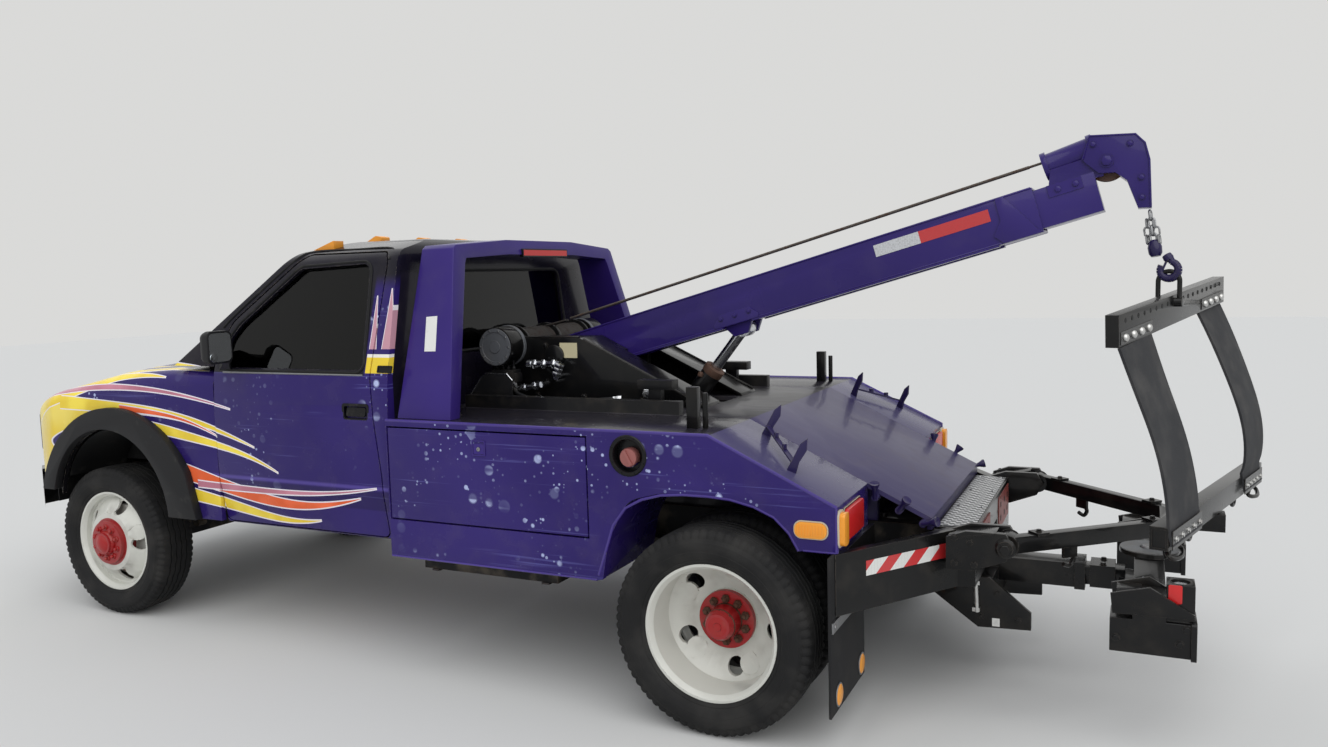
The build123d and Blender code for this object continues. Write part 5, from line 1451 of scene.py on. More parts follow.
@dataclass
class CabTrim:
    """Seals, handles, mirrors, wipers and the rest that is fitted to the cab."""

    window: Flat = ((1.295, 1.318), (1.295, 1.44), (1.235, 1.515), (0.905, 1.77), (0.495, 1.785), (0.462, 1.318))
    corners: tuple[float, ...] = (0.03, 0.1, 0.1, 0.07, 0.04, 0.03)
    drip: Flat = ((1.345, 1.505), (1.29, 1.556), (1.13, 1.68), (0.95, 1.812), (0.88, 1.848), (0.64, 1.852),
                  (0.425, 1.85), (0.392, 1.8))
    screen: Flat = ((1.66, 1.29), (0.96, 1.82))
    handle_x: tuple[float, float] = (0.425, 0.565)
    handle_z: tuple[float, float] = (1.1, 1.166)

    def door(self, dresser: Dresser, side: Side) -> None:
        """Seals one door's window and gives it a handle and a sill strip."""
        node = f"door_{side.word}"
        outline = rounded(self.window, self.corners)
        seal = Shape()
        skin = [dresser.beside((node, f"door_glass_{side.word}"), side, x, z)[0] for x, z in widened(outline, 0.012)]
        seal.tube(skin, 0.0065, 8, closed=True)
        seal.finish = 1
        strip = [dresser.beside((node,), side, x, 1.297)[0] for x in (0.452, 0.7, 1.0, 1.305)]
        seal.tube(strip, 0.0048, 6)
        dresser.piece(f"window_seal_{side.word}", seal, node, "black_plastic", [SEAL_RUBBER, DULL_METAL])
        handle = Shape()
        (x0, x1), (z0, z1) = self.handle_x, self.handle_z
        hole = oblong(x0 + 0.006, z0 + 0.006, x1 - 0.006, z1 - 0.006, 0.008)
        edge = oblong(x0 - 0.006, z0 - 0.006, x1 + 0.006, z1 + 0.006, 0.014)
        handle.rim(edge, hole, Along.Y, 0.9395, 0.9605)
        paddle = at((0.495, 0.9515, 1.136), (0, 0.97, 0.22), (1, 0, 0))
        handle.prism(oblong(-0.054, -0.018, 0.054, 0.022, 0.01), Along.Z, -0.003, 0.004,
                     paddle)
        handle.finish = 1
        handle.lathe([(0, 0.0), (0.0095, 0.0), (0.0095, 0.005), (0.006, 0.006), (0, 0.004)], 20,
                     at((0.585, 0.9545, 1.112), (0, 1, 0)))
        handle.flip(side)
        dresser.piece(f"door_handle_{side.word}", handle, node, "black_plastic", [GLOSS_PLASTIC, DULL_METAL], 0.0012)

    def mirror(self, dresser: Dresser, side: Side) -> None:
        """Builds one mirror: rounded head, glass, bezel and a sail that stands on the door."""
        node = f"mirror_{side.word}"
        head = Shape()
        rear = oblong(1.01, 1.35, 1.15, 1.5, 0.03, 6)
        middle = Vector((1.08, 1.425))
        sections = ((1.16, 0.96), (1.1625, 1.0), (1.19, 1.0), (1.212, 0.9), (1.225, 0.66))
        head.loft([[(x, *(middle + (p - middle) * share)) for p in rear] for x, share in sections])
        head.loft((
            ((1.174, 1.022, 1.356), (1.216, 1.022, 1.356), (1.216, 1.022, 1.438), (1.174, 1.022, 1.424)),
            ((1.215, 0.99, 1.33), (1.262, 0.99, 1.33), (1.262, 0.99, 1.425), (1.215, 0.99, 1.405)),
            ((1.262, 0.938, 1.303), (1.345, 0.938, 1.303), (1.33, 0.926, 1.402), (1.262, 0.924, 1.41))))
        head.finish = 1
        glass = oblong(1.02, 1.36, 1.14, 1.49, 0.024, 6)
        head.prism(glass, Along.X, 1.1588, 1.1602)
        head.lathe([(0, 0.0), (0.02, 0.0), (0.02, 0.0015), (0, 0.0035)], 24, at((1.1588, 1.118, 1.38), (-1, 0, 0)))
        head.flip(side)
        made = dresser.piece(f"{node}_dressed", head, f"door_{side.word}", "black_plastic",
                             [BLACK_PLASTIC, MIRROR_FACE], 0.0015)
        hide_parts(node)

    def shell(self, dresser: Dresser) -> None:
        """Adds drip rails, wipers, the cowl's vent and the slot in the rear pillar."""
        trim = Shape()
        for side in Side:
            rail = [dresser.beside(("cab_shell", f"door_{side.word}"), side, x,
                                   z)[0] + Vector((0, side.value * 0.001, 0))
                    for x, z in self.drip]
            trim.tube(curved(rail), 0.006, 6)
        for y in (0.3, -0.42):
            base = Vector((1.655, y, 1.3125))
            tip = Vector((1.205, y + 0.1, 1.65))
            trim.lathe([(0, -0.03), (0.016, -0.03), (0.016, 0.012), (0.01, 0.018), (0, 0.018)], 16,
                       at(base, (0.5, 0, 0.86)))
            trim.tube([base + Vector((0, 0, 0.012)), base.lerp(tip, 0.3) + Vector((0.012, 0, 0.022)),
                       base.lerp(tip, 0.62) + Vector((0.008, 0, 0.014))], 0.0055, 8)
            trim.tube([base.lerp(tip, 0.24) + Vector((0, 0.03, 0.01)), tip + Vector((0, 0.03, 0.01))], 0.0045, 6)
            trim.box((-0.002, -0.26, -0.008), (0.002, 0.26, 0.002),
                     at(base.lerp(tip, 0.62) + Vector((0, 0.0, 0.004)), (0.6, 0, 0.8), (0, 0.2, 0)))
        for i in range(22):
            y = -0.63 + i * 0.06
            trim.box((1.661, y - 0.022, 1.3075), (1.677, y + 0.022, 1.3115))
        trim.finish = 1
        for side in Side:
            spot, out = dresser.beside(("cab_shell",), side, 0.335, 1.324)
            frame = at(spot, out, (1, 0, 0))
            trim.rim(oblong(-0.04, -0.016, 0.04, 0.016, 0.005),
                     oblong(-0.034, -0.01, 0.034, 0.01, 0.004), Along.Z, -0.002, 0.003,
                     frame)
            trim.prism(((-0.035, -0.011), (0.035, -0.011), (0.035, 0.011), (-0.035, 0.011)), Along.Z,
                       -0.002, 0.0006, frame)
        dresser.piece("cab_trim", trim, "chassis", "black_plastic", [SEAL_RUBBER, GLOSS_PLASTIC])
        glass = Shape()
        (x0, z0), (x1, z1) = self.screen
        ring = rounded([(0.8, 1.35), (0.655, 1.79), (-0.655, 1.79), (-0.8, 1.35)], 0.06, 6)
        glass.tube([(x0 + (z - z0) * (x1 - x0) / (z1 - z0) + 0.002, y, z) for y, z in widened(ring, 0.006)],
                   0.0075, 8, closed=True)
        ring = rounded([(0.56, 1.37), (0.52, 1.74), (-0.52, 1.74), (-0.56, 1.37)], 0.05, 6)
        seal = []
        for y, z in widened(ring, 0.008):
            seal.append(dresser.touch(("cab_shell", "cab_glass"), (0.0, y, z), (1, 0, 0))[0])
        glass.tube(seal, 0.0075, 8, closed=True)
        dresser.piece("glass_seals", glass, "chassis", "black_plastic", [SEAL_RUBBER])

    def build(self, dresser: Dresser) -> None:
        """Fits the cab's trim."""
        for side in Side:
            self.door(dresser, side)
            self.mirror(dresser, side)
        self.shell(dresser)


@dataclass
class CabRoom:
    """The bench seat, the steering wheel and the dials, behind dark glass."""

    half: float = 0.69
    cap: float = 0.014
    steps: int = 16

    def cushion(self, name: str, outline: Flat, dresser: Dresser) -> None:
        """Makes one padded cushion by blowing up a closed shell, then sews channels into it.

        Args:
            name: The piece's name.
            outline: Its side outline as (x, z), a little smaller than the pad.
            dresser: What turns it into a piece.
        """
        shape = Shape()
        shape.prism(rounded(outline, 0.03, 4), Along.Y, -self.half + 0.02, self.half - 0.02)
        made = dresser.piece(name, shape, "chassis", "seat_cloth", [SEAT_CLOTH], 0.0, 80.0)
        remesh = made.modifiers.new("even", "REMESH")
        remesh.mode, remesh.voxel_size = "VOXEL", 0.015
        self.settle(made)
        cloth = made.modifiers.new("cloth", "CLOTH")
        cloth.settings.use_pressure = True
        cloth.settings.uniform_pressure_force = 4.0
        cloth.settings.effector_weights.gravity = 0.0
        cloth.settings.tension_stiffness = 40.0
        cloth.point_cache.frame_start, cloth.point_cache.frame_end = 1, self.steps
        flat = [v.co.copy() for v in made.data.vertices]
        for step in range(1, self.steps + 1):
            bpy.context.scene.frame_set(step)
        self.settle(made)
        for vert, start in zip(made.data.vertices, flat):
            move = vert.co - start
            if move.length > self.cap:
                vert.co = start + move * (self.cap / move.length)
        bpy.context.scene.frame_set(1)
        for vert in made.data.vertices:
            channel = abs(sin(vert.co.y * pi / 0.115))
            inward = -vert.normal * 0.007 * max(0.0, 1.0 - channel * 3.0)
            split = max(0.0, 1.0 - abs(abs(vert.co.y) - 0.12) * 90.0)
            vert.co += inward - vert.normal * 0.016 * split
        made.data.polygons.foreach_set("use_smooth", [True] * len(made.data.polygons))
        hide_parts("bench_seat")

    @staticmethod
    def settle(made: bpy.types.Object) -> None:
        """Makes the modified mesh the piece's own and takes the modifiers off."""
        made.data.update()
        bpy.context.view_layer.update()
        mesh = bpy.data.meshes.new_from_object(made.evaluated_get(bpy.context.evaluated_depsgraph_get()))
        made.modifiers.clear()
        made.data = mesh

    def build(self, dresser: Dresser) -> None:
        """Furnishes the cab."""
        self.cushion("seat_cushion", ((0.5, 0.975), (0.5, 1.07), (0.92, 1.085), (0.97, 1.05),
                                      (0.965, 0.975)), dresser)
        self.cushion("seat_back", ((0.405, 1.105), (0.535, 1.105), (0.462, 1.545), (0.415, 1.545)), dresser)
        base = Shape()
        base.box((0.5, -0.64, 0.745), (0.94, 0.64, 0.972))
        base.box((0.4, -0.66, 1.06), (0.52, 0.66, 1.1))
        stand = dresser.piece("seat_base", base, "chassis", "black_plastic", [BLACK_PLASTIC], 0.006)
        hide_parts("bench_seat")
        wheel = Shape()
        frame = at((1.18, 0.36, 1.2), (-0.8, 0, 0.6), (0, 1, 0))
        wheel.tube([frame @ Vector((x, y, 0.012)) for x, y in circle(0.186, 48)], 0.0135, 10, closed=True)
        wheel.lathe([(0, -0.02), (0.05, -0.02), (0.058, 0.0), (0.056, 0.02), (0.03, 0.026), (0, 0.026)], 28, frame)
        for angle in (0.35, pi - 0.35, -pi / 2):
            a, b = Vector((cos(angle), sin(angle), 0)), Vector((-sin(angle), cos(angle), 0))
            wheel.loft([[frame @ (a * r + b * w + Vector((0, 0, h))) for w,
                         h in ((-s, 0.004), (s, 0.004), (s, 0.016), (-s, 0.016))]
                        for r, s in ((0.045, 0.02), (0.11, 0.011), (0.182, 0.014))])
        wheel.tube([frame @ Vector((0, 0, -0.01)), (1.32, 0.36, 1.095), (1.44, 0.36, 1.005)], 0.024, 12)
        made = dresser.piece("steering_wheel_dressed", wheel, "chassis", "black_plastic", [GLOSS_PLASTIC])
        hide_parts("steering_wheel")
        dials = Shape()
        hood = ((1.402, 1.15), (1.402, 1.246), (1.44, 1.262), (1.5, 1.262), (1.5, 1.15))
        dials.prism(hood, Along.Y, 0.19, 0.53)
        dials.box((1.3965, -0.1, 1.06), (1.41, 0.1, 1.13))
        for y in (-0.55, -0.3, 0.13, 0.62):
            for k in range(4):
                dials.box((1.3945, y - 0.045, 1.15 + k * 0.011), (1.4045, y + 0.045, 1.156 + k * 0.011))
        dials.finish = 1
        for y, r in ((0.27, 0.036), (0.36, 0.024), (0.45, 0.036)):
            dials.lathe([(0, 0.0), (r, 0.0), (r, 0.003), (r - 0.003, 0.004), (r - 0.004, 0.001), (0, 0.001)], 28,
                        at((1.402, y, 1.205), (-1, 0, 0)))
        for k in range(5):
            dials.lathe([(0, 0.0), (0.007, 0.0), (0.006, 0.008), (0, 0.008)], 12,
                        at((1.3965, -0.08 + k * 0.04, 1.085), (-1, 0, 0)))
        dresser.piece("dashboard_dials", dials, "chassis", "black_plastic", [BLACK_PLASTIC, DULL_METAL], 0.0015)


@dataclass
class Nose:
    """Headlamps, turn lamps, grille bars, bumper bolts and tow hooks."""

    lamp_y: tuple[float, float] = (0.615, 0.905)
    lamp_z: tuple[float, float] = (0.8, 1.02)

    def build(self, dresser: Dresser) -> None:
        """Builds the truck's face."""
        y0, y1 = self.lamp_y
        z0, z1 = self.lamp_z
        shells, clear, amber = Shape(), Shape(), Shape()
        edge = oblong(y0, z0, y1, z1, 0.02)
        mouth = oblong(y0 + 0.01, z0 + 0.074, y1 - 0.01, z1 - 0.01, 0.014)
        low = oblong(y0 + 0.01, z0 + 0.01, y1 - 0.01, z0 + 0.062, 0.01)
        shells.prism(edge, Along.X, 2.96, 2.978)
        shells.rim(edge, oblong(y0 + 0.01, z0 + 0.01, y1 - 0.01, z1 - 0.01, 0.012), Along.X, 2.976,
                   3.004)
        shells.box((2.976, y0 + 0.008, z0 + 0.062), (3.0, y1 - 0.008, z0 + 0.074))
        shells.finish = 1
        for y in (0.69, 0.825):
            shells.lathe([(0.012, 0.001), (0.04, 0.004), (0.056, 0.014), (0.06, 0.017), (0.06, 0.002),
                          (0.012, 0.0)], 32,
                         at((2.978, y, z0 + 0.142), (1, 0, 0)))
        clear.prism(mouth, Along.X, 2.9985, 3.0035)
        amber.prism(low, Along.X, 2.98, 3.002)
        for part in (shells, clear, amber):
            part.both()
        for name, shape, finish, slot in (("headlamp_housings", shells, [GLOSS_PLASTIC, CHROME], "black_plastic"),
                                          ("headlamp_lenses", clear, [CLEAR_LENS], "glass"),
                                          ("turn_lamp_lenses", amber, [AMBER_LENS], "amber_lens")):
            shape.bend(tapered)
            made = dresser.piece(name, shape, "chassis", slot, finish, 0.0015)
            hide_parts("lamps")
        face = Shape()
        for z in (0.745, 0.815, 0.885, 0.955):
            for k in range(9):
                face.box((2.966, -0.588 + k * 0.145, z - 0.001), (2.974, -0.584 + k * 0.145, z + 0.049))
        face.finish = 1
        face.rim(oblong(-0.612, 0.716, 0.612, 1.031, 0.02), oblong(-0.598, 0.73, 0.598, 1.017, 0.012), Along.X,
                 2.999, 3.0105)
        face.bend(tapered)
        dresser.piece("grille_trim", face, "chassis", "chrome", [BLACK_PLASTIC, DULL_METAL], 0.0015)
        bumper = Shape()
        for y in (0.36, 0.43, 0.66):
            bumper.bolt((3.07, y, BUMPER_TOP), (0, 0, 1), 0.01)
        bumper.both()
        bumper.finish = 1
        for hand in (1, -1):
            hook = ((3.01, 0.505), (3.06, 0.48), (3.085, 0.44), (3.065, 0.408), (3.03, 0.41), (3.018, 0.438))
            bumper.tube(curved([(x, hand * 0.395, z) for x, z in hook]), 0.0125, 10)
        dresser.piece("bumper_fittings", bumper, "chassis", "chrome", [ZINC, BLACK_GLOSS])


@dataclass
class TowBody:
    """What is fitted to the tow body's sides: lips, latches, filler, lamps and lashing brackets."""

    crest: tuple[float, float] = (-1.205, 1.114)
    tail: tuple[float, float] = (-1.682, 0.882)
    arch: Flat = ((-0.735, 0.545), (-0.768, 0.64), (-0.805, 0.748), (-0.86, 0.82), (-0.93, 0.858), (-1.01, 0.88),
                  (-1.1, 0.8885), (-1.2, 0.8895), (-1.29, 0.884), (-1.38, 0.864), (-1.455, 0.832),
                  (-1.51, 0.78), (-1.545, 0.72))

    def lips(self) -> Shape:
        """The rolled edges along the top, the slope and the wheel arch, as seen on both sides."""
        shape = Shape()
        top = ((0.283, 1.1135), (self.crest[0], 1.1135), self.tail, (self.tail[0], 0.722))
        shape.tube([(x, 1.0085, z) for x, z in top], 0.0072, 8)
        shape.tube([(x, 1.0105, z) for x, z in self.arch], 0.006, 8)
        shape.tube([(0.283, 1.0118, 0.527), (-0.728, 1.0118, 0.527)], 0.005, 6)
        shape.tube([(-1.563, 1.0118, 0.7225), (-1.682, 1.0118, 0.7225)], 0.0045, 6)
        return shape.both()

    def bracket(self, shape: Shape) -> None:
        """Adds a lashing bracket to the slope: two upright horns joined by a bar with two tabs."""
        lean = Vector((-0.9, -0.43, 0)).normalized()
        flat = Vector((0.43, -0.9, 0)).normalized()
        feet = [Vector((x, y, 1.114 - 0.4864 * (-1.205 - x))) for x, y in ((-1.3, 0.66), (-1.48, 0.9))]
        horn = ((-0.02, -0.012), (0.022, -0.012), (0.034, 0.03), (0.062, 0.072), (0.066, 0.118), (0.04, 0.098),
                (0.012, 0.046))
        for foot in feet:
            shape.loft([[foot + lean * a + Vector((0, 0, h)) + flat * s for a, h in horn] for s in (-0.0045, 0.0045)])
        lift = Vector((0, 0, 0.034)) + lean * 0.012
        run = feet[1] - feet[0]
        side = run.normalized().cross(Vector((0, 0, 1))).normalized()
        shape.loft([[feet[0] + lift + run * t + side * a + Vector((0, 0, b))
                     for a, b in ((-0.009, -0.004), (0.009, -0.004), (0.009, 0.004), (-0.009, 0.004))]
                    for t in (0.0, 1.0)])
        for t in (0.36, 0.68):
            place = at(feet[0] + lift + run * t, (0, 0, 1), run)
            shape.box((-0.009, -0.007, 0.003), (0.009, 0.007, 0.022), place)

    def build(self, dresser: Dresser) -> None:
        """Fits everything to the sides and the tail."""
        # The lips get the lighter violet, which paints in their highlight.
        dresser.piece("body_lips", self.lips(), "chassis", "purple_paint", [HIGHLIT_LIP_PAINT])
        brackets = Shape()
        self.bracket(brackets)
        brackets.both()
        for x, aim in ((-1.715, (-0.05, 0.35, 1.0)), (-1.805, (-0.6, 0.35, 0.8)), (-1.895, (-1.0, 0.35, 0.3))):
            z = 1.114 - 0.48637 * (-1.205 - x) - 0.034
            for hand in (1, -1):
                brackets.lathe([(0, -0.004), (0.01, -0.004), (0.009, 0.028), (0.011, 0.038), (0.0195, 0.058),
                                (0.019, 0.064), (0.01, 0.062), (0, 0.061)], 18, at((x, hand * 0.588, z),
                                                                   (aim[0], hand * aim[1], aim[2])))
        dresser.piece("lashing_brackets", brackets, "chassis", "purple_paint", [DARK_VIOLET], 0.0008)
        for side in Side:
            latch = Shape()
            latch.rim(oblong(-0.229, 0.986, -0.163, 1.051, 0.006), oblong(-0.223, 0.992, -0.169, 1.045, 0.005),
                      Along.Y, 1.012, 1.0175)
            latch.prism(oblong(-0.222, 0.993, -0.17, 1.036, 0.005), Along.Y, 1.012, 1.0158)
            latch.finish = 1
            latch.lathe([(0, 0.0), (0.0085, 0.0), (0.0085, 0.003), (0.0035, 0.0036), (0.003, 0.001), (0, 0.001)], 18,
                        at((-0.196, 1.0158, 1.014), (0, 1, 0)))
            latch.flip(side)
            dresser.piece(f"latch_{side.word}", latch, f"tool_door_{side.word}", "purple_paint",
                          [GUARD_PAINT, DULL_METAL], 0.0008)
        filler = Shape()
        centre = Vector((-0.878, 1.014, 1.023))
        ring = at(centre, (0, 1, 0))
        filler.lathe([(0.06, -0.038), (0.06, -0.002), (0.064, 0.004), (0.076, 0.005), (0.08, 0.001),
                      (0.08, -0.001)], 48, ring)
        for across, up in circle(0.071, 8, pi / 8):
            filler.bolt(centre + Vector((across, 0.0045, up)), (0, 1, 0), 0.0035, False)
        filler.lathe([(0, -0.039), (0.0635, -0.039), (0.0635, -0.036), (0, -0.036)], 48, ring)
        filler.finish = 1
        cap = at((-0.878, 0.98, 1.015), (0, 1, 0))
        filler.lathe([(0.0, 0.0), (0.037, 0.0), (0.037, 0.026), (0.034, 0.032), (0.02, 0.034), (0, 0.034)], 36, cap)
        filler.box((-0.006, -0.03, 0.033), (0.006, 0.03, 0.04), cap @ Matrix.Rotation(0.5, 4, "Z"))
        dresser.piece("fuel_filler", filler, "chassis", "black_plastic", [GLOSS_PLASTIC, COPPER_CAP])
        self.lamps(dresser)

    def lamps(self, dresser: Dresser) -> None:
        """Builds the side markers and the two rows of tail lamps."""
        amber, shells, red = Shape(), Shape(), Shape()
        marker = oblong(-1.65, 0.77, -1.534, 0.826, 0.024, 6)
        amber.prism(marker, Along.Y, 1.0125, 1.024)
        for k in range(9):
            x = -1.638 + k * 0.0115
            amber.box((x - 0.0022, 1.0238, 0.777), (x + 0.0022, 1.0262, 0.819))
        shells.rim(oblong(-1.655, 0.765, -1.529, 0.831, 0.028, 6), marker, Along.Y, 1.0125, 1.018)
        shells.prism(oblong(0.944, 0.738, 1.012, 0.868, 0.018), Along.X, -1.692, -1.6815)
        amber.prism(oblong(0.95, 0.745, 1.006, 0.861, 0.016), Along.X, -1.711, -1.6915)
        red.prism(oblong(0.705, 0.748, 0.922, 0.857, 0.012), Along.X, -1.702, -1.686)
        shells.finish = 1
        shells.prism(oblong(0.698, 0.741, 0.929, 0.864, 0.014), Along.X, -1.688, -1.6815)
        for part in (amber, shells, red):
            part.both()
        red.box((0.089, -0.215, 1.811), (0.112, 0.187, 1.838))
        shells.rim(oblong(-0.221, 1.805, 0.193, 1.844, 0.006), oblong(-0.214, 1.812, 0.186, 1.837, 0.004),
                   Along.X, 0.09, 0.112)
        for name, shape, finish, slot in (("amber_lamps", amber, [AMBER_LENS], "amber_lens"),
                                          ("red_lamps", red, [RED_LENS], "red_lens"),
                                          ("lamp_housings", shells, [CREAM_PLASTIC, GLOSS_PLASTIC], "black_plastic")):
            made = dresser.piece(name, shape, "chassis", slot, finish, 0.0018)
            if name != "lamp_housings":
                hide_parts("lamps")


@dataclass
class TailFrame:
    """Tape, lugs' bolts, reflectors and the red panel on the rear frame and its flaps."""

    near: tuple[float, float] = (-1.759, 0.908)
    far: tuple[float, float] = (-2.008, 0.5365)

    def build(self, dresser: Dresser) -> None:
        """Fits the rear frame and the mud flaps."""
        out = Vector((-0.831, 0.556, 0))
        tape, end = Shape(), Shape()
        start, stop = Vector((*self.near, 0)), Vector((*self.far, 0))
        for shape, low, high in ((tape, 0.0, 0.8), (end, 0.8, 1.0)):
            a, b = start.lerp(stop, low), start.lerp(stop, high)
            shape.plate([(a.x, a.y, 0.622), (b.x, b.y, 0.622), (b.x, b.y, 0.676), (a.x, a.y, 0.676)], out, 0.0012)
            shape.both()
        dresser.piece("warning_tape", tape, "chassis", "red_lens", [WARNING_TAPE])
        dresser.piece("warning_tape_end", end, "chassis", "red_lens", [RED_TAPE])
        panel = Shape()
        for low, high in ((0.135, 0.47), (-0.47, -0.135)):
            panel.box((-2.0785, low, 0.56), (-2.0735, high, 0.7))
        # Painted shade: dark squares on the panel stand in for its holes.
        panel.finish = 1
        for y in (0.2, 0.32, 0.42):
            for z in (0.6, 0.66):
                for hand in (1, -1):
                    panel.box((-2.0795, hand * y - 0.011, z - 0.011), (-2.078, hand * y + 0.011, z + 0.011))
        dresser.piece("rear_panel", panel, "chassis", "black_gloss", [PANEL_RED, SEAL_RUBBER], 0.0006)
        tread = Shape()
        corners = ((-1.935, -0.5), (-1.935, 0.5), (-2.066, 0.488), (-2.066, -0.488))
        tread.plate([(x, y, 0.7205) for x, y in corners], (0, 0, 1), 0.003)
        for y in (-0.46, -0.16, 0.16, 0.46):
            for x in (-1.955, -2.05):
                tread.bolt((x, y, 0.723), (0, 0, 1), 0.006, False)
        dresser.piece("tail_tread_plate", tread, "chassis", "black_gloss", [TREAD_PLATE])
        lugs = Shape()
        for y in (0.6535, 0.6275):
            lugs.lathe([(0, 0.0), (0.036, 0.0), (0.036, 0.006), (0.028, 0.012), (0, 0.012)], 24,
                       at((-2.198, y, 0.695), (0, 1 if y > 0.64 else -1, 0)))
        lugs.bolt((-2.198, 0.665, 0.695), (0, 1, 0), 0.02)
        for x, z in ((-2.075, 0.722), (-2.02, 0.735), (-2.02, 0.64), (-2.09, 0.64)):
            lugs.bolt((x, 0.653, z - 0.015), (0, 1, 0), 0.01)
        for x, z in ((-2.04, 0.716), (-2.09, 0.716)):
            lugs.bolt((x, 0.579, z - 0.002), (0, 0, 1), 0.013)
        lugs.loft((
            ((-2.01, 0.5, 0.713), (-2.01, 0.655, 0.713), (-2.01, 0.655, 0.721), (-2.01, 0.5, 0.721)),
            ((-2.165, 0.56, 0.741), (-2.165, 0.655, 0.741), (-2.165, 0.655, 0.7475), (-2.165, 0.56, 0.7475))))
        lugs.both()
        dresser.piece("lug_bolts", lugs, "chassis", "black_gloss", [BLACK_GLOSS], 0.001)
        flap, eyes = Shape(), Shape()
        for y in (0.675, 0.985):
            spot = at((-1.6785, y, 0.205), (-1, 0, 0))
            flap.lathe([(0.036, 0.0), (0.043, 0.0), (0.043, 0.003), (0.039, 0.0045), (0.036, 0.003)], 28, spot)
            eyes.lathe([(0, 0.0), (0.0375, 0.0), (0.0375, 0.004), (0.03, 0.0075), (0, 0.009)], 28, spot)
        for y in (0.66, 0.85, 1.04):
            flap.bolt((-1.6785, y, 0.47), (-1, 0, 0), 0.009)
        flap.box((-1.6845, 0.63, 0.452), (-1.678, 1.07, 0.49))
        flap.both()
        eyes.both()
        dresser.piece("flap_fittings", flap, "chassis", "chrome", [DULL_METAL], 0.0008)
        dresser.piece("flap_reflectors", eyes, "chassis", "amber_lens", [AMBER_LENS])


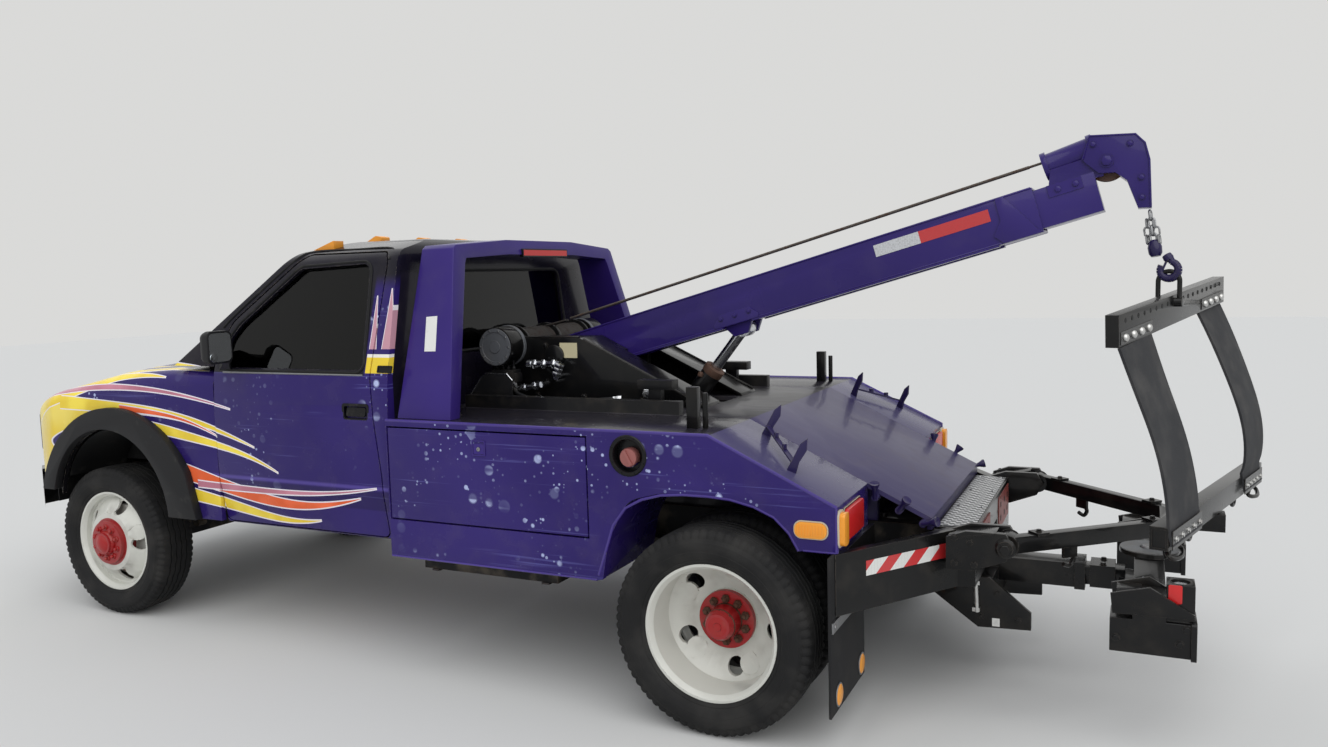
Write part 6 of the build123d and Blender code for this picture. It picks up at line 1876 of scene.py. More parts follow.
@dataclass
class Mast:
    """The winch's ropes, caps and valves, and the labels and bolts on the mast and the guard."""

    drum: tuple[float, float] = (0.1, 1.385)
    pack_radius: float = 0.0745
    rope: float = 0.0046

    def winding(self, hand: int) -> list[Vector]:
        """One drum's rope as a helix."""
        x, z = self.drum
        turns, steps = 26, 18
        line = []
        for k in range(turns * steps + 1):
            angle = tau * k / steps
            across = 0.017 + 0.253 * k / (turns * steps)
            line.append(Vector((x + self.pack_radius * cos(angle), hand * across, z + self.pack_radius * sin(angle))))
        return line

    def build(self, dresser: Dresser) -> None:
        """Dresses the mast."""
        x, z = self.drum
        ropes = Shape()
        for hand in (1, -1):
            ropes.tube(self.winding(hand), self.rope, 6)
            ropes.tube([(x - 0.014, hand * 0.03, z + self.pack_radius),
                        (-0.032, 0.009 + hand * 0.009, 1.488)], 0.0055, 8)
        dresser.piece("winch_ropes", ropes, "chassis", "bare_steel", [WOUND_ROPE])
        caps = Shape()
        for hand in (1, -1):
            place = at((x, hand * 0.4445, z), (0, hand, 0))
            caps.finish = 0
            caps.lathe([(0, 0.0), (0.086, 0.0), (0.087, 0.002), (0.0855, 0.006), (0.07, 0.0065), (0.068, 0.004),
                        (0.03, 0.004), (0.028, 0.008), (0, 0.008)], 48, place)
            caps.lathe([(0.0935, -0.119), (0.0965, -0.117), (0.0965, -0.1), (0.0935, -0.098)], 48, place)
            caps.finish = 1
            for across, up in circle(0.0775, 10):
                caps.bolt(place @ Vector((across, up, 0.0062)), (0, hand, 0), 0.0042, False)
        caps.finish = 2
        caps.prism(((-0.27, 1.328), (-0.177, 1.328), (-0.177, 1.398), (-0.27, 1.398)), Along.Y, 0.3245, 0.3262)
        dresser.piece("winch_caps", caps, "chassis", "black_gloss", [CAP_GREY, ZINC, PAPER])
        self.valves(dresser)
        bolts = Shape()
        for bx, bz in ((0.15, 1.15), (-0.05, 1.15), (-0.3, 1.15), (-0.6, 1.14), (-0.82, 1.135), (-0.1, 1.385)):
            bolts.bolt((bx, 0.325, bz), (0, 1, 0), 0.011)
        bolts.lathe([(0, 0.0), (0.05, 0.0), (0.05, 0.01), (0.044, 0.014), (0, 0.014)], 36,
                    at((-0.15, 0.3245, 1.338), (0, 1, 0)))
        for start, end in (((-0.3, 1.4125), (-0.89, 1.1285)), ((0.18, 1.4205), (-0.28, 1.4205))):
            bolts.tube([(start[0], 0.3185, start[1] + 0.002), (end[0], 0.3185, end[1] + 0.002)], 0.0062, 8)
        for px, py in ((0.015, 0.905), (0.06, 0.8), (0.19, 0.905), (0.19, 0.8)):
            bolts.bolt((px, py, 1.114), (0, 0, 1), 0.012)
        bolts.both()
        dresser.piece("mast_bolts", bolts, "chassis", "black_gloss", [BLACK_GLOSS])
        label = Shape()
        spots = [dresser.touch(("cab_guard",), (lx, 1.3, lz), (0, -1, 0)) for lx, lz in
                 ((0.195, 1.544), (0.137, 1.548), (0.119, 1.398), (0.178, 1.397))]
        label.plate([spot for spot, _ in spots], spots[0][1], 0.0012)
        dresser.piece("guard_label", label, "chassis", "purple_paint", [WHITE_PAPER])

    def valves(self, dresser: Dresser) -> None:
        """Builds the valve bank, its lines and its plated fittings, alike on both sides."""
        block, plated = Shape(), Shape()
        block.box((0.03, 0.345, 1.2), (0.15, 0.415, 1.275))
        block.box((0.018, 0.352, 1.216), (0.162, 0.408, 1.258))
        for k in range(4):
            x = 0.045 + k * 0.03
            block.lathe([(0, 0.0), (0.01, 0.0), (0.01, 0.014), (0.005, 0.018), (0.005, 0.06), (0.011, 0.066),
                         (0.012, 0.082), (0.008, 0.09), (0, 0.091)], 12, at((x, 0.38, 1.273), (-0.15, 0.25, 1)))
        runs = (((0.035, 0.4, 1.215), (0.0, 0.428, 1.17), (-0.12, 0.432, 1.145), (-0.32, 0.4, 1.14),
                 (-0.5, 0.345, 1.15)),
                ((0.06, 0.412, 1.215), (0.03, 0.446, 1.155), (-0.09, 0.455, 1.132), (-0.3, 0.43, 1.128),
                 (-0.56, 0.36, 1.132)),
                ((0.12, 0.4, 1.212), (0.13, 0.43, 1.16), (0.21, 0.42, 1.13)),
                ((0.15, 0.37, 1.24), (0.195, 0.372, 1.25), (0.235, 0.372, 1.2), (0.24, 0.372, 1.12)))
        for run in runs:
            block.tube(curved(run), 0.0095, 8)
            for spot, ahead in ((run[0], run[1]), (run[-1], run[-2])):
                aim = Vector(ahead) - Vector(spot)
                plated.lathe([(0, -0.004), (0.0125, -0.004), (0.0125, 0.016), (0.0105, 0.02), (0.0105, 0.034),
                              (0, 0.034)], 6,
                             at(spot, aim))
        guard = ((0.245, 1.122), (0.245, 1.15), (0.17, 1.248), (0.145, 1.262), (0.03, 1.262), (0.0, 1.232),
                 (0.0, 1.122))
        block.prism(guard, Along.Y, 0.462, 0.466)
        block.box((0.01, 0.345, 1.115), (0.235, 0.4635, 1.122))
        block.both()
        dresser.piece("valve_banks", block, "chassis", "black_gloss", [LINE_BLACK], 0.002)
        plated.tube([(x, 0.4645, z) for x, z in guard[:6]], 0.0036, 6)
        for spots, radius in ((((-0.052, 0.372, 1.302), (-0.203, 0.372, 1.304), (-0.179, 0.372, 1.246)), 0.015),
                              (((0.047, 0.402, 1.18), (-0.115, 0.402, 1.209)), 0.0135)):
            points = [Vector(p) for p in spots]
            for a, b in zip(points, points[1:]):
                plated.tube([a, b], radius, 14)
                for share in (0.12, 0.45, 0.8):
                    plated.lathe([(0, -0.01), (radius * 1.45, -0.01), (radius * 1.55, -0.006), (radius * 1.55, 0.006),
                                  (radius * 1.45, 0.01), (0, 0.01)], 6, at(a.lerp(b, share), b - a))
            plated.lathe([(0, 0.0), (radius * 1.3, 0.0), (radius * 1.3, -0.022), (0, -0.022)], 14,
                         at(points[0], points[1] - points[0]))
            plated.lathe([(0, -0.052), (radius * 1.2, -0.052), (radius * 1.2, 0.0), (0, 0.0)], 14,
                         at(points[-1], (0, 1, 0)))
        plated.lathe([(0, 0.0), (0.024, 0.0), (0.024, 0.016), (0.02, 0.02), (0.013, 0.02), (0.013, 0.034),
                      (0, 0.034)], 6,
                     at((-0.629, 0.325, 1.173), (0, 1, 0)))
        plated.both()
        dresser.piece("valve_fittings", plated, "chassis", "chrome", [CHROME])


@dataclass
class Boom:
    """Tape, collar, weld beads and ropes on the boom, and the bolts and sheave in its head."""

    rope_height: float = 0.178
    rope_run: tuple[float, float] = (-0.046, 2.18)

    @property
    def frame(self) -> Matrix:
        """The boom's own frame: X along it, Y to the truck's right and Z above its middle."""
        return at(BOOM_PIVOT, (sin(BOOM_TILT), 0, cos(BOOM_TILT)), (-cos(BOOM_TILT), 0, sin(BOOM_TILT)))

    def build(self, dresser: Dresser) -> None:
        """Dresses the outer boom, the inner boom and their ropes."""
        frame = self.frame
        for name, finish, low, high in (("silver_tape", SILVER_TAPE, 1.515, 1.708),
                                        ("red_tape", RED_TAPE, 1.708, 1.995)):
            tape = Shape()
            tape.box((low, -0.1014, 0.01), (high, -0.0995, 0.06), frame)
            dresser.piece(f"boom_{name}", tape.both(), "boom", "purple_paint", [finish])
        steel = Shape()
        collar = ((2.03, 0.09), (2.062, 0.09), (2.168, -0.09), (2.02, -0.09), (1.99, -0.052), (2.03, 0.0))
        steel.prism(collar, Along.Y, -0.1065, -0.0995, frame)
        for low, high in ((0.18, 0.76), (0.905, 2.0)):
            steel.box((low, -0.107, -0.0975), (high, -0.062, -0.0895), frame)
        for height in (0.0895, -0.0865):
            steel.tube([frame @ Vector((s, -0.0995, height)) for s in (-0.08, 0.6, 1.3, 2.17)], 0.0046, 6)
        steel.prism(rounded(((0.7, -0.088), (0.76, -0.03), (0.905, -0.03), (0.96, -0.088)), 0.012), Along.Y,
                    -0.105, -0.0995, frame)
        for s, n in ((0.762, -0.05), (0.832, -0.05), (0.902, -0.05)):
            steel.bolt(frame @ Vector((s, -0.105, n)), (0, 1, 0), 0.009)
        steel.both()
        dresser.piece("boom_plates", steel, "boom", "purple_paint", [PLAIN_PAINT], 0.0012)
        rope = Shape()
        low, high = self.rope_run
        for across in (0.0, 0.018):
            rope.tube([frame @ Vector((low + (high - low) * k / 8, -across, self.rope_height))
                       for k in range(9)], 0.0058, 8)
        made = dresser.piece("boom_ropes", rope, "boom", "bare_steel", [ROPE])
        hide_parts("winch_cable")
        tip = Shape()
        tip.tube([frame @ Vector((s, -0.018, self.rope_height)) for s in (1.25, 1.7, 2.2, 2.46)], 0.0044, 8)
        dresser.piece("tip_rope", tip, "boom_tip", "bare_steel", [ROPE])
        head = Shape()
        for s, n in ((2.264, 0.054), (2.33, 0.054)):
            head.bolt(frame @ Vector((s, -0.087, n)), (0, 1, 0), 0.012)
        head.box((2.225, -0.0905, 0.03), (2.355, -0.0865, 0.078), frame)
        for x, z, size in ((-2.49, 2.09, 0.02), (-2.44, 2.155, 0.01), (-2.57, 2.15, 0.01), (-2.612, 2.02, 0.01),
                           (-2.615, 1.945, 0.01)):
            head.bolt((x, 0.058, z), (0, 1, 0), size)
        edge = ((-2.405, 2.1), (-2.427, 2.188), (-2.588, 2.183), (-2.621, 2.149), (-2.638, 2.085), (-2.646, 1.909))
        head.tube([(x, 0.0575, z) for x, z in edge], 0.0042, 6)
        head.both()
        dresser.piece("boom_head_bolts", head, "boom_tip", "purple_paint", [PLAIN_PAINT])
        wheel = Shape()
        wheel.lathe([(0, -0.016), (0.075, -0.016), (0.076, -0.012), (0.062, -0.004), (0.062, 0.004),
                     (0.076, 0.012), (0.075, 0.016), (0, 0.016)], 40, at((-2.49, 0, 2.09), (0, 1, 0)))
        guide = Vector((-2.444, 0, 2.149)) - Vector((-2.258, 0, 2.085))
        wheel.lathe([(0, -0.0015), (0.034, -0.0015), (0.036, 0.0), (0, 0.001)], 32, at((-2.2585, 0, 2.0852), -guide))
        dresser.piece("head_sheave", wheel, "boom_tip", "bare_steel", [RUST])
        gland = Shape()
        run = Vector((-0.415, 0, 0.52)).normalized()
        end = Vector((-0.56, 0, 0.93)) + run * 0.42
        gland.lathe([(0.026, 0.006), (0.044, 0.006), (0.05, 0.002), (0.05, -0.03), (0.0485, -0.032)],
                    36, at(end, run))
        for hand in (1, -1):
            gland.lathe([(0, 0.04), (0.014, 0.04), (0.014, 0.058), (0.01, 0.062), (0, 0.062)], 6,
                        at(end - run * 0.055, (run.z * 0.5, hand * 0.8, -run.x * 0.5)))
        dresser.piece("cylinder_gland", gland, "boom_cylinder", "black_gloss", [RUST])


@dataclass
class Sling:
    """The tow sling's belts, bolts, loops and hook."""

    thick: float = 0.01
    drop: float = radians(4.2)

    def __post_init__(self) -> None:
        """Works out the sling's own directions."""
        self.run = Vector((sin(SLING_YAW), cos(SLING_YAW), 0))
        self.rise = (TOP_BAR - LOW_BAR).normalized()
        self.rear = -self.run.cross(self.rise)
        self.back = Vector((-cos(SLING_YAW), sin(SLING_YAW), 0))
        self.top_run = self.run * cos(self.drop) - Vector((0, 0, sin(self.drop)))

    def belt(self, name: str, low: float, high: float, bow: float, dresser: Dresser, narrow: float = 0.0) -> None:
        """Stretches one rubber belt from the lower bar's rear face to the top bar.

        Args:
            name: The piece's name.
            low: Its edge nearer the truck's right, along the bars.
            high: Its other edge.
            bow: How far it bows out at its middle, in metres.
            dresser: What turns it into a piece.
            narrow: How far its outer edge comes in at its foot.
        """
        columns, rows = 10, 30
        shape = Shape()
        grid = []
        for i in range(columns + 1):
            across = low + (high - low) * i / columns
            top = 0.7 - across * sin(self.drop)
            line = []
            for k in range(rows + 1):
                t = -0.03 + (top + 0.03) * k / rows
                share = max(0.0, (t - 0.045) / (top - 0.045))
                out = 0.0355 * (1.0 - share) + bow * sin(pi * share ** 0.72)
                out += 0.0035 * sin(across * 17.0 + t * 9.0) * sin(pi * share)
                hand = 1.0 if i < columns / 2 else -1.0
                pinch = 0.012 * sin(pi * share) * hand * abs(i / columns - 0.5) * 2.0
                pinch += narrow * (1.0 - i / columns) * (1.0 - share) ** 3
                line.append(LOW_BAR + self.run * (across + pinch) + self.rise * t + self.rear * out)
            grid.append(line)
        sheets = []
        for offset in (-self.thick / 2, self.thick / 2):
            sheets.append([[shape.mesh.verts.new(p + self.rear * offset) for p in line] for line in grid])
        for sheet in sheets:
            for i in range(columns):
                for k in range(rows):
                    shape.face((sheet[i][k], sheet[i + 1][k], sheet[i + 1][k + 1], sheet[i][k + 1]))
        for i, j in ((0, 0), (columns, columns)):
            for k in range(rows):
                shape.face((sheets[0][i][k], sheets[0][j][k + 1], sheets[1][j][k + 1], sheets[1][i][k]))
        for k in (0, rows):
            for i in range(columns):
                shape.face((sheets[0][i][k], sheets[0][i + 1][k], sheets[1][i + 1][k], sheets[1][i][k]))
        made = dresser.piece(name, shape, "sling", "rubber", [BELT_RUBBER], 0.0, 50.0)
        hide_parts("sling_belts")

    def bars(self, dresser: Dresser) -> None:
        """Adds the clamp plates, bolts, caps and loops of both bars, and dark discs of painted shade for the top
        bar's holes.
        """
        zinc, black = Shape(), Shape()
        top = at(TOP_BAR, self.run.cross(self.back), self.run) @ Matrix.Rotation(self.drop, 4, "Y")
        for low, high in ((0.335, 0.685), (-0.685, -0.335)):
            black.box((low, 0.0215, -0.048), (high, 0.024, -0.004), top)
            for k in range(4):
                along = low + 0.045 + (high - low - 0.09) * k / 3
                spot = top @ Vector((along, 0.024, -0.028))
                zinc.lathe([(0, -0.002), (0.015, -0.002), (0.015, 0.003), (0.0115, 0.009), (0.005, 0.012),
                            (0, 0.0125)], 16,
                           at(spot, self.back))
                zinc.bolt(top @ Vector((along, -0.022, -0.026)), -self.back, 0.0105)
        # Painted shade: thin dark discs on both faces of the top bar stand in for its holes.
        black.finish = 1
        for k in range(19):
            along = -0.63 + k * 0.07
            for sign in (1, -1):
                black.lathe([(0, 0.0), (0.0085, 0.0), (0.0085, 0.0012), (0, 0.0004)], 12,
                            at(top @ Vector((along, sign * 0.022, 0.03)), self.back * sign))
        black.finish = 0
        low_bar = at(LOW_BAR, (0, 0, 1), self.run)
        for sign in (1, -1):
            black.rim(oblong(-0.0285, -0.0385, 0.0285, 0.0385, 0.004),
                      oblong(-0.0215, -0.0315, 0.0215, 0.0315, 0.003), Along.X, sign * 0.698, sign * 0.7025,
                      low_bar)
            loop = [(sign * 0.545, 0.0, -0.038), (sign * 0.51, 0.022, -0.072), (sign * 0.58, 0.038, -0.084),
                    (sign * 0.65, 0.022, -0.072), (sign * 0.625, 0.0, -0.038)]
            black.tube([low_bar @ Vector(p) for p in curved(loop, 6)], 0.0085, 8)
        for low, high in ((0.335, 0.7), (-0.64, -0.335)):
            black.box((low, 0.0405, -0.034), (high, 0.044, 0.03), low_bar)
            for k in range(5):
                along = low + 0.035 + (high - low - 0.07) * k / 4
                zinc.bolt(low_bar @ Vector((along, 0.044, -0.002)), self.back, 0.008)
        dresser.piece("bar_plates", black, "sling", "black_gloss", [BLACK_GLOSS, SEAL_RUBBER], 0.0008)
        dresser.piece("belt_bolts", zinc, "sling", "bare_steel", [ZINC])

    def hook(self, dresser: Dresser) -> None:
        """Builds the hook, its latch, the swivel and the last links of chain."""
        foot = TOP_BAR + self.top_run * 0.05
        centre = Vector((foot.x, foot.y, 1.667))
        swivel = Vector((-2.664, 0.022, 1.745))
        spout = Vector((-2.644, 0.003, 1.892))
        steel = Shape()
        steel.finish = 1
        side = self.run
        level = side.cross(Vector((0, 0, 1))).normalized()
        arc = []
        for k in range(19):
            a = radians(90 + 300 * k / 18)
            arc.append(centre + (level * cos(a) + Vector((0, 0, 1)) * sin(a)) * 0.032)
        arc[0] = centre + Vector((0, 0, 0.052))
        sizes = [0.0125 + 0.003 * sin(pi * k / 18) for k in range(19)]
        for (a, b), size in zip(zip(arc, arc[1:]), sizes):
            steel.tube([a, b + (b - a) * 0.15], size, 10)
        steel.lathe([(0, -0.004), (0.016, -0.004), (0.019, 0.006), (0.017, 0.02), (0, 0.02)], 20,
                    at(centre + Vector((0, 0, 0.04)), swivel - centre))
        steel.box((-0.004, -0.01, 0.0), (0.004, 0.01, 0.05),
                  at(centre + Vector((0, 0, 0.03)) + level * 0.012, (level.x * 0.4, level.y * 0.4, -1)))
        up = (spout - swivel).normalized()
        steel.lathe([(0, -0.03), (0.017, -0.03), (0.024, -0.018), (0.0255, 0.006), (0.02, 0.026),
                     (0.012, 0.034), (0, 0.035)], 24,
                    at(swivel + up * 0.004, up))
        steel.finish = 0
        start = swivel + up * 0.03
        count = 4
        for k in range(count):
            middle = start.lerp(spout, (k + 0.5) / count)
            turn = at(middle, up, self.run if k % 2 else level)
            self.link(steel, turn, (0.0115, 0.0105), 0.0085, 16, 0.0048, 8)
        for hand in (1, -1):
            side_spot = start + level * (hand * 0.024) - Vector((0, 0, 0.006))
            for k in range(3):
                middle = side_spot.lerp(spout + level * (hand * 0.01) - Vector((0, 0, 0.03)), (k + 0.5) / 3)
                turn = at(middle, up, level if k % 2 else self.run)
                self.link(steel, turn, (0.0105, 0.0095), 0.0075, 14, 0.0044, 6)
        made = dresser.piece("hook_and_chain", steel, "sling", "chrome", [DULL_METAL, DARK_VIOLET])
        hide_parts("hook_block")

    def link(self, shape: Shape, turn: Matrix, half: Point, straight: float, steps: int, wire: float,
             sides: int) -> None:
        """Adds one link of chain.

        Args:
            shape: The shape to add it to.
            turn: The link's frame, with Z along the chain.
            half: The half width and half height of its round ends.
            straight: Half the length of its straight sides.
            steps: The number of points round it.
            wire: The wire's radius.
            sides: The number of the wire's sides.
        """
        ring = [turn @ Vector((half[0] * x, 0, half[1] * z + copysign(straight, z))) for x, z in circle(1.0, steps)]
        shape.tube(ring, wire, sides, closed=True)

    def arms(self, dresser: Dresser) -> None:
        """Adds lugs and a grab hook to the sling's arms."""
        steel = Shape()
        for hand in (1, -1):
            a = Vector((-2.198, hand * 0.599, 0.695))
            b = Vector((-2.74, hand * 0.1, 0.69))
            way = (b - a).normalized()
            place = at(a, (0, 0, 1), way)
            for s in (0.11, 0.62):
                steel.box((s, -0.0285, 0.026), (s + 0.05, 0.0285, 0.036), place)
                steel.bolt(place @ Vector((s + 0.025, 0, 0.036)), (0, 0, 1), 0.009)
            steel.box((0.24, -0.006, -0.075), (0.3, 0.006, -0.028), place)
            steel.lathe([(0, 0.0), (0.0145, 0.0), (0.0145, 0.006), (0, 0.006)], 18,
                        at(place @ Vector((0.27, 0.006, -0.052)), place.to_3x3() @ Vector((0, 1, 0))))
            hook = [place @ Vector(p) for p in ((0.27, 0, -0.03), (0.27, 0.004, -0.055), (0.292, 0.006, -0.082),
                                                (0.276, 0.006, -0.108), (0.246, 0.004, -0.1))]
            steel.tube(curved(hook), 0.0085, 8)
            for end in (0.534 - 0.004, 0.624):
                steel.lathe([(0.0195, 0.0), (0.041, 0.0), (0.0425, 0.002), (0.041, 0.004), (0.0195, 0.004)], 32,
                            at((-2.198, hand * end, 0.695), (0, hand, 0)))
        dresser.piece("arm_fittings", steel, "sling_frame", "black_gloss", [BLACK_GLOSS], 0.001)

    def build(self, dresser: Dresser) -> None:
        """Dresses the sling."""
        self.belt("sling_belt_left", 0.335, 0.7, 0.022, dresser)
        self.belt("sling_belt_right", -0.7, -0.335, 0.052, dresser, 0.06)
        self.bars(dresser)
        self.hook(dresser)
        self.arms(dresser)


@dataclass
class WheelLift:
    """What is fitted to the wheel lift's keel, tube and crossbar."""

    head_x: float = -2.665

    def build(self, dresser: Dresser) -> None:
        """Dresses the wheel lift."""
        arm = Shape()
        for x, z in ((-2.0, 0.42), (-2.06, 0.3), (-2.2, 0.3), (-2.12, 0.4), (-1.935, 0.43)):
            arm.bolt((x, 0.25, z), (0, 1, 0), 0.01)
        for x, z in ((-1.96, 0.58),):
            arm.lathe([(0, 0.0), (0.044, 0.0), (0.044, 0.004), (0.03, 0.01), (0, 0.01)], 28,
                      at((x, 0.125, z), (0, 1, 0)))
        arm.both()
        arm.rim(oblong(-0.068, 0.392, 0.068, 0.508, 0.008), oblong(-0.0595, 0.3995, 0.0595, 0.499, 0.006),
                Along.X, -2.4345, -2.395)
        arm.finish = 1
        arm.prism(((-2.131, 0.264), (-2.102, 0.264), (-2.102, 0.297), (-2.131, 0.297)), Along.Y, 0.2495, 0.2512)
        arm.finish = 2
        arm.tube([(-2.04, 0.262, 0.448), (-2.045, 0.262, 0.32)], 0.0095, 12)
        for z in (0.44, 0.33):
            arm.box((-2.056, 0.2495, z - 0.008), (-2.028, 0.27, z + 0.008))
        dresser.piece("keel_fittings", arm, "lift_arm", "black_gloss", [BLACK_GLOSS, WHITE_PAPER, ZINC], 0.0008)
        slide = Shape()
        slide.box((-2.545, -0.062, 0.408), (-2.452, 0.062, 0.498))
        for y in (-0.04, 0.04):
            slide.bolt((-2.5, y, 0.498), (0, 0, 1), 0.01)
        slide.finish = 1
        slide.lathe([(0, 0.0), (0.028, 0.0), (0.027, 0.01), (0.022, 0.016), (0, 0.016)], 28,
                    at((self.head_x, 0, 0.5685), (0, 0, 1)))
        dresser.piece("slide_collar", slide, "lift_slide", "black_gloss", [BLACK_GLOSS, DULL_METAL], 0.002)
        bar, pins, glow = Shape(), Shape(), Shape()
        bar.finish = 1
        bar.rim(circle(0.1065, 48), circle(0.034, 48), Along.Z, 0.571, 0.5748,
                Matrix.Translation((self.head_x, 0, 0)))
        bar.finish = 0
        arms = Shape()
        outline = ((-2.541, 0.556), (-2.665, 0.588), (-2.805, 0.505), (-2.8, 0.49), (-2.548, 0.486))
        for low, high in ((0.458, 0.47), (0.59, 0.602)):
            arms.prism(outline, Along.Y, low, high)
        for x, z in ((-2.56, 0.4), (-2.76, 0.4), (-2.78, 0.455)):
            arms.bolt((x, 0.6, z), (0, 1, 0), 0.011)
        arms.box((-2.64, 0.47, 0.5545), (-2.56, 0.59, 0.5605))
        arms.rim(oblong(0.452, 0.342, 0.608, 0.478, 0.012), oblong(0.462, 0.352, 0.598, 0.468, 0.008), Along.X,
                 -2.812, -2.794)
        arms.both()
        dresser.piece("receiver_cheeks", arms, "lift_crossbar", "black_gloss", [BLACK_GLOSS], 0.001)
        dresser.piece("crossbar_disc", bar, "lift_crossbar", "black_gloss", [BLACK_GLOSS, PALE_PLATE])
        x = self.head_x - 0.096
        pins.lathe([(0, 0.0), (0.027, 0.0), (0.027, 0.104), (0.02, 0.111), (0, 0.111)], 24,
                   at((x, 0.53, 0.482), (0, 0, 1)))
        pins.tube([(-2.64, 0.449, 0.575), (-2.78, 0.449, 0.5)], 0.0075, 10)
        pins.both()
        dresser.piece("receiver_pins", pins, "lift_crossbar", "chrome", [CHROME])
        glow.prism(oblong(-2.765, 0.535, -2.722, 0.6, 0.006), Along.Y, 0.5795, 0.5835)
        glow.both()
        dresser.piece("crossbar_reflectors", glow, "lift_crossbar", "red_lens", [RED_LENS], 0.001)


@dataclass
class Underside:
    """The exhaust, the dampers, the lines under the frame and the liners of the wheel wells."""

    def build(self, dresser: Dresser) -> None:
        """Fits the underside."""
        pipe = Shape()
        line = [(1.9, -0.2, 0.52), (1.5, -0.23, 0.44), (0.7, -0.255, 0.405), (0.34, -0.255, 0.405)]
        pipe.tube(curved(line), 0.032, 16)
        tail = [(-0.32, -0.255, 0.405), (-0.62, -0.3, 0.405), (-0.78, -0.56, 0.4), (-0.8, -0.86, 0.37),
                (-0.8, -0.94, 0.362)]
        pipe.tube(curved(tail), 0.03, 16)
        pipe.lathe([(0.032, -0.345), (0.06, -0.32), (0.082, -0.29), (0.085, -0.28), (0.085, 0.28),
                    (0.082, 0.29), (0.06, 0.32), (0.03, 0.345)], 32, at((0.005, -0.255, 0.405), (1, 0, 0)))
        for x in (1.2, 0.48, -0.36):
            pipe.box((x - 0.012, -0.29, 0.4), (x + 0.012, -0.22, 0.525))
        dresser.piece("exhaust", pipe, "chassis", "cast_iron", [RUST])
        damper = Shape()
        for x, low, high in ((FRONT_AXLE_X - 0.12, (0.48, 0.4), (0.45, 0.64)),
                             (REAR_AXLE_X + 0.15, (0.42, 0.38), (0.395, 0.64))):
            a, b = Vector((x, low[0], low[1])), Vector((x + 0.06, high[0], high[1]))
            middle = a.lerp(b, 0.55)
            damper.tube([a, middle], 0.026, 16)
            damper.tube([middle, b], 0.031, 16)
            for spot in (a, b):
                damper.lathe([(0, -0.026), (0.022, -0.026), (0.022, 0.026), (0, 0.026)], 16, at(spot, (0, 1, 0)))
        damper.both()
        dresser.piece("dampers", damper, "chassis", "frame_black", [CHASSIS_BLACK])
        lines = Shape()
        for y, z in ((0.35, 0.545), (0.34, 0.56)):
            run = [(1.5, y, z), (0.6, y, z), (0.1, y - 0.008, z), (-0.7, y, z), (-1.05, y - 0.01, z),
                   (-1.15, y - 0.12, z - 0.06)]
            lines.tube(curved(run, 3), 0.0045, 6)
        for x in (1.3, 0.7, 0.0, -0.6):
            lines.box((x - 0.01, 0.332, 0.54), (x + 0.01, 0.362, 0.566))
        for x in (0.14, -0.42):
            lines.box((x - 0.018, 0.534, 0.442), (x + 0.018, 0.906, 0.4495))
        dresser.piece("underside_lines", lines, "chassis", "frame_black", [DARK_STEEL])
        liner = Shape()
        outer = [(2.13 + 0.43 * cos(a),
                  0.558 + 0.43 * sin(a)) for a in (radians(22 + 136 * k / 24) for k in range(25))]
        inner = [(2.13 + 0.426 * cos(a),
                  0.558 + 0.426 * sin(a)) for a in (radians(158 - 136 * k / 24) for k in range(25))]
        liner.prism(outer + inner, Along.Y, 0.6, 0.925)
        wall = [(2.13 + 0.428 * cos(a),
                 0.558 + 0.428 * sin(a)) for a in (radians(28 + 124 * k / 16) for k in range(17))]
        liner.prism(wall, Along.Y, 0.598, 0.602)
        liner.box((2.7, 0.3, 0.56), (2.704, 0.88, 1.0))
        liner.both()
        dresser.piece("wheel_well_liners", liner, "chassis", "black_plastic", [SEAL_RUBBER])


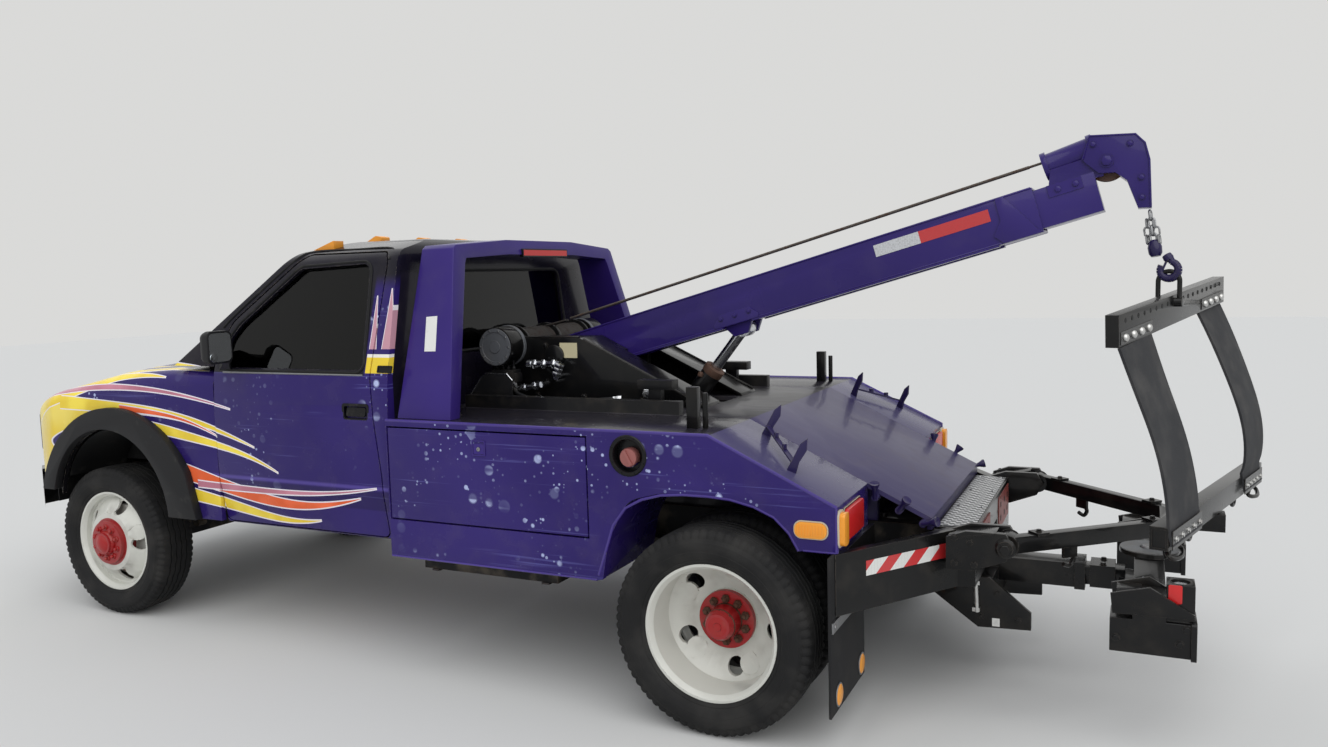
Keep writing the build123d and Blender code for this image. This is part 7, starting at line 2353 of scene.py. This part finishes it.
@dataclass
class Studio:
    """The floor, the soft lights and the camera."""

    eye: tuple[float, float, float] = (-2.629, 4.345, 1.699)
    yaw: float = -64.49
    pitch: float = -5.58
    roll: float = 1.53
    lens: float = 27.34
    backdrop: Colour = (0.7, 0.7, 0.69)
    daylight: Colour = (0.92, 0.95, 1.0)

    def floor(self) -> None:
        """Lays a plain pale floor."""
        bpy.ops.mesh.primitive_plane_add(size=60.0)
        plane = bpy.context.object
        plane.name = "floor"
        shade = Shade("pale_floor")
        shade.feed("Base Color", srgb(216, 216, 214))
        shade.feed("Roughness", 1.0)
        shade.feed("Specular IOR Level", 0.0)
        plane.data.materials.append(shade.material)
        plane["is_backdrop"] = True

    def sky(self) -> None:
        """Lights the truck with an even sky that the camera sees as pale."""
        world = bpy.data.worlds.new("studio_sky")
        bpy.context.scene.world = world
        world.use_nodes = True
        tree = world.node_tree
        tree.nodes.clear()
        out = tree.nodes.new("ShaderNodeOutputWorld")
        mix = tree.nodes.new("ShaderNodeMixShader")
        path = tree.nodes.new("ShaderNodeLightPath")
        seen, light = tree.nodes.new("ShaderNodeBackground"), tree.nodes.new("ShaderNodeBackground")
        seen.inputs["Color"].default_value = (*self.backdrop, 1)
        light.inputs["Color"].default_value = (*self.daylight, 1)
        light.inputs["Strength"].default_value = 0.5
        straight, direct = tree.nodes.new("ShaderNodeMath"), tree.nodes.new("ShaderNodeMath")
        straight.operation = direct.operation = "MAXIMUM"
        for source, target in ((path.outputs["Is Camera Ray"], straight.inputs[0]),
                               (path.outputs["Is Glossy Ray"], straight.inputs[1]),
                               (straight.outputs[0], direct.inputs[0]),
                               (path.outputs["Is Transmission Ray"], direct.inputs[1]),
                               (direct.outputs[0], mix.inputs[0]), (light.outputs[0], mix.inputs[1]),
                               (seen.outputs[0], mix.inputs[2]), (mix.outputs[0], out.inputs[0])):
            tree.links.new(source, target)

    def sun(self, name: str, towards: Point, spread: float, strength: float) -> None:
        """Hangs one broad, soft sun.

        Args:
            name: Its name.
            towards: The direction from the truck to it.
            spread: The angle that it fills, in degrees.
            strength: Its strength in watts to a square metre.
        """
        data = bpy.data.lights.new(name, "SUN")
        data.energy, data.angle = strength, radians(spread)
        lamp = bpy.data.objects.new(name, data)
        bpy.context.scene.collection.objects.link(lamp)
        lamp.rotation_euler = (-Vector(towards)).to_track_quat("-Z", "Y").to_euler()

    def camera(self) -> None:
        """Stands the camera where the photograph was taken from."""
        yaw, pitch, roll = (radians(a) for a in (self.yaw, self.pitch, self.roll))
        ahead = Vector((cos(pitch) * cos(yaw), cos(pitch) * sin(yaw), sin(pitch)))
        right = ahead.cross(Vector((0, 0, 1))).normalized()
        up = right.cross(ahead)
        right, up = (right * cos(roll) - up * sin(roll), right * sin(roll) + up * cos(roll))
        data = bpy.data.cameras.new("photo_camera")
        data.sensor_width, data.lens, data.clip_end = 36.0, self.lens, 200.0
        camera = bpy.data.objects.new("photo_camera", data)
        bpy.context.scene.collection.objects.link(camera)
        turn = Matrix((right, up, -ahead)).transposed().to_4x4()
        turn.translation = Vector(self.eye)
        camera.matrix_world = turn
        bpy.context.scene.camera = camera

    def build(self) -> None:
        """Sets the whole stage."""
        self.floor()
        self.sky()
        self.sun("key_sun", (-0.4, 0.62, 0.8), 78.0, 1.8)
        self.sun("far_sun", (0.55, -0.5, 0.75), 78.0, 0.45)
        self.camera()
        bpy.context.scene.view_settings.view_transform = "Standard"


def corners() -> list[list[float]]:
    """The whole object's box as two plain lists."""
    return [[float(v) for v in corner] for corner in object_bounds()]


def main() -> None:
    """Builds the truck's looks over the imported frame, in order."""
    logging.basicConfig(level=logging.INFO, format="%(message)s")
    dresser = Dresser(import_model())
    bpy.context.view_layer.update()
    Studio().build()
    for part in (Plain(), Tyre(), Wheel(), CabTrim(), CabRoom(), Nose(), TowBody(), TailFrame(), Mast(),
                 Boom(), Sling(), WheelLift(), Underside()):
        part.build(dresser)
    LOG.info("%d pieces in all", len(dresser.made))


if __name__ == "__main__":
    main()
